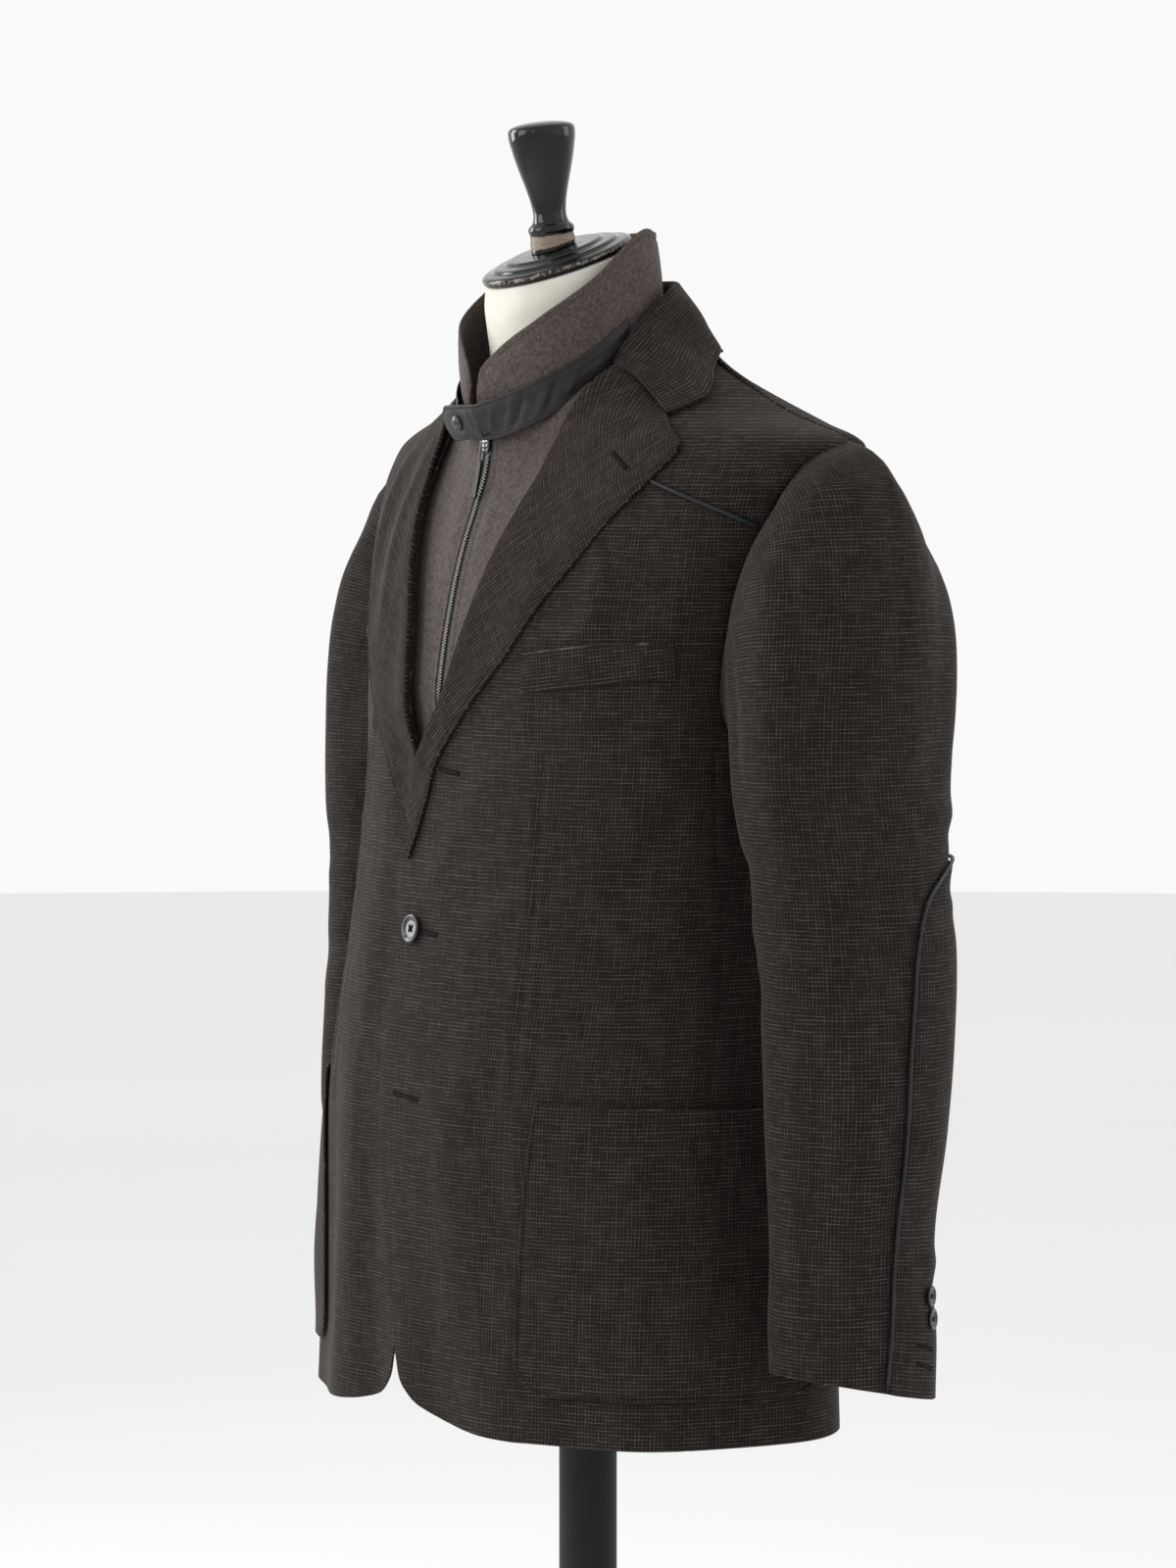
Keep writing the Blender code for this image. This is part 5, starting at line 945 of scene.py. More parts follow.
def sleeveCap(around, share):
    # Hermite sweep from the armhole seam to the biceps level: leaves the shoulder along the
    # cloth, swells out and falls straight down
    seam = armhole(np.mod(around, 1.0))
    start = torso(seam[..., 0], seam[..., 1])
    away = unit(sum(awayFromSeam(around + step) for step in np.linspace(-0.07, 0.07, 8)))
    biceps = sleeveFacts["bicepsZ"]
    end = sleeveSurface(around, biceps)
    fall = unit(sleeveSurface(around, biceps - 0.01) - end)
    height = (start[..., 2] - biceps)[..., None]
    weight = ((1 + np.cos(2 * math.pi * around)) / 2)[..., None]
    back = np.clip(-np.sin(2 * math.pi * around), 0, 1) * np.clip((0.97 - np.mod(around, 1.0)) / 0.12, 0, 1)
    outward = unit(away * weight * 0.8 + np.array([1.0, 0, 0.05]) * (1.1 - weight)
                   + np.array([0, 0.10, 0]) * back[..., None])
    swell = 0.50 + 0.28 * weight
    u = share[..., None]
    near = start * (2 * u**3 - 3 * u**2 + 1) + outward * height * swell * (u**3 - 2 * u**2 + u)
    far = end * (3 * u**2 - 2 * u**3) + fall * height * 0.95 * (u**3 - u**2)
    return near + far + headShift(around, share)


def sleevePoint(around, z):
    return sleeveRaw(np.array(around), np.array(z))


def capPoint(around, share):
    return sleeveCap(np.array([around]), np.array([share]))[0]


sleeveCreases = [
    # kink and folds behind the elbow, uneven in length and depth
    (sleevePoint(0.97, 1.136), sleevePoint(0.88, 1.128), sleevePoint(0.78, 1.132), 0.0085, -0.0026),
    (sleevePoint(0.99, 1.150), sleevePoint(0.90, 1.140), sleevePoint(0.80, 1.146), 0.0090, 0.0030),
    (sleevePoint(0.93, 1.092), sleevePoint(0.86, 1.083), sleevePoint(0.79, 1.086), 0.0070, 0.0020),
    (sleevePoint(0.96, 1.180), sleevePoint(0.88, 1.186), sleevePoint(0.82, 1.196), 0.0110, -0.0030),
    # the inner bend in front
    (sleevePoint(0.38, 1.120), sleevePoint(0.28, 1.105), sleevePoint(0.18, 1.100), 0.0110, -0.0038),
    (sleevePoint(0.36, 1.075), sleevePoint(0.27, 1.070), sleevePoint(0.17, 1.080), 0.0100, 0.0026),
    (sleevePoint(0.36, 1.040), sleevePoint(0.26, 1.020), sleevePoint(0.14, 1.015), 0.0120, -0.0028),
    # long soft drags down the outside of the arm
    (capPoint(0.10, 0.35), capPoint(0.11, 0.80), sleevePoint(0.10, 1.060), 0.0140, -0.0034),
    (capPoint(0.17, 0.40), capPoint(0.185, 0.90), sleevePoint(0.19, 1.090), 0.0120, 0.0028),
    (capPoint(0.02, 0.45), sleevePoint(0.03, 1.130), sleevePoint(0.05, 1.000), 0.0150, -0.0026),
    (capPoint(0.24, 0.30), capPoint(0.26, 0.70), sleevePoint(0.27, 1.140), 0.0110, -0.0034),
    (sleevePoint(0.08, 1.060), sleevePoint(0.06, 0.960), sleevePoint(0.08, 0.850), 0.0150, 0.0026),
    (sleevePoint(0.16, 1.000), sleevePoint(0.14, 0.920), sleevePoint(0.15, 0.820), 0.0120, -0.0028),
    (sleevePoint(0.00, 0.990), sleevePoint(0.98, 0.990), sleevePoint(0.93, 1.000), 0.0100, -0.0016),
    # ring folds over the cuff
    (sleevePoint(0.93, 0.866), sleevePoint(0.86, 0.857), sleevePoint(0.78, 0.862), 0.0080, 0.0024),
    (sleevePoint(0.95, 0.846), sleevePoint(0.88, 0.838), sleevePoint(0.80, 0.842), 0.0070, -0.0024),
    (sleevePoint(0.30, 0.900), sleevePoint(0.21, 0.885), sleevePoint(0.12, 0.890), 0.0110, -0.0022),
    (sleevePoint(0.32, 0.850), sleevePoint(0.24, 0.838), sleevePoint(0.14, 0.846), 0.0100, 0.0020),
    # the inner side of the arm
    (capPoint(0.44, 0.55), sleevePoint(0.47, 1.120), sleevePoint(0.46, 1.050), 0.0120, -0.0026),
    (capPoint(0.60, 0.50), sleevePoint(0.61, 1.120), sleevePoint(0.63, 1.040), 0.0120, 0.0026),
    (sleevePoint(0.50, 1.060), sleevePoint(0.52, 0.980), sleevePoint(0.50, 0.880), 0.0140, -0.0026),
    (capPoint(0.80, 0.30), capPoint(0.79, 0.65), sleevePoint(0.76, 1.150), 0.0130, -0.0018),
    (capPoint(0.88, 0.35), capPoint(0.88, 0.75), sleevePoint(0.86, 1.170), 0.0140, 0.0014),
]


def sleevePiece(name, side, low, high, colCount, length):
    # the sleeve from armhole to cuff between two of its seams, on an even spread round
    cols = shares(colCount, length)
    around = low + (high - low) * cols
    capShares = np.concatenate([[0, 0.004, 0.010, 0.018, 0.03], np.linspace(0.05, 0.985, 38)])
    lowerZ = np.concatenate([np.linspace(sleeveFacts["bicepsZ"], 0.784, 94), [0.7800, 0.7780, 0.7768, 0.7760]])
    aroundGrid = np.broadcast_to(around, (len(capShares), len(around)))
    cap = sleeveCap(aroundGrid, np.broadcast_to(capShares[:, None], aroundGrid.shape))
    lower = sleeveSurface(around[None, :], lowerZ[:, None])
    points = np.concatenate([cap, lower])
    normals = gridNormals(points)
    middle = points.mean(axis=1, keepdims=True)
    axis = np.concatenate([np.broadcast_to(np.array([0.215, 0.030, 0.0]), (len(cap), 3)),
                           np.stack([column(sleeveRows, "z", "x", lowerZ), column(sleeveRows, "z", "y", lowerZ),
                                     0 * lowerZ], -1)])[:, None]
    facing = np.sum(normals * (points - axis) * np.array([1, 1, 0.0]), -1)[len(cap) + 5].sum()
    normals = normals * np.sign(facing)
    creases = [(a, b, c, w, h) for a, b, c, w, h in sleeveCreases]
    if side < 0:
        creases = [(a + [0, 0, -0.006], b + [0, 0, 0.004], c + [0, 0, -0.004], w * 1.1, h * 0.92)
                   for a, b, c, w, h in creases]
    lift = np.clip(creaseLift(points, creases), -0.0055, 0.0050)
    depthIn = np.concatenate([capShares * 0.2, 0.2 + (sleeveFacts["bicepsZ"] - lowerZ)])[:, None]
    lift = lift * ramp(depthIn, 0.004, 0.045) * (1 - ramp(depthIn, 0.55, 0.575))
    # the sleeve head rises a little from its seam, most at the shoulder
    rise = 0.0022 * np.exp(-((depthIn - 0.012) / 0.010) ** 2)
    lift = lift + rise * np.clip(np.cos(2 * math.pi * around), 0, 1)
    patchZone = patchCover(points, aroundGrid, around, len(cap), lowerZ)
    lift = lift * (1 - patchZone * 0.75)
    edge = edgeDistance(points, "left right")
    lift = lift - sizes["seamDip"] * np.exp(-(edge / sizes["seamWidth"]) ** 2)
    lift = lift - 0.0006 * np.exp(-(depthIn / 0.008) ** 2)
    outer = points + normals * lift[..., None]
    inner = outer - normals * sizes["cloth"]
    # the weave keeps its pitch: each row and column is measured along itself
    run = np.cumsum(np.linalg.norm(np.diff(points, axis=0, prepend=points[:1]), axis=-1), 0)
    rowLength = np.linalg.norm(np.diff(points, axis=1), axis=-1).sum(1)
    uv = np.stack([(cols - 0.5) * rowLength[:, None], run[len(cap)] - run], -1)
    across = np.array([side, 1.0, 1.0])
    word = "left" if side > 0 else "right"
    return shellPiece(f"cloth_{name}_{word}", outer * across, inner * across, uv, moleskin,
                      (f"{name}_{word}",), "moleskin")


patchRows = makeTable(
    "z reach",
    (0.776, 0.212), (0.850, 0.196), (0.915, 0.190), (0.990, 0.190), (1.030, 0.184),
    (1.0575, 0.176), (1.080, 0.156), (1.098, 0.120), (1.108, 0.075), (1.113, 0.028),
)
patchMiddle = 0.792


def patchCover(points, aroundGrid, around, capCount, lowerZ):
    # 1 under the elbow patch, so the sleeve keeps flat beneath it
    reach = column(patchRows, "z", "reach", lowerZ)[:, None]
    gap = np.abs((around[None, :] - patchMiddle + 0.5) % 1.0 - 0.5)
    inside = ramp(reach - gap, -0.004, 0.010) * (1 - ramp(lowerZ[:, None], 1.112, 1.122))
    return np.concatenate([np.zeros((capCount, len(around))), inside])


for side in (1, -1):
    panels["sleeveUpper", side] = sleevePiece("sleeve_upper", side, sleeveFacts["hindSeam"] - 1.0,
                                              sleeveFacts["foreSeam"], 60, 0.20)
    panels["sleeveUnder", side] = sleevePiece("sleeve_under", side, sleeveFacts["foreSeam"],
                                              sleeveFacts["hindSeam"], 44, 0.16)
print("stage: sleeves made")


def patchLift(z):
    return sizes["layer"] + 0.0003 * np.clip((z - 1.040) / 0.030, 0, 1)


def elbowPatch(side):
    # a shield round the back of the sleeve: its half width at each height is the table's reach
    rows = np.concatenate([[0.776, 0.7772, 0.780], np.linspace(0.785, 1.100, 92), np.linspace(1.1015, 1.1129, 12)])
    cols = shares(44, 0.13)
    reach = column(patchRows, "z", "reach", rows)[:, None]
    around = patchMiddle + (2 * cols[None, :] - 1) * reach
    z = np.broadcast_to(rows[:, None], around.shape)
    base = sleeveSurface(around, z)
    creases = [row for row in sleeveCreases if row[3] < 0.0125]
    lift = np.clip(creaseLift(base, creases), -0.0016, 0.0022) * 0.8
    edge = edgeDistance(base, "left right top")
    lift = lift * ramp(edge, 0.004, 0.016) + 0.0006 * ramp(edge, 0.001, 0.006)
    outer = sleeveSurface(around, z, patchLift(z) + sizes["cloth"] + lift)
    inner = sleeveSurface(around, z, patchLift(z) + np.minimum(lift, 0))
    uv = np.stack([around * 2 * math.pi * 0.058, z], -1)
    across = np.array([side, 1.0, 1.0])
    word = "left" if side > 0 else "right"
    return shellPiece(f"cloth_elbow_patch_{word}", outer * across, inner * across, uv, moleskin,
                      (f"elbow_patch_{word}",), "moleskin")


def patchPath(beyond, count=260):
    # up one side of the patch, over its top and down the other, moved out by beyond
    rows = np.concatenate([np.linspace(0.7775, 1.05, 30), [1.0575, 1.070, 1.080, 1.090, 1.098, 1.104]])
    reach = column(patchRows, "z", "reach", rows)
    rise = np.stack([patchMiddle + reach, rows], -1)
    top = np.array([(0.072, 1.1095), (0.030, 1.1135), (0.0, 1.1142), (-0.030, 1.1135), (-0.072, 1.1095)])
    top[:, 0] += patchMiddle
    fall = np.stack([patchMiddle - reach, rows], -1)[::-1]
    scale = np.array([2 * math.pi * 0.055, 1.0])
    centre = np.array([patchMiddle, 0.95])
    flat = (curveThrough(np.concatenate([rise, top, fall]) * scale, np.linspace(0, 1, count)) / scale - centre) * scale
    step = np.gradient(flat, axis=0)
    outward = np.stack([step[:, 1], -step[:, 0]], -1)
    outward *= np.sign(np.sum(outward * flat, -1, keepdims=True))
    moved = flat + unit(outward) * beyond
    moved[:, 1] = np.maximum(moved[:, 1], 0.7775 - 0.95)
    return moved / scale + centre


def leatherFlange(name, path, out, nodes):
    # the piping: a round cord of leather, slightly uneven, closed at its ends
    wobble = 1 + 0.035 * np.sin(np.linspace(0, 46, len(path))) * np.sin(np.linspace(0, 17, len(path)))
    ends = np.clip(np.minimum(np.arange(len(path)), np.arange(len(path))[::-1]) / 2.0, 0.35, 1)
    return tubePiece(name, path, sizes["piping"] * wobble * ends, 12, pipingLeather, nodes, "piping_leather",
                     startNormal=out)


for side in (1, -1):
    across = np.array([side, 1.0, 1.0])
    word = "left" if side > 0 else "right"
    panels["patch", side] = elbowPatch(side)
    path = patchPath(sizes["piping"] + 0.0006)
    line = sleeveSurface(path[:, 0], path[:, 1], patchLift(path[:, 1]) + sizes["piping"]) * across
    leatherFlange(f"leather_elbow_piping_{word}", line, (side, 0, 0), (f"elbow_piping_{word}",))
    row = np.linspace(0.53, 0.985, 70)
    seamStart = np.array([float(frontTurn(rollX(yokeNeckZ, 1), yokeNeckZ)), yokeNeckZ])
    seamEnd = armhole(np.array([0.17]))[0]
    along = seamStart + (seamEnd - seamStart) * row[:, None]
    turn, z = along[:, 0] * side, along[:, 1]
    line = torso(turn, z, frontLift(turn, z, side) + sizes["piping"] * 0.75)
    leatherFlange(f"leather_yoke_piping_{word}", line, (0, -1, 0), (f"yoke_piping_{word}",))
print("stage: elbow patches and piping made")


# ---- lapels and collar
lapelEdges = {
    1: makeTable("z x", (1.1060, -0.0150), (1.1270, -0.0068), (1.1480, 0.0002), (1.1690, 0.0070),
                 (1.2029, 0.0365), (1.2428, 0.0730), (1.2743, 0.0945), (1.3056, 0.1185), (1.3330, 0.1380),
                 (1.3706, 0.1660), (1.3780, 0.1700), (1.3850, 0.1685)),
    -1: makeTable("z x", (1.1205, 0.0215), (1.1546, 0.0480), (1.1870, 0.0680), (1.2200, 0.0860),
                  (1.2536, 0.1020), (1.2860, 0.1140), (1.3120, 0.1260), (1.3400, 0.1425), (1.3706, 0.1660),
                  (1.3780, 0.1700), (1.3850, 0.1685)),
}
gorge = makeTable("share x z", (0.0, 0.0735, 1.4385), (0.5, 0.1060, 1.4190), (1.0, 0.1385, 1.4020))
lapelFacts = {"space": 0.0011, "cloth": 0.0020, "covered": 0.0192, "gorgeShare": 5 / 7}
lapelCreases = {
    1: [(onFront(0.060, 1.330), onFront(0.085, 1.300), onFront(0.098, 1.262), 0.013, 0.0016),
        (onFront(0.085, 1.385), onFront(0.100, 1.365), onFront(0.118, 1.335), 0.011, -0.0012),
        (onFront(0.024, 1.215), onFront(0.022, 1.185), onFront(0.008, 1.150), 0.007, 0.0010)],
    -1: [(onFront(-0.082, 1.395), onFront(-0.088, 1.330), onFront(-0.074, 1.250), 0.0075, 0.0030),
         (onFront(-0.104, 1.385), onFront(-0.108, 1.330), onFront(-0.094, 1.255), 0.0065, -0.0022),
         (onFront(-0.126, 1.382), onFront(-0.124, 1.345), onFront(-0.110, 1.290), 0.0070, 0.0024),
         (onFront(-0.050, 1.290), onFront(-0.056, 1.230), onFront(-0.046, 1.180), 0.0090, -0.0018)],
}


def lapelSurface(side, xz):
    # turn on the body, and height, for the lapel's widths and heights
    x, z = xz[..., 0], xz[..., 1]
    turn = frontTurn(x, z) * side
    return turn, z


def lapel(side):
    table = lapelEdges[side]
    breakZ = rollRows[side]["z"][0]
    rows = edgeSpacing(100, 0.34, (0.0005, 0.0012, 0.0022, 0.004))
    cols = edgeSpacing(38, 0.09, (0.0004, 0.0010, 0.0018, 0.0030))
    leftZ = table["z"][0] + (gorge["z"][0] - table["z"][0]) * rows
    leftX = np.where(leftZ < breakZ, edgeRows["x"][-1], rollX(leftZ, side))
    if side < 0:
        leftX = np.maximum(leftX, lapelFacts["covered"])
    left = np.stack([leftX, leftZ], -1)
    rightZ = np.interp(rows, np.linspace(0, 1, len(table["z"])), table["z"])
    right = np.stack([smoothCurve(table["z"], table["x"], rightZ), rightZ], -1)
    bottom = left[0] * (1 - cols[:, None]) + right[0] * cols[:, None]
    gorgeShare = np.clip(cols / lapelFacts["gorgeShare"], 0, 1)
    gorgeX = smoothCurve(gorge["share"], gorge["x"], gorgeShare)
    gorgeZ = smoothCurve(gorge["share"], gorge["z"], gorgeShare)
    notch = np.clip((cols - lapelFacts["gorgeShare"]) / (1 - lapelFacts["gorgeShare"]), 0, 1)
    top = np.stack([gorgeX + (right[-1, 0] - gorgeX[-1]) * notch, gorgeZ + (right[-1, 1] - gorgeZ[-1]) * notch], -1)
    xz = coonsGrid(left, right, bottom, top, rows, cols)
    x, z = xz[..., 0], xz[..., 1]
    turn = frontTurn(x, z) * side
    standOff = 0.0 if side > 0 else 0.0045
    openShape = np.sin(math.pi * np.clip((z - 1.17) / 0.21, 0, 1)) * cols[None, :] ** 0.5
    hollow = 0.0027 * np.clip((z - 1.355) / 0.030, 0, 1) * np.clip((0.130 - x) / 0.030, 0, 1)
    base = frontLift(turn, z, side) + lapelFacts["space"] + hollow + standOff * openShape
    flat = torso(turn, z)
    creased = creaseLift(flat, lapelCreases[side])
    edge = edgeDistance(flat, "right top")
    rolled = edgeDistance(flat, "left")
    held = ramp(edge, 0.0, 0.012) * ramp(rolled, 0.0, 0.010) if side > 0 else ramp(rolled, 0.0, 0.006)
    base = base + np.maximum(creased * held, -0.0009)
    # the rolled edge is fullest at the roll and thins to its stitched outer edge
    full = 0.0010 * np.exp(-(rolled / 0.010) ** 2) * (z > breakZ)
    stitched = 0.0005 * np.exp(-((edge - 0.0022) / 0.0012) ** 2)
    outer = torso(turn, z, base + lapelFacts["cloth"] + full - stitched)
    inner = torso(turn, z, base)
    grain = np.array([math.cos(math.radians(35)), math.sin(math.radians(35))])
    u = np.stack([x * 1.12, z], -1) @ grain
    v = np.stack([x * 1.12, z], -1) @ np.array([-grain[1], grain[0]])
    word = "left" if side > 0 else "right"
    piece = shellPiece(f"cloth_lapel_{word}", outer, inner, np.stack([u, v], -1), moleskin,
                       (f"lapel_{word}",), "moleskin", round=0.30)
    return piece, outer


lapelFaces = {}
for side in (1, -1):
    panels["lapel", side], lapelFaces[side] = lapel(side)

collarRows = makeTable(
    "share foldX  foldY  foldZ  edgeTurn edgeZ",
    (0.00, 0.0000, 0.0565, 1.4970, 180.0, 1.4465), (0.20, 0.0350, 0.0495, 1.4955, 118.0, 1.4475),
    (0.40, 0.0612, 0.0250, 1.4880, 93.0, 1.4455), (0.60, 0.0690, -0.0020, 1.4680, 80.5, 1.4325),
    (0.80, 0.0712, -0.0180, 1.4520, 71.0, 1.4135), (1.00, 0.0735, -0.0290, 1.4385, 60.0, 1.4020),
)
collarFacts = {"cloth": 0.0022, "foldRadius": 0.0022}


def collarHalf(stations):
    # middle of the folded collar at each station: neck seam, up the stand, over the fold, down the fall
    def read(name):
        return column(collarRows, "share", name, stations)

    fold = np.stack([read("foldX"), read("foldY"), read("foldZ")], -1)
    edgeTurn = np.radians(np.interp(stations, collarRows["share"], collarRows["edgeTurn"]))
    edgeZ = np.interp(stations, collarRows["share"], collarRows["edgeZ"])
    rest = lapelFacts["space"] + collarFacts["cloth"] / 2 + 0.0014
    edge = torso(edgeTurn, edgeZ, rest)
    gorgeEnd = torso(frontTurn(gorge["x"][-1], gorge["z"][-1]), gorge["z"][-1], rest)
    edge = edge + (gorgeEnd - edge[-1]) * (np.clip((stations - 0.9) / 0.1, 0, 1) ** 2)[:, None]
    neckTurn = np.linspace(math.pi, math.pi / 2, 7)
    neckZ = np.linspace(1.4525, 1.4485, 7) + 0.0022
    neckBack = torso(neckTurn, neckZ, -0.0012)
    frontZ = np.linspace(1.4470, 1.4400, 5)[1:] + 0.0010
    neckFront = torso(frontTurn(np.full(4, 0.0722), frontZ), frontZ, 0.0008)
    stand = curveByShare(np.concatenate([neckBack, neckFront]), stations)
    outward = unit((edge - fold) * np.array([1, 1, 0.0]))
    taper = np.clip((1.0 - stations) / 0.35, 0.25, 1)[:, None]
    drop = np.array([0, 0, -0.0022]) * taper
    radius = collarFacts["foldRadius"]
    foldIn = fold - outward * radius * taper + drop
    foldOut = fold + outward * radius * taper + drop
    swell = np.array([0, 0, 0.0035])
    fallHigh = foldOut * 0.66 + edge * 0.34 + swell + outward * 0.0015
    fallLow = foldOut * 0.30 + edge * 0.70 + swell * 0.8
    standMid = stand * 0.5 + foldIn * 0.5
    return np.stack([stand, standMid, foldIn, fold, foldOut, fallHigh, fallLow, edge])


def curveByShare(points, stations):
    places = np.linspace(0, 1, len(points))
    return np.stack([smoothCurve(places, points[:, i], stations) for i in range(3)], -1)


def collarPiece():
    stations = np.concatenate([np.linspace(0, 0.96, 80), [0.972, 0.982, 0.990, 0.996, 1.0]])
    half = collarHalf(stations)
    whole = np.concatenate([half[:, ::-1] * np.array([-1.0, 1, 1]), half[:, 1:]], axis=1)
    # rows are drawn smooth through the eight lines of the section
    rowPlaces = np.array([0, 0.18, 0.36, 0.42, 0.48, 0.64, 0.82, 1.0])
    fine = np.concatenate([np.linspace(0, 0.34, 12), np.linspace(0.355, 0.49, 14), np.linspace(0.51, 0.96, 24),
                           [0.972, 0.984, 0.993, 1.0]])
    flat = whole.reshape(8, -1)
    slopes = np.gradient(flat, rowPlaces, axis=0)
    i = np.clip(np.searchsorted(rowPlaces, fine, side="right") - 1, 0, 6)
    width = (rowPlaces[i + 1] - rowPlaces[i])[:, None]
    u = (fine[:, None] - rowPlaces[i][:, None]) / width
    grid = (flat[i] * (2 * u**3 - 3 * u**2 + 1) + slopes[i] * width * (u**3 - 2 * u**2 + u)
            + flat[i + 1] * (3 * u**2 - 2 * u**3) + slopes[i + 1] * width * (u**3 - u**2))
    grid = grid.reshape(len(fine), -1, 3)
    normals = gridNormals(grid)
    foldRow = int(np.argmin(np.abs(fine - 0.42)))
    normals = normals * np.sign(normals[foldRow, normals.shape[1] // 2, 2])
    creases = [((0.050, 0.060, 1.470), (0.066, 0.034, 1.466), (0.078, 0.010, 1.452), 0.008, 0.0014),
               ((0.010, 0.094, 1.462), (0.036, 0.086, 1.462), (0.060, 0.064, 1.460), 0.008, -0.0012),
               ((-0.055, 0.060, 1.468), (-0.070, 0.030, 1.462), (-0.084, 0.004, 1.444), 0.009, 0.0013),
               ((-0.012, 0.094, 1.462), (-0.030, 0.090, 1.460), (-0.052, 0.072, 1.458), 0.007, 0.0010)]
    creases = [(np.array(a), np.array(b), np.array(c), w, h) for a, b, c, w, h in creases]
    edge = edgeDistance(grid, "left right top")
    lift = creaseLift(grid, creases) * ramp(edge, 0.0, 0.010)
    lift = lift - 0.0005 * np.exp(-((edge - 0.0022) / 0.0012) ** 2)
    outer = grid + normals * (collarFacts["cloth"] / 2 + lift[..., None])
    inner = grid - normals * collarFacts["cloth"] / 2
    inset = 0.0014
    for face in (outer, inner):
        face[:, 0] += unit(face[:, 3] - face[:, 0]) * inset
        face[:, -1] += unit(face[:, -4] - face[:, -1]) * inset
        for k, other in ((1, 3), (-2, -4)):
            face[:, k] += unit(face[:, other] - face[:, k]) * inset * 0.5
    run = np.concatenate([[0], np.cumsum(np.linalg.norm(np.diff(grid[-1], axis=0), axis=-1))])
    drop = np.concatenate([[0], np.cumsum(np.linalg.norm(np.diff(grid, axis=0), axis=-1).mean(1))])
    uv = np.stack(np.broadcast_arrays(run[None, :] * 0.94, drop[:, None]), -1)
    piece = shellPiece("cloth_collar", outer, inner, uv, moleskin, ("collar",), "moleskin", round=0.30)
    return piece, outer


collar, collarFace = collarPiece()
print("stage: lapels and collar made")


# ---- pockets
pocketRows = makeTable(
    "z      inset   frontX",
    (0.7630, 0.0260, 0.1200), (0.7655, 0.0140, 0.1202), (0.7710, 0.0055, 0.1205), (0.7800, 0.0008, 0.1208),
    (0.8050, 0.0000, 0.1215), (0.8450, 0.0000, 0.1225), (0.8850, 0.0000, 0.1243), (0.9200, 0.0000, 0.1268),
    (0.9535, 0.0000, 0.1305),
)
pocketFacts = {"cloth": 0.0018, "backTurn": 97.0, "topBand": 0.026}


def patchPocket(side):
    # a pouch with round lower corners; it swells a little and gapes at its top edge
    rowZ = np.concatenate([0.7630 + 0.0170 * np.linspace(0, 1, 26) ** 2, np.linspace(0.7815, 0.948, 66),
                           [0.9495, 0.9508, 0.9518, 0.9527, 0.9535]])
    inset = np.sqrt(np.clip(1 - np.clip((0.7630 + 0.024 - rowZ) / 0.024, 0, 1) ** 2, 0, 1))
    inset = 0.026 * (1 - inset)
    frontX = np.interp(rowZ, pocketRows["z"], pocketRows["frontX"])
    cols = shares(56, 0.17)
    start = frontTurn(frontX + inset, rowZ)[:, None]
    stop = math.radians(pocketFacts["backTurn"]) - inset[:, None] / 0.19
    turn = (start * (1 - cols) + stop * cols) * side
    z = rowZ[:, None] - 0.0060 * cols[None, :] * np.clip((rowZ[:, None] - 0.80) / 0.15, 0, 1)
    flat = torso(turn, z)
    rest = bodyLift(turn, z, side) + sizes["layer"] + 0.0008
    under = creaseLift(flat, creasesFor(side, bodyCreases))
    creases = [(onSide(60, 0.945), onSide(64, 0.900), onSide(62, 0.840), 0.014, 0.0018),
               (onSide(80, 0.940), onSide(79, 0.880), onSide(82, 0.800), 0.016, -0.0014),
               (onSide(50, 0.860), onSide(54, 0.820), onSide(60, 0.790), 0.012, 0.0012)]
    edge = edgeDistance(flat, "left right bottom")
    belly = 0.0026 * ramp(edge, 0.002, 0.040) * np.sin(math.pi * np.clip((z - 0.755) / 0.21, 0, 1))
    lift = np.clip(under, -0.0020, 0.0035) + belly + creaseLift(flat, creasesFor(side, creases)) * ramp(edge, 0, 0.02)
    gape = 0.0016 * ramp(z, 0.925, 0.953) * ramp(edge, 0.01, 0.06)
    top = edgeDistance(flat, "top")
    hemLine = 0.0004 * np.exp(-((top - pocketFacts["topBand"]) / 0.0014) ** 2)
    stitched = 0.0009 * np.exp(-((edge - 0.0030) / 0.0014) ** 2) + hemLine
    outer = torso(turn, z, rest + pocketFacts["cloth"] + lift + gape - stitched)
    inner = torso(turn, z, rest + np.minimum(lift, 0) + gape)
    word = "left" if side > 0 else "right"
    piece = shellPiece(f"cloth_patch_pocket_{word}", outer, inner, torsoUv(turn, z) + np.array([0.0011, 0.0007]),
                       moleskin, (f"patch_pocket_{word}",), "moleskin")
    return piece, outer


weltRows = makeTable("share x low high", (0, 0.091, 1.2220, 1.2460), (0.5, 0.136, 1.2265, 1.2515),
                     (1, 0.176, 1.2325, 1.2545))


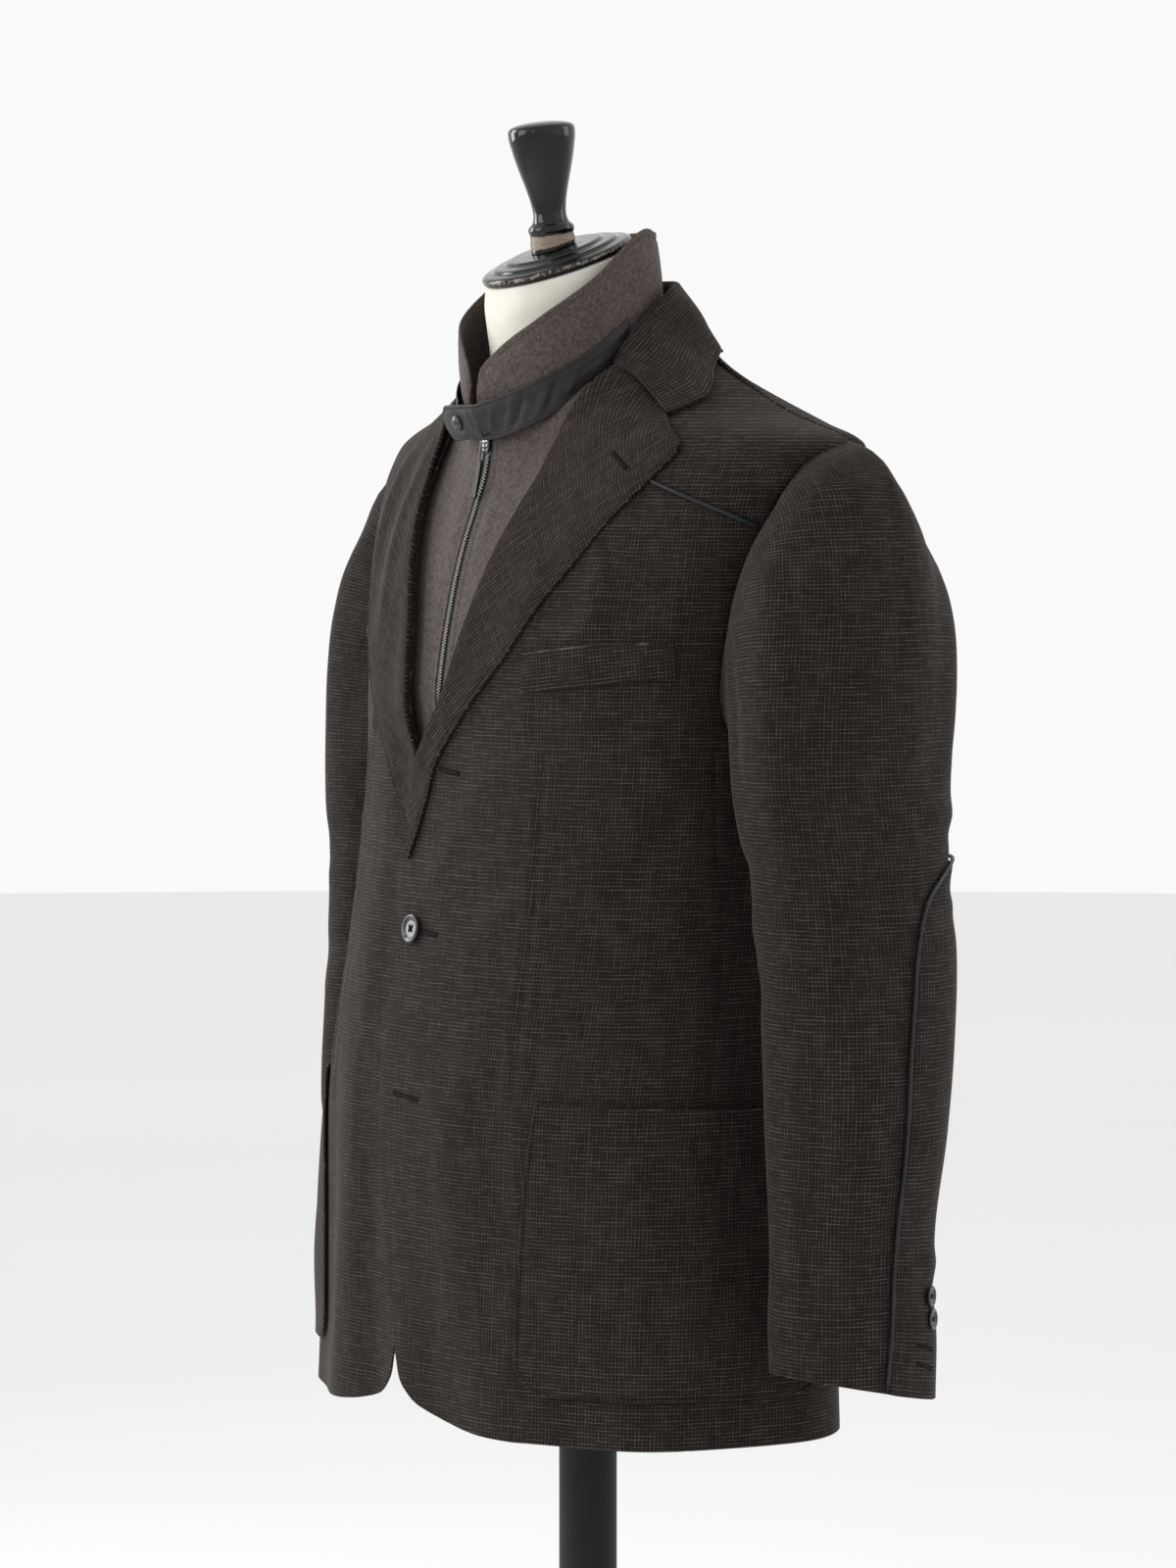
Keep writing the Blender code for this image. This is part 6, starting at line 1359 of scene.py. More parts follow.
def weltPocket():
    # a curved welt, sharp at its lower corners, standing a little proud along the top
    cols = edgeSpacing(50, 0.09, (0.0004, 0.0010, 0.0018))
    rows = edgeSpacing(16, 0.025, (0.0004, 0.0010))
    low = smoothCurve(weltRows["share"], weltRows["low"], cols)
    high = smoothCurve(weltRows["share"], weltRows["high"], cols)
    x = smoothCurve(weltRows["share"], weltRows["x"], cols)[None, :] + 0 * rows[:, None]
    z = low[None, :] * (1 - rows[:, None]) + high[None, :] * rows[:, None]
    turn = frontTurn(x, z)
    flat = torso(turn, z)
    under = np.clip(creaseLift(flat, creasesFor(1, bodyCreases)), -0.0010, 0.0020)
    rest = frontLift(turn, z, 1) + sizes["layer"]
    edge = edgeDistance(flat, "left right bottom")
    bow = 0.0007 * ramp(edge, 0.0, 0.010) + 0.0004 * rows[:, None]
    outer = torso(turn, z, rest + pocketFacts["cloth"] + np.maximum(under, 0) + bow)
    inner = torso(turn, z, rest + np.minimum(under, 0) - 0.0006)
    uv = torsoUv(turn, z)
    tilt = math.radians(7)
    uv = np.stack([uv[..., 0] * math.cos(tilt) + uv[..., 1] * math.sin(tilt),
                   uv[..., 1] * math.cos(tilt) - uv[..., 0] * math.sin(tilt)], -1)
    return shellPiece("cloth_breast_welt_pocket", outer, inner, uv, moleskin, ("breast_welt_pocket",),
                      "moleskin"), outer


pocketFaces = {}
for side in (1, -1):
    panels["pocket", side], pocketFaces[side] = patchPocket(side)
welt, weltFace = weltPocket()
print("stage: pockets made")


# ---- the dickey
dickeyFacts = {"depth": 0.0036, "zipHalf": 0.0056, "bow": 0.0035}
neckBulge = makeTable("z rise", (1.10, 0.0), (1.320, 0.0), (1.345, 0.0005), (1.372, 0.0055), (1.3925, 0.0150),
                      (1.45, 0.018))
dickeyTop = makeTable("share x z", (0.00, 0.0060, 1.3925), (0.35, 0.0300, 1.3985), (0.70, 0.0520, 1.4130),
                      (1.00, 0.0650, 1.4290))
dickeyOuter = makeTable("z x", (1.150, 0.045), (1.210, 0.056), (1.260, 0.066), (1.310, 0.080), (1.350, 0.090),
                        (1.390, 0.090), (1.415, 0.078), (1.429, 0.065))


def dickeyLift(x, z):
    # below the jacket's face; swells forward at the neck and in behind the fronts
    aside = np.clip((np.abs(x) - 0.015) / 0.045, 0, 1)
    low = np.clip((1.220 - z) / 0.03, 0, 1) * 0.0038
    rise = column(neckBulge, "z", "rise", z) * np.exp(-(x / 0.046) ** 2)
    outside = np.clip((np.abs(x) - rollX(z, 1) - 0.014) / 0.008, 0, 1)
    zippedIn = 0.0034 * outside * np.clip((z - 1.245) / 0.03, 0, 1) * np.clip((1.345 - z) / 0.02, 0, 1)
    return -dickeyFacts["depth"] - 0.0018 * aside - low + rise + zippedIn


def dickeyPoint(x, z, lift=0.0):
    x, z = np.broadcast_arrays(np.asarray(x, float), np.asarray(z, float))
    return torso(frontTurn(x, z), z, dickeyLift(x, z) + lift)


def dickeyPanel(side):
    rows = np.linspace(0, 1, 100)
    cols = edgeSpacing(40, 0.07, (0.0005, 0.0011, 0.0019, 0.003))
    gap = dickeyFacts["zipHalf"] + 0.0003
    left = np.stack([np.full(100, gap), 1.150 + (1.3925 - 1.150) * rows], -1)
    outerZ = 1.150 + (1.429 - 1.150) * rows
    right = np.stack([column(dickeyOuter, "z", "x", outerZ), outerZ], -1)
    bottom = left[0] * (1 - cols[:, None]) + right[0] * cols[:, None]
    top = np.stack([column(dickeyTop, "share", "x", cols), column(dickeyTop, "share", "z", cols)], -1)
    top[0, 0] = gap
    xz = coonsGrid(left, right, bottom, top, rows, cols)
    x, z = xz[..., 0], xz[..., 1]
    flat = dickeyPoint(x, z) * np.array([side, 1, 1])
    creases = [(dickeyPoint(0.016, 1.378), dickeyPoint(0.020, 1.345), dickeyPoint(0.017, 1.300), 0.006, 0.0009),
               (dickeyPoint(0.050, 1.405), dickeyPoint(0.042, 1.370), dickeyPoint(0.036, 1.320), 0.009, -0.0010),
               (dickeyPoint(0.026, 1.300), dickeyPoint(0.024, 1.250), dickeyPoint(0.022, 1.200), 0.008, 0.0008)]
    creases = [(a * [side, 1, 1], b * [side, 1, 1], c * [side, 1, 1], w, h) for a, b, c, w, h in creases]
    edge = edgeDistance(flat, "left")
    lift = np.minimum(creaseLift(flat, creases), 0.0010) * ramp(edge, 0.001, 0.006)
    # folded edge along the zip: full at the fold, pressed down by its row of stitches
    lift = lift + 0.0005 * np.exp(-(edge / 0.0035) ** 2) - 0.0004 * np.exp(-((edge - 0.0042) / 0.0010) ** 2)
    across = np.array([side, 1.0, 1.0])
    outer = dickeyPoint(x, z, lift) * across
    inner = dickeyPoint(x, z, lift - sizes["felt"]) * across
    uv = np.stack([x * side, z], -1)
    word = "left" if side > 0 else "right"
    return shellPiece(f"felt_dickey_{word}", outer, inner, uv, felt, (f"dickey_{word}",), "wool_felt"), outer


standRows = makeTable(
    "turn  baseX  baseY   baseZ   topX    topY    topZ",
    (4, 0.0060, -0.0848, 1.3932, 0.0045, -0.0929, 1.4246), (15, 0.0180, -0.0820, 1.3955, 0.0085, -0.0924, 1.4360),
    (27, 0.0320, -0.0765, 1.4000, 0.0220, -0.0876, 1.4485), (52, 0.0530, -0.0600, 1.4140, 0.0500, -0.0712, 1.4700),
    (79, 0.0625, -0.0360, 1.4290, 0.0620, -0.0377, 1.4950), (108, 0.0595, -0.0030, 1.4480, 0.0565, 0.0030, 1.5270),
    (140, 0.0450, 0.0300, 1.4580, 0.0400, 0.0280, 1.5290), (165, 0.0215, 0.0455, 1.4600, 0.0180, 0.0405, 1.5300),
    (180, 0.0000, 0.0480, 1.4605, 0.0000, 0.0430, 1.5305),
)


def standRead(names, size):
    return np.stack([column(standRows, "turn", name, size) for name in names], -1)


def standFlat(turn, height):
    # straight from base to top edge, bowed out between them
    size = np.abs(turn)
    base = standRead(("baseX", "baseY", "baseZ"), size)
    top = standRead(("topX", "topY", "topZ"), size)
    sign = np.where(turn < 0, -1.0, 1.0)
    base[..., 0] *= sign
    top[..., 0] *= sign
    point = base + (top - base) * height[..., None]
    outward = unit((point - np.array([0, -0.02, 0])) * np.array([1, 1, 0.0]))
    bow = dickeyFacts["bow"] * (1 - 0.7 * np.clip((size - 85) / 40, 0, 1))
    return point + outward * (bow * np.sin(math.pi * np.clip(height, 0, 1)))[..., None]


def standPoint(turn, height, lift=0.0):
    turn, height = np.broadcast_arrays(np.asarray(turn, float), np.asarray(height, float))
    sign = np.where(turn < 0, -1.0, 1.0)
    size = np.abs(turn)
    low = np.clip(size - 0.5, 4, 180) * sign
    high = np.clip(size + 0.5, 4, 180) * sign
    along = (standFlat(high, height) - standFlat(low, height)) * sign[..., None]
    up = standFlat(turn, height + 0.02) - standFlat(turn, height - 0.02)
    lift = np.broadcast_to(np.asarray(lift, float), turn.shape)
    return standFlat(turn, height) + unit(np.cross(along, up)) * lift[..., None]


def standCollar():
    # a band all round the neck, open in front; a soft wave and a felled top edge
    half = np.concatenate([[4, 4.4, 5.0, 6.0, 7.4], np.linspace(9, 180, 110)])
    turns = np.concatenate([-half, half[-2::-1]])[None, :]
    rows = np.concatenate([[0.010, 0.02], np.linspace(0.04, 0.94, 34), [0.955, 0.970, 0.982, 0.991, 1.0]])[:, None]
    flat = standPoint(turns, rows)
    wave = 0.0008 * np.sin(np.radians(turns) * 3.0 + 0.6) * np.sin(math.pi * rows)
    creases = [((0.030, -0.078, 1.425), (0.034, -0.072, 1.437), (0.046, -0.068, 1.452), 0.007, 0.0012),
               ((-0.030, -0.078, 1.425), (-0.036, -0.070, 1.432), (-0.050, -0.060, 1.440), 0.006, -0.0012),
               ((-0.014, -0.086, 1.405), (-0.020, -0.083, 1.420), (-0.018, -0.086, 1.440), 0.006, 0.0012),
               ((0.058, -0.040, 1.470), (0.058, -0.020, 1.485), (0.054, 0.000, 1.505), 0.008, -0.0010)]
    creases = [(np.array(a), np.array(b), np.array(c), w, h) for a, b, c, w, h in creases]
    edge = edgeDistance(flat, "left right top")
    lift = (creaseLift(flat, creases) + wave) * ramp(edge, 0.0, 0.012)
    lift = lift - 0.0006 * np.exp(-((edge - 0.0042) / 0.0012) ** 2) + 0.0002
    strapped = ramp(np.abs(turns), 100, 106) + ramp(rows, 0.55, 0.70)
    lift = np.minimum(lift, np.where(strapped > 0.5, 0.002, 0.0004))
    outer = standPoint(turns, rows, lift)
    inner = standPoint(turns, rows, lift - sizes["felt"])
    uv = np.stack(np.broadcast_arrays(np.radians(turns) * 0.062, rows * 0.06), -1)
    return shellPiece("felt_dickey_stand_collar", outer, inner, uv, felt, ("dickey_stand_collar",),
                      "wool_felt", round=0.45), outer


dickeyFaces = {}
for side in (1, -1):
    panels["dickey", side], dickeyFaces[side] = dickeyPanel(side)
stand, standFace = standCollar()
print("stage: dickey made")


# ---- the leather strap round the dickey's neck
strapRows = makeTable("turn z", (0, 1.4115), (10, 1.4135), (51, 1.4320), (80, 1.4516), (107, 1.4760),
                      (134, 1.4880))
strapFacts = {"height": 0.0245, "space": 0.0007, "tabLength": 0.046, "tabHalf": 0.0122}


def strapPoint(turn, share, lift):
    # the stand collar's surface moved out; share 0 at the strap's lower edge, 1 at its upper
    turn, share = np.broadcast_arrays(np.asarray(turn, float), np.asarray(share, float))
    size = np.abs(turn)
    z = column(strapRows, "turn", "z", size) - strapFacts["height"] * (1 - share)
    baseZ = column(standRows, "turn", "baseZ", size)
    topZ = column(standRows, "turn", "topZ", size)
    least = np.interp(size, (45, 70), (-0.12, 0.05)) + share * 1e-3
    height = np.maximum((z - baseZ) / (topZ - baseZ), least)
    standOff = 0.0048 * np.exp(-(size / 30.0) ** 2)
    flare = 0.0036 * np.clip((0.20 - height) / 0.35, 0, 1) * np.clip((size - 12) / 15, 0, 1)
    return standPoint(turn, height, lift + standOff + flare + strapFacts["space"])


def strapCreases(side):
    # slanting pulls in the leather, stronger beside the tab
    rows = [(20, 0.05, 26, 0.45, 30, 0.95, 0.0026, 0.0010), (25, 0.10, 33, 0.55, 36, 0.95, 0.0022, -0.0010),
            (36, 0.05, 44, 0.40, 50, 0.90, 0.0030, 0.0011), (44, 0.10, 50, 0.55, 55, 0.85, 0.0022, -0.0011),
            (58, 0.15, 62, 0.50, 68, 0.90, 0.0028, 0.0009), (12, 0.20, 14, 0.50, 19, 0.85, 0.0022, 0.0008)]
    made = []
    for a, b, c, d, e, f, width, height in rows:
        places = [strapPoint(np.array(float(t) * side), np.array(s), sizes["leather"])
                  for t, s in ((a, b), (c, d), (e, f))]
        made.append((*places, width, height))
    return made


def strapPiece(word, side, low, high):
    turns = side * np.concatenate([[low, low + 0.3, low + 0.8, low + 1.5], np.linspace(low + 2.4, high, 110)])[None, :]
    rows = np.array([0, 0.02, 0.045, 0.08, 0.12, *np.linspace(0.16, 0.84, 18), 0.88, 0.92, 0.955, 0.98, 1.0])[:, None]
    flat = strapPoint(turns, rows, sizes["leather"])
    edge = edgeDistance(flat, "bottom top")
    lift = creaseLift(flat, strapCreases(side)) * ramp(edge, 0.0, 0.004)
    # turned edges round over; the stitch row sits in a shallow channel
    lift = lift - 0.0005 * np.exp(-(edge / 0.0009) ** 2) - 0.00035 * np.exp(-((edge - 0.0023) / 0.0008) ** 2)
    lift = lift + 0.00025 * ramp(edge, 0.0030, 0.0065)
    outer = strapPoint(turns, rows, sizes["leather"] + lift)
    inner = strapPoint(turns, rows, np.minimum(lift, 0.0) * 0.0)
    uv = np.stack(np.broadcast_arrays(np.radians(turns) * 0.062, rows * 0.0245), -1)
    piece = shellPiece(f"leather_throat_strap_{word}", outer, inner, uv, strapLeather,
                       (f"throat_strap_{word}",), "strap_leather")
    return piece, outer


strapLeft, strapLeftFace = strapPiece("left", 1, 5, 100)
strapRight, strapRightFace = strapPiece("right", -1, 17, 100)


def tabBow(run):
    return -0.0012 * np.sin(run / strapFacts["tabLength"] * math.pi) + 27.0 * run**3


def tabGrid(lift=0.0):
    # the strap's end: straight, then half a round, bowed back at its end.
    # Shares across go from its lower edge to its upper one.
    length, halfWidth = strapFacts["tabLength"], strapFacts["tabHalf"]
    run = np.concatenate([[0, 0.0004, 0.0010, 0.0018], np.linspace(0.003, length - halfWidth, 44),
                          length - halfWidth + halfWidth * np.sin(np.linspace(0.04, 1.0, 30) * math.pi / 2) * 0.9995])
    beyond = np.clip(run - (length - halfWidth), 0, None)
    width = np.sqrt(np.clip(1 - (beyond / halfWidth) ** 2, 0.0012, 1))
    start = strapPoint(np.array(5.0), np.array([0.0, 1.0]), sizes["leather"])
    nearX = start[:, 0].min() - 0.0006
    across = np.array([0, 0.02, 0.045, 0.08, 0.12, *np.linspace(0.17, 0.83, 15), 0.88, 0.92, 0.955, 0.98, 1.0])
    across = 0.5 + (across[:, None] - 0.5) * width[None, :]
    point = np.zeros((*across.shape, 3))
    point[..., 0] = nearX - run[None, :]
    point[..., 2] = start[0, 2] + (start[1, 2] - start[0, 2]) * across
    # the lower edge has a slight hollow where it leaves the strap
    point[..., 2] += 0.0010 * np.sin(math.pi * np.clip(run / 0.026, 0, 1))[None, :] * (1 - across) ** 2
    startY = start[0, 1] + (start[1, 1] - start[0, 1]) * across
    point[..., 1] = startY + tabBow(run)[None, :]
    return point, run, across


def tabNormals(point):
    normals = gridNormals(point)
    return normals * -np.sign(normals[..., 1:2])


snapRun = 0.0235
tabPoint, tabRun, tabAcross = tabGrid()
tabOut = tabNormals(tabPoint)
snapColumn = int(np.argmin(np.abs(tabRun - snapRun)))
snapRow = tabPoint.shape[0] // 2
snapPlace = tabPoint[snapRow, snapColumn]
snapNormal = tabOut[snapRow, snapColumn]


def tabPiece():
    edge = edgeDistance(tabPoint, "bottom top right")
    lift = -0.0005 * np.exp(-(edge / 0.0009) ** 2) - 0.00035 * np.exp(-((edge - 0.0023) / 0.0008) ** 2)
    lift = lift + 0.00025 * ramp(edge, 0.0030, 0.0065)
    fromSnap = np.linalg.norm(tabPoint - snapPlace, axis=-1)
    lift = lift - 0.0007 * np.exp(-((fromSnap - 0.0058) / 0.0016) ** 2)
    creases = [(tabPoint[3, 20], tabPoint[10, 26], tabPoint[18, 30], 0.0022, 0.0007),
               (tabPoint[6, 8], tabPoint[12, 12], tabPoint[20, 16], 0.0024, 0.0008)]
    lift = lift + creaseLift(tabPoint, creases) * ramp(edge, 0, 0.004)
    outer = tabPoint + tabOut * lift[..., None]
    inner = tabPoint + np.array([0, sizes["leather"], 0])
    uv = np.stack([-tabPoint[..., 0], tabPoint[..., 2]], -1)
    return shellPiece("leather_throat_strap_tab", outer, inner, uv, strapLeather, ("throat_strap_tab",),
                      "strap_leather"), outer


tab, tabFace = tabPiece()
print("stage: throat strap made")


# ---- round pieces
def spun(profile, count, place, direction, twist=0.0, height=None):
    # profile of (radius, height) carried round its own axis, which points along direction
    profile = np.asarray(profile, float)
    angle = np.linspace(0, 2 * math.pi, count, endpoint=False) + twist
    axis = unit(np.asarray(direction, float))
    side = unit(np.cross(axis, (0.0, 0.31, 1.0) if abs(axis[2]) < 0.9 else (1.0, 0, 0)))
    other = np.cross(axis, side)
    radius = profile[:, 0][:, None]
    up = np.broadcast_to(profile[:, 1][:, None], (len(profile), count)).copy()
    flatX = radius * np.cos(angle)
    flatY = radius * np.sin(angle)
    if height is not None:
        up = up + height(flatX, flatY, radius + 0 * flatX)
    return (np.asarray(place)[None, None] + flatX[..., None] * side + flatY[..., None] * other
            + up[..., None] * axis), side, other, axis


def roundedProfile(points, softness, steps=5):
    # the profile with each corner drawn as a short curve
    points = np.asarray(points, float)
    made = [points[0]]
    for before, corner, after in zip(points[:-2], points[1:-1], points[2:]):
        back, on = before - corner, after - corner
        reach = min(softness, np.linalg.norm(back) * 0.45, np.linalg.norm(on) * 0.45)
        start, end = corner + unit(back) * reach, corner + unit(on) * reach
        t = np.linspace(0, 1, steps)[:, None]
        made += list((1 - t) ** 2 * start + 2 * t * (1 - t) * corner + t**2 * end)
    made.append(points[-1])
    return np.array(made)


def spunPiece(name, rings, material, nodes, slot, body=clothBody, sharp=None, wear=None):
    vertices, faces = closedTube(rings)
    piece = makeObject(name, vertices, facingOut(vertices, faces), material, body, nodes, slot, sharp=sharp)
    if wear is not None:
        values = np.concatenate([np.repeat(wear, rings.shape[1]), wear[:1], wear[-1:]])
        piece.data.attributes.new("wear", "FLOAT", "POINT").data.foreach_set("value", values.astype(np.float32))
    return piece


buttonFacts = {"holeSpread": 0.22, "holeRadius": 0.115, "dish": 0.52, "faceRings": 24}
buttonProfile = [(0.55, 0.0005), (0.58, 0.0005), (0.62, 0.0008), (0.74, 0.0016), (0.86, 0.0020),
                 (0.96, 0.0015), (1.0, 0.0004), (0.95, -0.0004), (0.62, -0.0018), (0.02, -0.0018)]


def buttonPiece(name, place, normal, radius, stand, twist, node):
    # dished disc with a raised rolled rim and four sunk holes; crossed threads join them
    thick = radius / 0.0100
    centre = np.asarray(place) + np.asarray(normal) * (stand + 0.0018 * thick)
    rim = roundedProfile([(r * radius, h * thick) for r, h in buttonProfile], 0.0008 * thick, 4)
    inner = np.linspace(0.02, buttonFacts["dish"], buttonFacts["faceRings"]) * radius
    face = np.stack([inner, np.full(len(inner), 0.0005 * thick)], -1)
    profile = np.concatenate([face, rim])
    spread = buttonFacts["holeSpread"]
    holes = [(math.cos(a) * spread, math.sin(a) * spread) for a in np.radians([45, 135, 225, 315])]

    def sunk(x, y, r):
        depth = np.zeros_like(x)
        for hx, hy in holes:
            gap = np.hypot(x / radius - hx, y / radius - hy)
            depth -= 0.0013 * thick * ramp(buttonFacts["holeRadius"] - gap, 0.0, 0.035)
        return depth * (np.arange(len(x)) < buttonFacts["faceRings"])[:, None]

    rings, side, other, axis = spun(profile, 72, centre, normal, twist, sunk)
    piece = spunPiece(name, rings, horn, (node,), "button_horn")
    bars = []
    for a, b in ((0, 2), (1, 3)):
        lift = 0.0006 if a else 0.0009
        ends = [np.array(holes[a]) * 1.02, np.array(holes[b]) * 1.02]
        t = np.linspace(0, 1, 9)
        rise = (lift * np.sin(math.pi * t) ** 0.5 + 0.0001) * thick
        for offset in (-0.030, 0.030):
            aside = unit(np.array([-(ends[1] - ends[0])[1], (ends[1] - ends[0])[0]])) * offset
            flat = (ends[0][None] * (1 - t[:, None]) + ends[1][None] * t[:, None] + aside) * radius
            bars.append(centre + flat[:, :1] * side + flat[:, 1:] * other + (rise + 0.0004 * thick)[:, None] * axis)
    merge([tubeGrid(bar, 0.032 * radius, 6, axis) for bar in bars], name + "_thread", brownThread)
    shank = np.stack([centre - axis * 0.0010 * thick, np.asarray(place) - axis * 0.0006])
    merge([tubeGrid(np.linspace(*shank, 4), 0.16 * radius, 10, side)], name + "_shank", brownThread)
    return piece


def merge(tubes, name, material, body=clothBody, slot=None):
    # several closed tubes as one piece
    vertices, faces, start = [], [], 0
    for rings in tubes:
        points, quads = closedTube(rings)
        quads = facingOut(points, quads)
        vertices.append(points)
        faces += [[index + start for index in quad] for quad in quads]
        start += len(points)
    return makeObject(name, np.concatenate(vertices), faces, material, body, slot=slot)


def surfaceAt(pick, first, second):
    # a place on a surface and its outward normal
    low = pick(np.array(first), np.array(second), 0.0)
    high = pick(np.array(first), np.array(second), 0.001)
    return low, unit(high - low)


def frontFace(turn, z, lift, side=1):
    return torso(turn, z, lift + frontLift(turn, z, side))


def cuffFace(around, z, lift):
    return sleeveSurface(around, z, lift + sizes["layer"] + sizes["cloth"])


buttonSpot = {"x": 0.0005, "z": 1.060, "radius": 0.0100, "stand": 0.0005}
place, normal = surfaceAt(frontFace, float(frontTurn(buttonSpot["x"], buttonSpot["z"])), buttonSpot["z"])
buttonPiece("horn_front_button", place, normal, buttonSpot["radius"], buttonSpot["stand"], 0.06, "front_button")
cuffSpots = ((0.885, 0.8400), (0.885, 0.8256))
for side in (1, -1):
    word = "left" if side > 0 else "right"
    across = np.array([side, 1.0, 1.0])
    for index, (around, z) in enumerate(cuffSpots):
        place, normal = surfaceAt(cuffFace, around, z)
        buttonPiece(f"horn_cuff_button_{word}_{index + 1}", place * across, normal * across, 0.0070, 0.0004,
                    0.2 + 0.5 * index, f"cuff_button_{word}_{index + 1}")

snapProfile = roundedProfile([(0.0002, -0.0004), (0.0050, -0.0002), (0.0056, 0.0006), (0.0053, 0.0013),
                              (0.0045, 0.0014), (0.0036, 0.0022), (0.0018, 0.0026), (0.0002, 0.0027)], 0.0006)
rings, *_ = spun(snapProfile, 56, snapPlace + snapNormal * 0.0002, snapNormal)
spunPiece("horn_throat_strap_snap", rings, horn, ("throat_strap_snap",), "button_horn")
print("stage: buttons and snap made")

# ---- the zip
zipFacts = {"pivotZ": 1.3835, "pivotOut": 0.0044, "lean": 12.0, "link": 0.0112, "end": 0.0380, "toothPitch": 0.0020}
chainLow, chainHigh = 1.154, zipFacts["pivotZ"] - 0.0065
tapeZ = np.linspace(1.154, zipFacts["pivotZ"] + 0.0080, 90)
tapeX = np.array([-1, -0.98, -0.7, -0.4, -0.12, 0.12, 0.4, 0.7, 0.98, 1.0]) * dickeyFacts["zipHalf"]
tapeGrid = dickeyPoint(tapeX[None, :], tapeZ[:, None], -0.0004)
tapeUnder = dickeyPoint(tapeX[None, :], tapeZ[:, None], -0.0014)
tapeUv = np.stack(np.broadcast_arrays(tapeX[None, :], tapeZ[:, None]), -1)
tape = shellPiece("zip_woven_tape", tapeGrid, tapeUnder, tapeUv, tapeCloth, ("zip_tape",), "zip_tape")


def boxBatch(name, centres, right, up, out, size, material, nodes=(), slot=None, body=clothBody, taper=0.75):
    # many small blocks with chamfered tops: each is a box whose upper face is drawn in
    w, h, d = size
    corners = np.array([(-1, -1, 0), (1, -1, 0), (1, 1, 0), (-1, 1, 0)], float)
    rows = []
    for level, shrink in ((0.0, 1.0), (0.65, 1.0), (1.0, taper)):
        ring = (corners[None] * np.array([w / 2 * shrink, h / 2 * shrink, 0]))
        rows.append(centres[:, None] + ring[..., :1] * right[:, None] + ring[..., 1:2] * up[:, None]
                    + (level * d) * out[:, None])
    points = np.concatenate(rows, axis=1)
    base = (np.arange(len(centres)) * 12)[:, None, None]
    quads = [(3, 2, 1, 0)]
    for low in (0, 4):
        quads += [(low + k, low + (k + 1) % 4, low + 4 + (k + 1) % 4, low + 4 + k) for k in range(4)]
    quads.append((8, 9, 10, 11))
    faces = (np.array(quads)[None] + base).reshape(-1, 4)
    handed = np.einsum("ij,ij->i", np.cross(right, up), out)[0]
    faces = faces if handed > 0 else faces[:, ::-1]
    return makeObject(name, points.reshape(-1, 3), faces.tolist(), material, body, nodes, slot, sharp=35)


toothZ = np.arange(chainLow + 0.001, chainHigh - 0.001, zipFacts["toothPitch"])
teeth = []
for hand in (-1, 1):
    z = toothZ + (0.0 if hand < 0 else zipFacts["toothPitch"] / 2)
    low = dickeyPoint(0.0 * z, z, -0.0002)
    teeth.append((low, hand))
centres = np.concatenate([low + np.array([hand * 0.00095, 0, 0]) for low, hand in teeth])
upWay = unit(np.gradient(teeth[0][0], axis=0))
upWay = np.concatenate([upWay, upWay])
rightWay = np.broadcast_to(np.array([1.0, 0, 0]), upWay.shape)
outWay = unit(np.cross(rightWay, upWay))
outWay = outWay * -np.sign(outWay[:, 1:2])
boxBatch("zip_teeth", centres, rightWay, upWay, outWay, (0.0024, 0.00125, 0.0012), teethMetal, ("zip_chain",),
         "zip_metal")

zipFace = dickeyPoint(0.0, zipFacts["pivotZ"])
zipRise = unit(dickeyPoint(0.0, zipFacts["pivotZ"] + 0.004) - dickeyPoint(0.0, zipFacts["pivotZ"] - 0.007))
zipOut = np.array([0.0, -zipRise[2], zipRise[1]])
zipDown = np.array([0.0, -zipOut[2], zipOut[1]])


def zipPlace(x, down, out):
    x, down, out = np.broadcast_arrays(np.asarray(x, float), np.asarray(down, float), np.asarray(out, float))
    return zipFace + down[..., None] * zipDown + out[..., None] * zipOut + x[..., None] * np.array([1.0, 0, 0])


def slabPiece(name, outline, low, high, place, material, nodes, slot, body=clothBody, round=0.0004):
    # a flat plate: its outline (x, down) shrunk by rings that turn its edges over
    outline = np.asarray(outline, float)
    centre = outline.mean(0)
    inward = unit(centre - outline)
    middle = (low + high) / 2
    rings = [centre + (outline - centre) * 0.02, outline + inward * round * 3, outline + inward * round,
             outline + inward * round * 0.3, outline, outline, outline + inward * round * 0.3,
             outline + inward * round, outline + inward * round * 3, centre + (outline - centre) * 0.02]
    levels = [low, low, low, low + round * 0.4, low + round, high - round, high - round * 0.4, high, high, high]
    grid = np.stack([place(ring[:, 0], ring[:, 1], np.full(len(ring), level)) for ring, level in zip(rings, levels)])
    return spunPiece(name, grid, material, nodes, slot, body)


def roundedOutline(points, softness=0.0008):
    closed = roundedProfile([points[-1], *points, points[0]], softness, 6)
    return closed[1:-1]


sliderOutline = roundedOutline([(-0.0030, 0.0062), (0.0030, 0.0062), (0.0042, 0.0028), (0.0042, -0.0030),
                                (0.0026, -0.0052), (-0.0026, -0.0052), (-0.0042, -0.0030), (-0.0042, 0.0028)], 0.0012)
slabPiece("zip_slider_plate", sliderOutline, 0.0010, 0.0034, zipPlace, wireMetal, ("zip_slider",), "zip_metal")
archPath = curveThrough([(0.0030, 0.0028), (0.0030, 0.0050), (0.0022, 0.0060), (0.0, 0.0062), (-0.0022, 0.0060),
                         (-0.0030, 0.0050), (-0.0030, 0.0028)], np.linspace(0, 1, 26))
archLine = zipPlace(0.0, archPath[:, 0], archPath[:, 1])
tubePiece("zip_slider_arch", archLine, 0.0006, 10, wireMetal, (), "zip_metal", startNormal=(1, 0, 0))

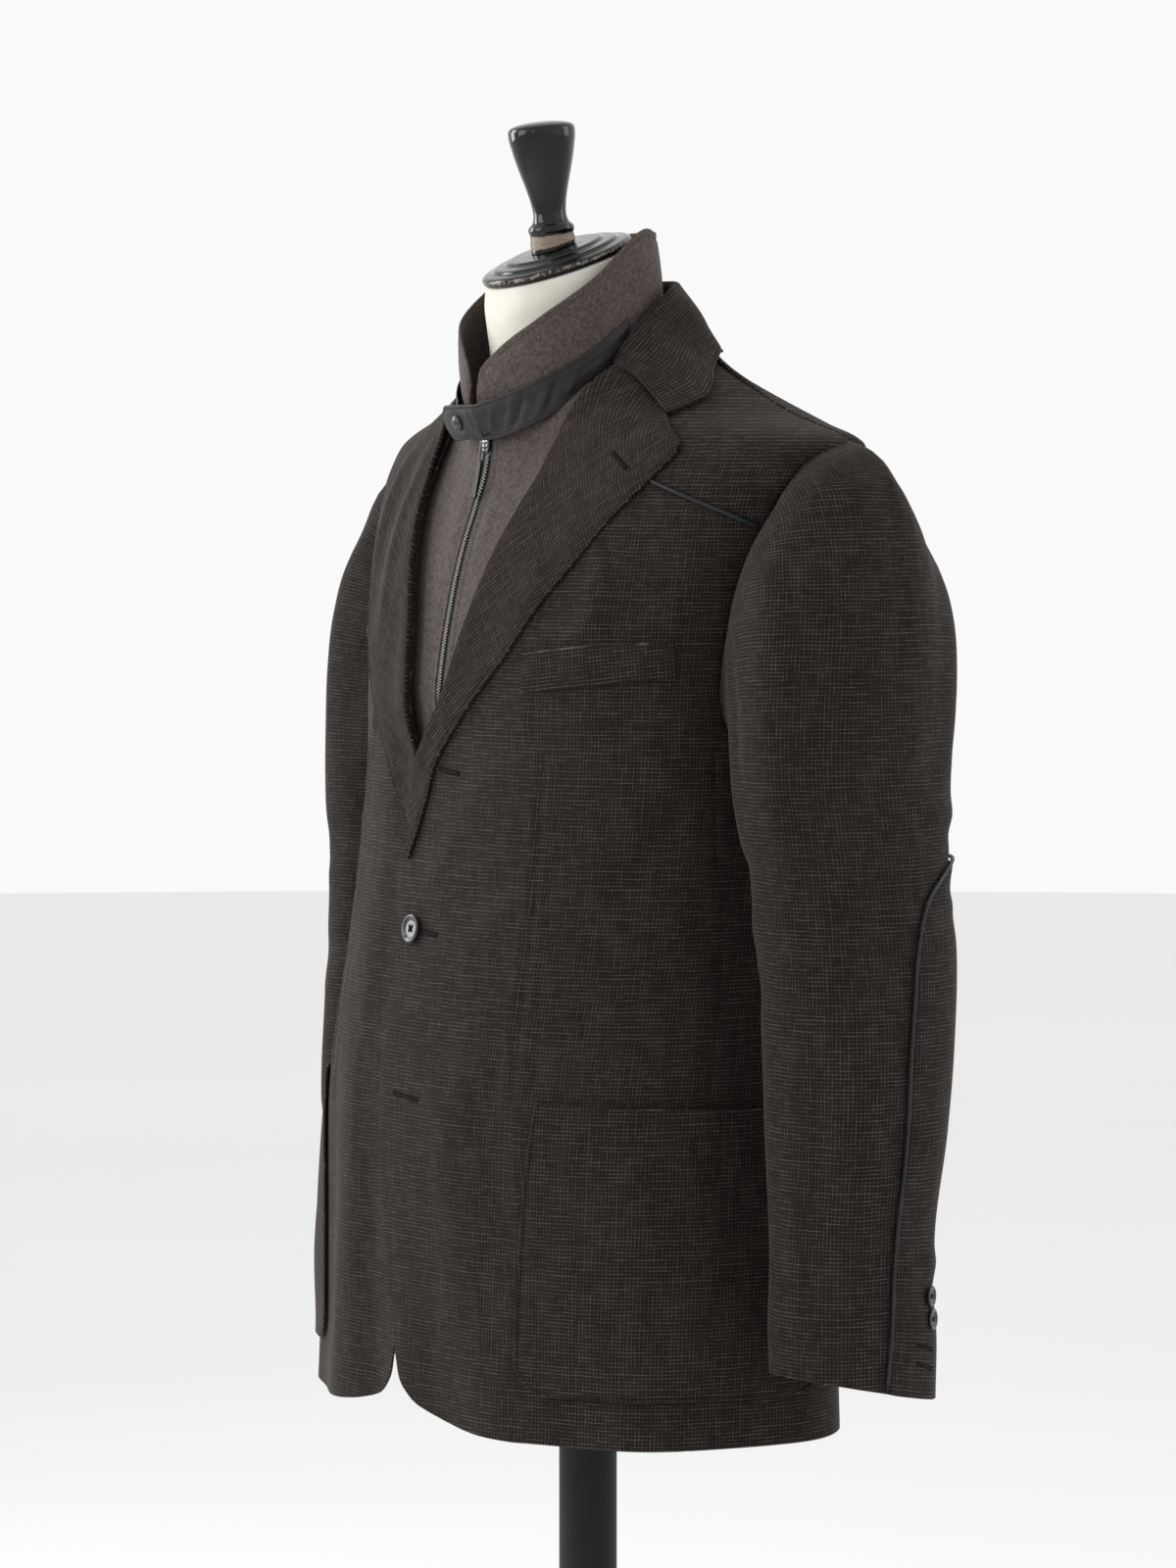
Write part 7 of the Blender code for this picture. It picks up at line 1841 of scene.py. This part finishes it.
lean = math.radians(zipFacts["lean"])
pivot = zipPlace(0.0, 0.0, zipFacts["pivotOut"])
pullDown = np.array([0.0, -math.sin(lean), -math.cos(lean)])
pullOut = np.array([0.0, -math.cos(lean), math.sin(lean)])
link = zipFacts["link"] + 0.0008
linkPath = curveThrough([(0.0021, link), (0.0021, 0.0060), (0.0021, 0.0010), (0.0013, 0.0), (0.0, -0.0002),
                         (-0.0013, 0.0), (-0.0021, 0.0010), (-0.0021, 0.0060), (-0.0021, link)],
                        np.linspace(0, 1, 60))
linkLine = pivot + linkPath[:, 1:] * pullDown + linkPath[:, :1] * np.array([1.0, 0, 0])
tubePiece("zip_pull_wire", linkLine, 0.0005, 12, wireMetal, ("zip_pull_link",), "zip_metal", body=pullBody,
          startNormal=pullOut)


def pullPlace(x, down, out):
    return pivot + down[..., None] * pullDown + out[..., None] * pullOut + x[..., None] * np.array([1.0, 0, 0])


pullTop, pullEnd = zipFacts["link"] + 0.0003, zipFacts["end"]
pullOutline = roundedOutline([(0.0021, pullTop), (0.0026, pullTop + 0.0040), (0.0029, 0.0270), (0.0031, pullEnd),
                              (-0.0031, pullEnd), (-0.0029, 0.0270), (-0.0026, pullTop + 0.0040),
                              (-0.0021, pullTop)], 0.0010)
slabPiece("zip_pull_plate", pullOutline, -0.0008, 0.0008, pullPlace, pullMetal, ("zip_pull_tab",), "zip_metal",
          body=pullBody, round=0.0003)
print("stage: zip made")


# ---- stitches and buttonholes
def surfaceRun(face, rows, cols):
    # places and normals along fractional rows and columns of a face
    normals = gridNormals(face)
    i = np.clip(np.floor(rows).astype(int), 0, face.shape[0] - 2)
    j = np.clip(np.floor(cols).astype(int), 0, face.shape[1] - 2)
    a, b = (rows - i)[:, None], (cols - j)[:, None]

    def read(grid):
        return (grid[i, j] * (1 - a) * (1 - b) + grid[i + 1, j] * a * (1 - b)
                + grid[i, j + 1] * (1 - a) * b + grid[i + 1, j + 1] * a * b)

    return read(face), unit(read(normals))


def insetRun(face, edge, distance, skip=(0.0, 0.0), count=400):
    # a line that keeps its distance from one edge of a face
    if edge in ("left", "right"):
        step = np.linalg.norm(np.diff(face, axis=1), axis=-1)
        run = np.concatenate([np.zeros((len(face), 1)), np.cumsum(step, 1)], 1)
        want = np.full(len(face), distance) if edge == "left" else run[:, -1] - distance
        cols = np.array([np.interp(w, r, np.arange(len(r))) for w, r in zip(want, run)])
        rows = np.arange(len(face), dtype=float)
    else:
        step = np.linalg.norm(np.diff(face, axis=0), axis=-1)
        run = np.concatenate([np.zeros((1, face.shape[1])), np.cumsum(step, 0)], 0)
        want = np.full(face.shape[1], distance) if edge == "bottom" else run[-1] - distance
        rows = np.array([np.interp(w, r, np.arange(len(r))) for w, r in zip(want, run.T)])
        cols = np.arange(face.shape[1], dtype=float)
    shareList = np.linspace(skip[0], 1 - skip[1], count) * (len(rows) - 1)
    return surfaceRun(face, np.interp(shareList, np.arange(len(rows)), rows),
                      np.interp(shareList, np.arange(len(cols)), cols))


stitchFacts = {"pitch": 0.0026, "length": 0.0019, "width": 0.00042, "height": 0.00030}


def stitchPiece(name, runs, centres, material, pitch=stitchFacts["pitch"], width=stitchFacts["width"],
                height=stitchFacts["height"], slot=None):
    # one low six-sided bead for each stitch, laid along the run and sunk half way in.
    # Each run's stitches stand away from its centre point.
    places, alongs, outs = [], [], []
    for (line, normals), centre in zip(runs, centres):
        chord = np.concatenate([[0], np.cumsum(np.linalg.norm(np.diff(line, axis=0), axis=1))])
        marks = np.arange(pitch * 0.6, chord[-1] - pitch * 0.4, pitch)
        line3 = np.stack([np.interp(marks, chord, line[:, i]) for i in range(3)], -1)
        ahead = np.stack([np.interp(marks + 2e-4, chord, line[:, i]) for i in range(3)], -1)
        normal = unit(np.stack([np.interp(marks, chord, normals[:, i]) for i in range(3)], -1))
        normal = normal * np.sign(np.sum(normal * (line3 - np.array(centre)), -1, keepdims=True) + 1e-9)
        places.append(line3)
        alongs.append(unit(ahead - line3))
        outs.append(normal)
    places, alongs, outs = np.concatenate(places), np.concatenate(alongs), np.concatenate(outs)
    rights = unit(np.cross(alongs, outs))
    length = pitch * 0.74
    sections = np.array([(-0.50, 0.30), (-0.34, 0.90), (0.0, 1.0), (0.34, 0.90), (0.50, 0.30)])
    angle = np.linspace(0, 2 * math.pi, 6, endpoint=False)
    rings = (places[:, None, None] + sections[None, :, None, :1] * length * alongs[:, None, None]
             + (np.cos(angle)[None, None, :, None] * width * 0.5 * rights[:, None, None]
                + np.sin(angle)[None, None, :, None] * height * outs[:, None, None]) * sections[None, :, None, 1:])
    base = (np.arange(len(places)) * 30)[:, None, None]
    quads = [(s * 6 + k, s * 6 + (k + 1) % 6, s * 6 + 6 + (k + 1) % 6, s * 6 + 6 + k)
             for s in range(4) for k in range(6)]
    caps = [(5, 4, 3, 0), (3, 2, 1, 0), (24, 25, 26, 27), (24, 27, 28, 29)]
    faces = np.concatenate([(np.array(quads)[None] + base).reshape(-1, 4), (np.array(caps)[None] + base).reshape(-1, 4)])
    single = [tuple(f) for f in quads + caps]
    turned = facingOut(rings[0].reshape(-1, 3), single) != single
    faces = faces[:, ::-1] if turned else faces
    return makeObject(name, rings.reshape(-1, 3), faces.tolist(), material, clothBody, slot=slot)


frontWay = np.array([0.0, -1.0, 0.0])
chestPoint, neckPoint, behindPoint = (0.0, 0.05, 1.10), (0.0, -0.02, 1.45), (0.0, 1.5, 1.35)
for side in (1, -1):
    word = "left" if side > 0 else "right"
    face = lapelFaces[side]
    run = insetRun(face, "right", 0.0022, (0.02, 0.01), 500)
    stitchPiece(f"stitch_lapel_{word}", [run], [chestPoint], brownThread, 0.0030, 0.00036, 0.00018)
    face = pocketFaces[side]
    runs = [insetRun(face, "left", 0.0026, (0.02, 0.0), 300), insetRun(face, "bottom", 0.0026, (0.03, 0.03), 300),
            insetRun(face, "right", 0.0026, (0.02, 0.0), 300)]
    stitchPiece(f"stitch_patch_pocket_{word}", runs, [(0.0, 0.01, 0.85)] * 3, brownThread,
                0.0026, 0.00036, 0.00020)
    face = dickeyFaces[side]
    run = insetRun(face, "left", 0.0042, (0.0, 0.0), 300)
    stitchPiece(f"stitch_dickey_{word}", [run], [behindPoint], feltThread, 0.0026, 0.00040, 0.00022)
    strap = strapLeftFace if side > 0 else strapRightFace
    runs = [insetRun(strap, "bottom", 0.0023, (0.02, 0.0)), insetRun(strap, "top", 0.0023, (0.02, 0.0))]
    stitchPiece(f"stitch_throat_strap_{word}", runs, [neckPoint] * 2, strapThread, 0.0023)
runs = [insetRun(collarFace, "top", 0.0022, (0.01, 0.01), 700)]
stitchPiece("stitch_collar", runs, [(0.0, 0.02, 1.40)], brownThread, 0.0030, 0.00036,
            0.00018)
runs = [insetRun(standFace, "top", 0.0042, (0.012, 0.012), 700), insetRun(standFace, "left", 0.0042, (0.04, 0.10), 120),
        insetRun(standFace, "right", 0.0042, (0.04, 0.10), 120)]
stitchPiece("stitch_dickey_stand_collar", runs, [neckPoint] * 3, feltThread, 0.0026, 0.00042)
runs = [insetRun(tabFace, "bottom", 0.0023, (0.0, 0.14)), insetRun(tabFace, "top", 0.0023, (0.0, 0.14)),
        insetRun(tabFace, "left", 0.0016, (0.08, 0.08), 80)]
stitchPiece("stitch_throat_strap_tab", runs, [behindPoint] * 3, strapThread, 0.0023)


def buttonhole(name, start, end, outward, onto, eyelet=0.0022, material=brownThread, width=0.0026):
    # a slit worked round with close stitches: bars set across its outline, and a round eye at one end
    start, end, outward = (np.asarray(v, float) for v in (start, end, outward))
    along = unit(end - start)
    acrossWay = unit(np.cross(outward, along))
    length = np.linalg.norm(end - start)
    side = np.linspace(0, length - eyelet, 34)
    bars = [(along * s, acrossWay * hand) for s in side for hand in (-1, 1)]
    places = np.array([start + a + b * (0.0007 + 0.0003 * (k % 3 == 0)) for k, (a, b) in enumerate(bars)])
    directions = np.array([b for _, b in bars])
    if eyelet:
        angle = np.linspace(-2.5, 2.5, 20)
        ring = np.cos(angle)[:, None] * along + np.sin(angle)[:, None] * acrossWay
        places = np.concatenate([places, end - along * eyelet * 0.4 + ring * eyelet * 0.60])
        directions = np.concatenate([directions, ring])
    places, outs = onto(places)
    directions = unit(directions - outs * np.sum(directions * outs, -1, keepdims=True))
    t = np.array([-0.5, -0.25, 0.25, 0.5])
    tubes = []
    for place, way, out in zip(places, directions, outs):
        path = place + np.outer(t, way) * width * 0.62 + np.outer([-0.0002, 0.00022, 0.00022, -0.0003], out)
        tubes.append(tubeGrid(path, 0.00024, 6, out))
    # a dark thread tube along the slit between the two rows: painted shade standing in for the shadow in the cut
    shadedSlit, shadedSlitOut = onto(start + np.outer(np.linspace(0.04, 0.97, 24) * length, along))
    thick = 0.00085 * np.sin(math.pi * np.linspace(0.06, 0.94, 24)) ** 0.4
    tubes.append(tubeGrid(shadedSlit + shadedSlitOut * 0.0002, thick, 8, shadedSlitOut[0]))
    return merge(tubes, name, material)


def ontoFront(side, extra=0.0):
    def move(points):
        turn = frontTurn(points[:, 0], points[:, 2])
        face = torso(turn, points[:, 2], frontLift(turn, points[:, 2], side) + creaseHere(turn, points[:, 2], side) + extra)
        return face, torsoNormal(turn, points[:, 2])
    return move


def creaseHere(turn, z, side):
    return np.clip(creaseLift(torso(turn, z), creasesFor(side, bodyCreases)), -0.0055, 0.0055) * (z < 1.11)


def ontoGrid(face):
    # the face's place straight behind each point, by the nearest grid point's tangent plane
    flat = face.reshape(-1, 3)
    outs = gridNormals(face).reshape(-1, 3)
    outs = outs * np.sign(outs @ frontWay)[:, None]

    def move(points):
        gap = flat[None, :, ::2] - points[:, None, ::2]
        near = np.argmin(np.sum(gap**2, -1), 1)
        shift = (points - flat[near]) * np.array([1, 0, 1])
        depth = -np.sum(shift * outs[near], -1) / outs[near, 1]
        return flat[near] + shift + depth[:, None] * np.array([0, 1, 0]), outs[near]
    return move


def ontoSleeve(points):
    # nearest place on the sleeve at the same height
    around = np.linspace(0.70, 1.0, 400)
    found, outs = [], []
    for point in points:
        ring = sleeveSurface(around, np.full(400, point[2]), sizes["layer"] + sizes["cloth"] + 0.0004)
        k = int(np.argmin(np.linalg.norm(ring - point, axis=1)))
        found.append(ring[k])
        outs.append(surfaceAt(cuffFace, around[k], point[2])[1])
    return np.array(found), np.array(outs)


buttonhole("buttonhole_front", (0.0080, -0.14, 1.0592), (0.0290, -0.14, 1.0578), frontWay, ontoFront(1))
buttonhole("buttonhole_lower", (0.0000, -0.15, 0.9505), (0.0290, -0.15, 0.9480), frontWay, ontoFront(1))
buttonhole("buttonhole_upper", (0.0100, -0.13, 1.1675), (0.0330, -0.13, 1.1655), frontWay, ontoFront(1, 0.0001))
buttonhole("buttonhole_lapel", (0.1250, -0.07, 1.3790), (0.1420, -0.06, 1.3685), frontWay,
           ontoGrid(lapelFaces[1]), eyelet=0.0, width=0.0022)
for side in (1, -1):
    across = np.array([side, 1.0, 1.0])
    for number, level in enumerate((0.8130, 0.8015)):
        start, end = (sleeveSurface(np.array(a), np.array(level), 0.002) for a in (0.878, 0.942))
        buttonhole(f"buttonhole_cuff_{'left' if side > 0 else 'right'}_{number + 1}", start * across, end * across,
                   np.array([side * 0.5, 0.8, 0.0]),
                   lambda points, across=across: tuple(v * across for v in ontoSleeve(points * across)), eyelet=0.0)
print("stage: stitches made")


# ---- the dress form
formLevels = np.array([0.800, 0.880, 0.953, 1.060, 1.168, 1.225, 1.275, 1.315, 1.345, 1.368, 1.384, 1.396, 1.408,
                       1.424])
neckRows = [(-0.0030, 1.4300, 0.0660, 0.0610, 0), (-0.0110, 1.4400, 0.0575, 0.0570, 1),
            (-0.0155, 1.4550, 0.0545, 0.0545, 4), (-0.0200, 1.4750, 0.0532, 0.0532, 12),
            (-0.0235, 1.4920, 0.0525, 0.0525, 17), (-0.0244, 1.5074, 0.0515, 0.0515, 20)]
formFacts = {"shoulder": 0.216, "capCentre": (0.0, -0.0255, 1.5106), "capTilt": 20.0, "finialLean": 7.0}


def formInset(turn, z):
    # space between the form and the cloth: least on the shoulders, which carry it
    size = np.degrees(np.abs(turn))
    front = ramp(86 - size, 0, 30)
    back = np.clip((size - 100) / 30, 0, 1) * (0.0075 + 0.0055 * np.clip((1.400 - z) / 0.020, 0, 1))
    low = np.clip((1.355 - z) / 0.060, 0, 1)
    high = np.clip((z - 1.404) / 0.020, 0, 1)
    corner = np.clip((1.410 - z) / 0.015, 0, 1)
    touch = 0.0019 * np.clip(1 - np.abs(z - 1.408) / 0.010, 0, 1)
    hollow = 0.0088 * front + back + 0.0095 * low * (1 - 0.5 * front)
    return 0.0034 - touch + hollow + 0.0050 * high + 0.0022 * corner


def tiltedRing(centre, halfX, halfY, tilt, count):
    angle = np.linspace(0, 2 * math.pi, count, endpoint=False)
    deep = -halfY * np.cos(angle)
    tilt = math.radians(tilt)
    return np.stack([halfX * np.sin(angle), deep * math.cos(tilt), deep * math.sin(tilt)], -1) + np.asarray(centre)


def formPiece():
    # rings behind the cloth, then tilted rings up the neck, drawn smooth between them
    count = 128
    turns = np.linspace(0, 2 * math.pi, count, endpoint=False)
    signed = np.where(turns > math.pi, turns - 2 * math.pi, turns)
    levels = np.concatenate([np.linspace(a, b, 6)[:-1] for a, b in zip(formLevels[:-1], formLevels[1:])] + [[1.424]])
    rings = [torso(signed, level, -formInset(signed, np.full(count, level))) for level in levels]
    rings[0][:, 2] = formLevels[0]
    for ring in rings:
        ring[:, 0] = np.clip(ring[:, 0], -formFacts["shoulder"], formFacts["shoulder"])
    neck = np.array([tiltedRing((0, y, z), halfX, halfY, tilt, count) for y, z, halfX, halfY, tilt in neckRows])
    joined = np.concatenate([rings[-3:-2], rings[-1:], neck])
    places = np.array([0, 0.5, 1, 2, 3, 4, 5, 6.0])
    fine = np.linspace(0.5, 6, 45)[1:]
    flat = joined.reshape(len(joined), -1)
    smooth = np.stack([smoothCurve(places, flat[:, k], fine) for k in range(flat.shape[1])], -1)
    return np.concatenate([np.array(rings), smooth.reshape(len(fine), count, 3)])


def capped(rings, low=None, high=None, steps=(0.66, 0.33)):
    # rings drawn in towards a centre at each end, so the ends close flat
    first, last = rings[0], rings[-1]
    lowCentre = first.mean(0) if low is None else np.asarray(low)
    highCentre = last.mean(0) if high is None else np.asarray(high)
    inner = [lowCentre + (first - lowCentre) * s for s in steps[::-1]]
    outer = [highCentre + (last - highCentre) * s for s in steps]
    return np.concatenate([np.array(inner), rings, np.array(outer)])


form = spunPiece("canvas_form", capped(formPiece()), canvas, ("form_body",), "form_canvas")

capTilt = math.radians(formFacts["capTilt"])
capAxis = np.array([0.0, -math.sin(capTilt), math.cos(capTilt)])
capCentre = np.array(formFacts["capCentre"])
capProfile = [(0.0005, -0.0030), (0.0300, -0.0030), (0.0512, -0.0030), (0.0528, -0.0012), (0.0529, 0.0016),
              (0.0507, 0.0033), (0.0462, 0.0037), (0.0440, 0.0041), (0.0434, 0.0055), (0.0418, 0.0061),
              (0.0362, 0.0063), (0.0342, 0.0067), (0.0334, 0.0079), (0.0318, 0.0084), (0.0205, 0.0085),
              (0.0190, 0.0087), (0.0005, 0.0087)]
profile = roundedProfile(capProfile, 0.0009, 6)
fineProfile = curveThrough(profile, np.linspace(0, 1, 110), False)
rings, *_ = spun(fineProfile, 128, capCentre, capAxis)
wear = np.exp(-((np.hypot(fineProfile[:, 0] - 0.0528, fineProfile[:, 1] - 0.0010)) / 0.0022) ** 2)
wear += 0.5 * np.exp(-((np.hypot(fineProfile[:, 0] - 0.0430, fineProfile[:, 1] - 0.0060)) / 0.0010) ** 2)
spunPiece("lacquer_neck_cap", rings, lacquer, ("neck_cap",), "black_lacquer", wear=wear)

finialProfile = np.array([(0.0, 0.0155), (0.0030, 0.0157), (0.0055, 0.0154), (0.0085, 0.0150), (0.0100, 0.0149),
                          (0.0112, 0.0155), (0.0128, 0.0158), (0.0146, 0.0154), (0.0160, 0.0140), (0.0172, 0.0128),
                          (0.0210, 0.0115), (0.0280, 0.0117), (0.0400, 0.0142), (0.0550, 0.0184), (0.0680, 0.0215),
                          (0.0770, 0.0229), (0.0800, 0.0228), (0.0822, 0.0216), (0.0838, 0.0184), (0.0850, 0.0130),
                          (0.0856, 0.0080), (0.0859, 0.0020)])
lean = math.radians(formFacts["finialLean"])
finialFoot = capCentre + capAxis * 0.0088
finialAxis = np.array([0.0, -math.sin(lean), math.cos(lean)])
spread = np.concatenate([[0], np.cumsum(np.linalg.norm(np.diff(finialProfile, axis=0), axis=1))])
fine = np.linspace(0, spread[-1], 130)
height = smoothCurve(spread, finialProfile[:, 0], fine)
radius = smoothCurve(spread, finialProfile[:, 1], fine)
# the foot leans with the cap, the shaft by its own smaller angle
blendTilt = 20.0 + (7.0 - 20.0) * ramp(height, 0.002, 0.012)
rings = np.array([tiltedRing(finialFoot + finialAxis * h, r, r, t, 96) for h, r, t in zip(height, radius, blendTilt)])
wear = 1.5 * np.exp(-((height - 0.0060) / 0.0036) ** 4) + 0.55 * np.exp(-((height - 0.0800) / 0.0030) ** 2)
wear += 0.3 * np.exp(-((height - 0.0128) / 0.0012) ** 2)
spunPiece("lacquer_neck_finial", rings, lacquer, ("neck_finial",), "black_lacquer", wear=wear)

poleProfile = roundedProfile([(0.0005, 0.0343), (0.0200, 0.0343), (0.0200, 0.7997), (0.0005, 0.7997)], 0.0008, 5)
poleProfile = curveThrough(poleProfile, np.linspace(0, 1, 160), False)
rings, *_ = spun(poleProfile, 64, (0, 0, 0), (0, 0, 1.0))
spunPiece("steel_stand_pole", rings, powderCoat, ("stand_pole",), "black_paint")
baseProfile = roundedProfile([(0.0005, 0.0), (0.1970, 0.0), (0.2000, 0.0030), (0.2000, 0.0100), (0.1900, 0.0140),
                              (0.0340, 0.0160), (0.0300, 0.0190), (0.0290, 0.0310), (0.0260, 0.0340),
                              (0.0005, 0.0340)], 0.0022, 6)
baseProfile = np.concatenate([np.linspace(a, b, 4)[:-1] for a, b in zip(baseProfile[:-1], baseProfile[1:])]
                             + [baseProfile[-1:]])
rings, *_ = spun(baseProfile, 128, (0, 0, 0), (0, 0, 1.0))
spunPiece("steel_stand_base", rings, powderCoat, ("stand_base",), "black_paint")
print("stage: form and stand made")

# ---- a pass over the cloth panels that only works out each one's side
for (kind, side), piece in panels.items():
    word = "left" if side > 0 else "right"

# ---- floor, light and camera
stage = {"distance": 3.5, "azimuth": 56.0, "height": 1.35, "horizon": 507, "pixel": 0.000672}
floorMaterial, floorTree, floorShader = newMaterial("pale floor", (0.86, 0.86, 0.855), 0.9, Specular_IOR_Level=0.1)
n = Nodes(floorTree, floorShader)
n.colour(n.mix(n.noise(n.place(), 0.6, 2.0), (0.84, 0.84, 0.835), (0.88, 0.88, 0.875)))
angle = np.linspace(0, 2 * math.pi, 96, endpoint=False)
disc = np.stack([14 * np.cos(angle), 14 * np.sin(angle), np.full(96, -0.0002)], -1)
floorMesh = bpy.data.meshes.new("floor")
floorMesh.from_pydata(disc, [], [list(range(96))])
floorMesh.materials.append(floorMaterial)
floor = bpy.data.objects.new("floor", floorMesh)
bpy.context.scene.collection.objects.link(floor)

world = bpy.data.worlds.new("studio")
bpy.context.scene.world = world
world.use_nodes = True
background = world.node_tree.nodes["Background"]
background.inputs["Color"].default_value = (1.0, 1.0, 1.0, 1)
background.inputs["Strength"].default_value = 0.95


def softbox(name, azimuth, elevation, distance, width, height, power, aim=(0.0, 0.0, 1.15)):
    # a flat lamp on a sphere round the jacket, facing its middle
    a, e = math.radians(azimuth), math.radians(elevation)
    spot = np.array([math.sin(a) * math.cos(e), -math.cos(a) * math.cos(e), math.sin(e)]) * distance + aim
    lamp = bpy.data.lights.new(name, "AREA")
    lamp.shape = "RECTANGLE"
    lamp.size, lamp.size_y, lamp.energy = width, height, power
    item = bpy.data.objects.new(name, lamp)
    item.location = spot
    back = unit(spot - np.asarray(aim))
    yaw = math.atan2(back[1], back[0]) + math.pi / 2
    item.rotation_euler = (math.acos(back[2]), 0, yaw)
    bpy.context.scene.collection.objects.link(item)
    return item


softbox("key", -15, 20, 2.6, 1.3, 1.9, 30)
softbox("fill", 110, 20, 3.4, 2.0, 2.2, 5)
softbox("rim left", -60, 18, 2.8, 1.0, 2.0, 46)
softbox("rim right", 150, 25, 2.8, 1.2, 2.0, 16)

scene = bpy.context.scene
scene.view_settings.view_transform = "Standard"
camera = bpy.data.cameras.new("camera")
tall = 1600 * stage["pixel"]
camera.lens = 36.0 * stage["distance"] / tall
camera.sensor_width = 36.0
camera.clip_end = 60.0
view = bpy.data.objects.new("camera", camera)
turn = math.radians(stage["azimuth"])
pitch = math.atan((800 - stage["horizon"]) * stage["pixel"] / stage["distance"])
view.location = (stage["distance"] * math.sin(turn), -stage["distance"] * math.cos(turn), stage["height"])
view.rotation_euler = (math.pi / 2 - pitch, 0, turn)
scene.collection.objects.link(view)
scene.camera = view
print("stage: light and camera set")
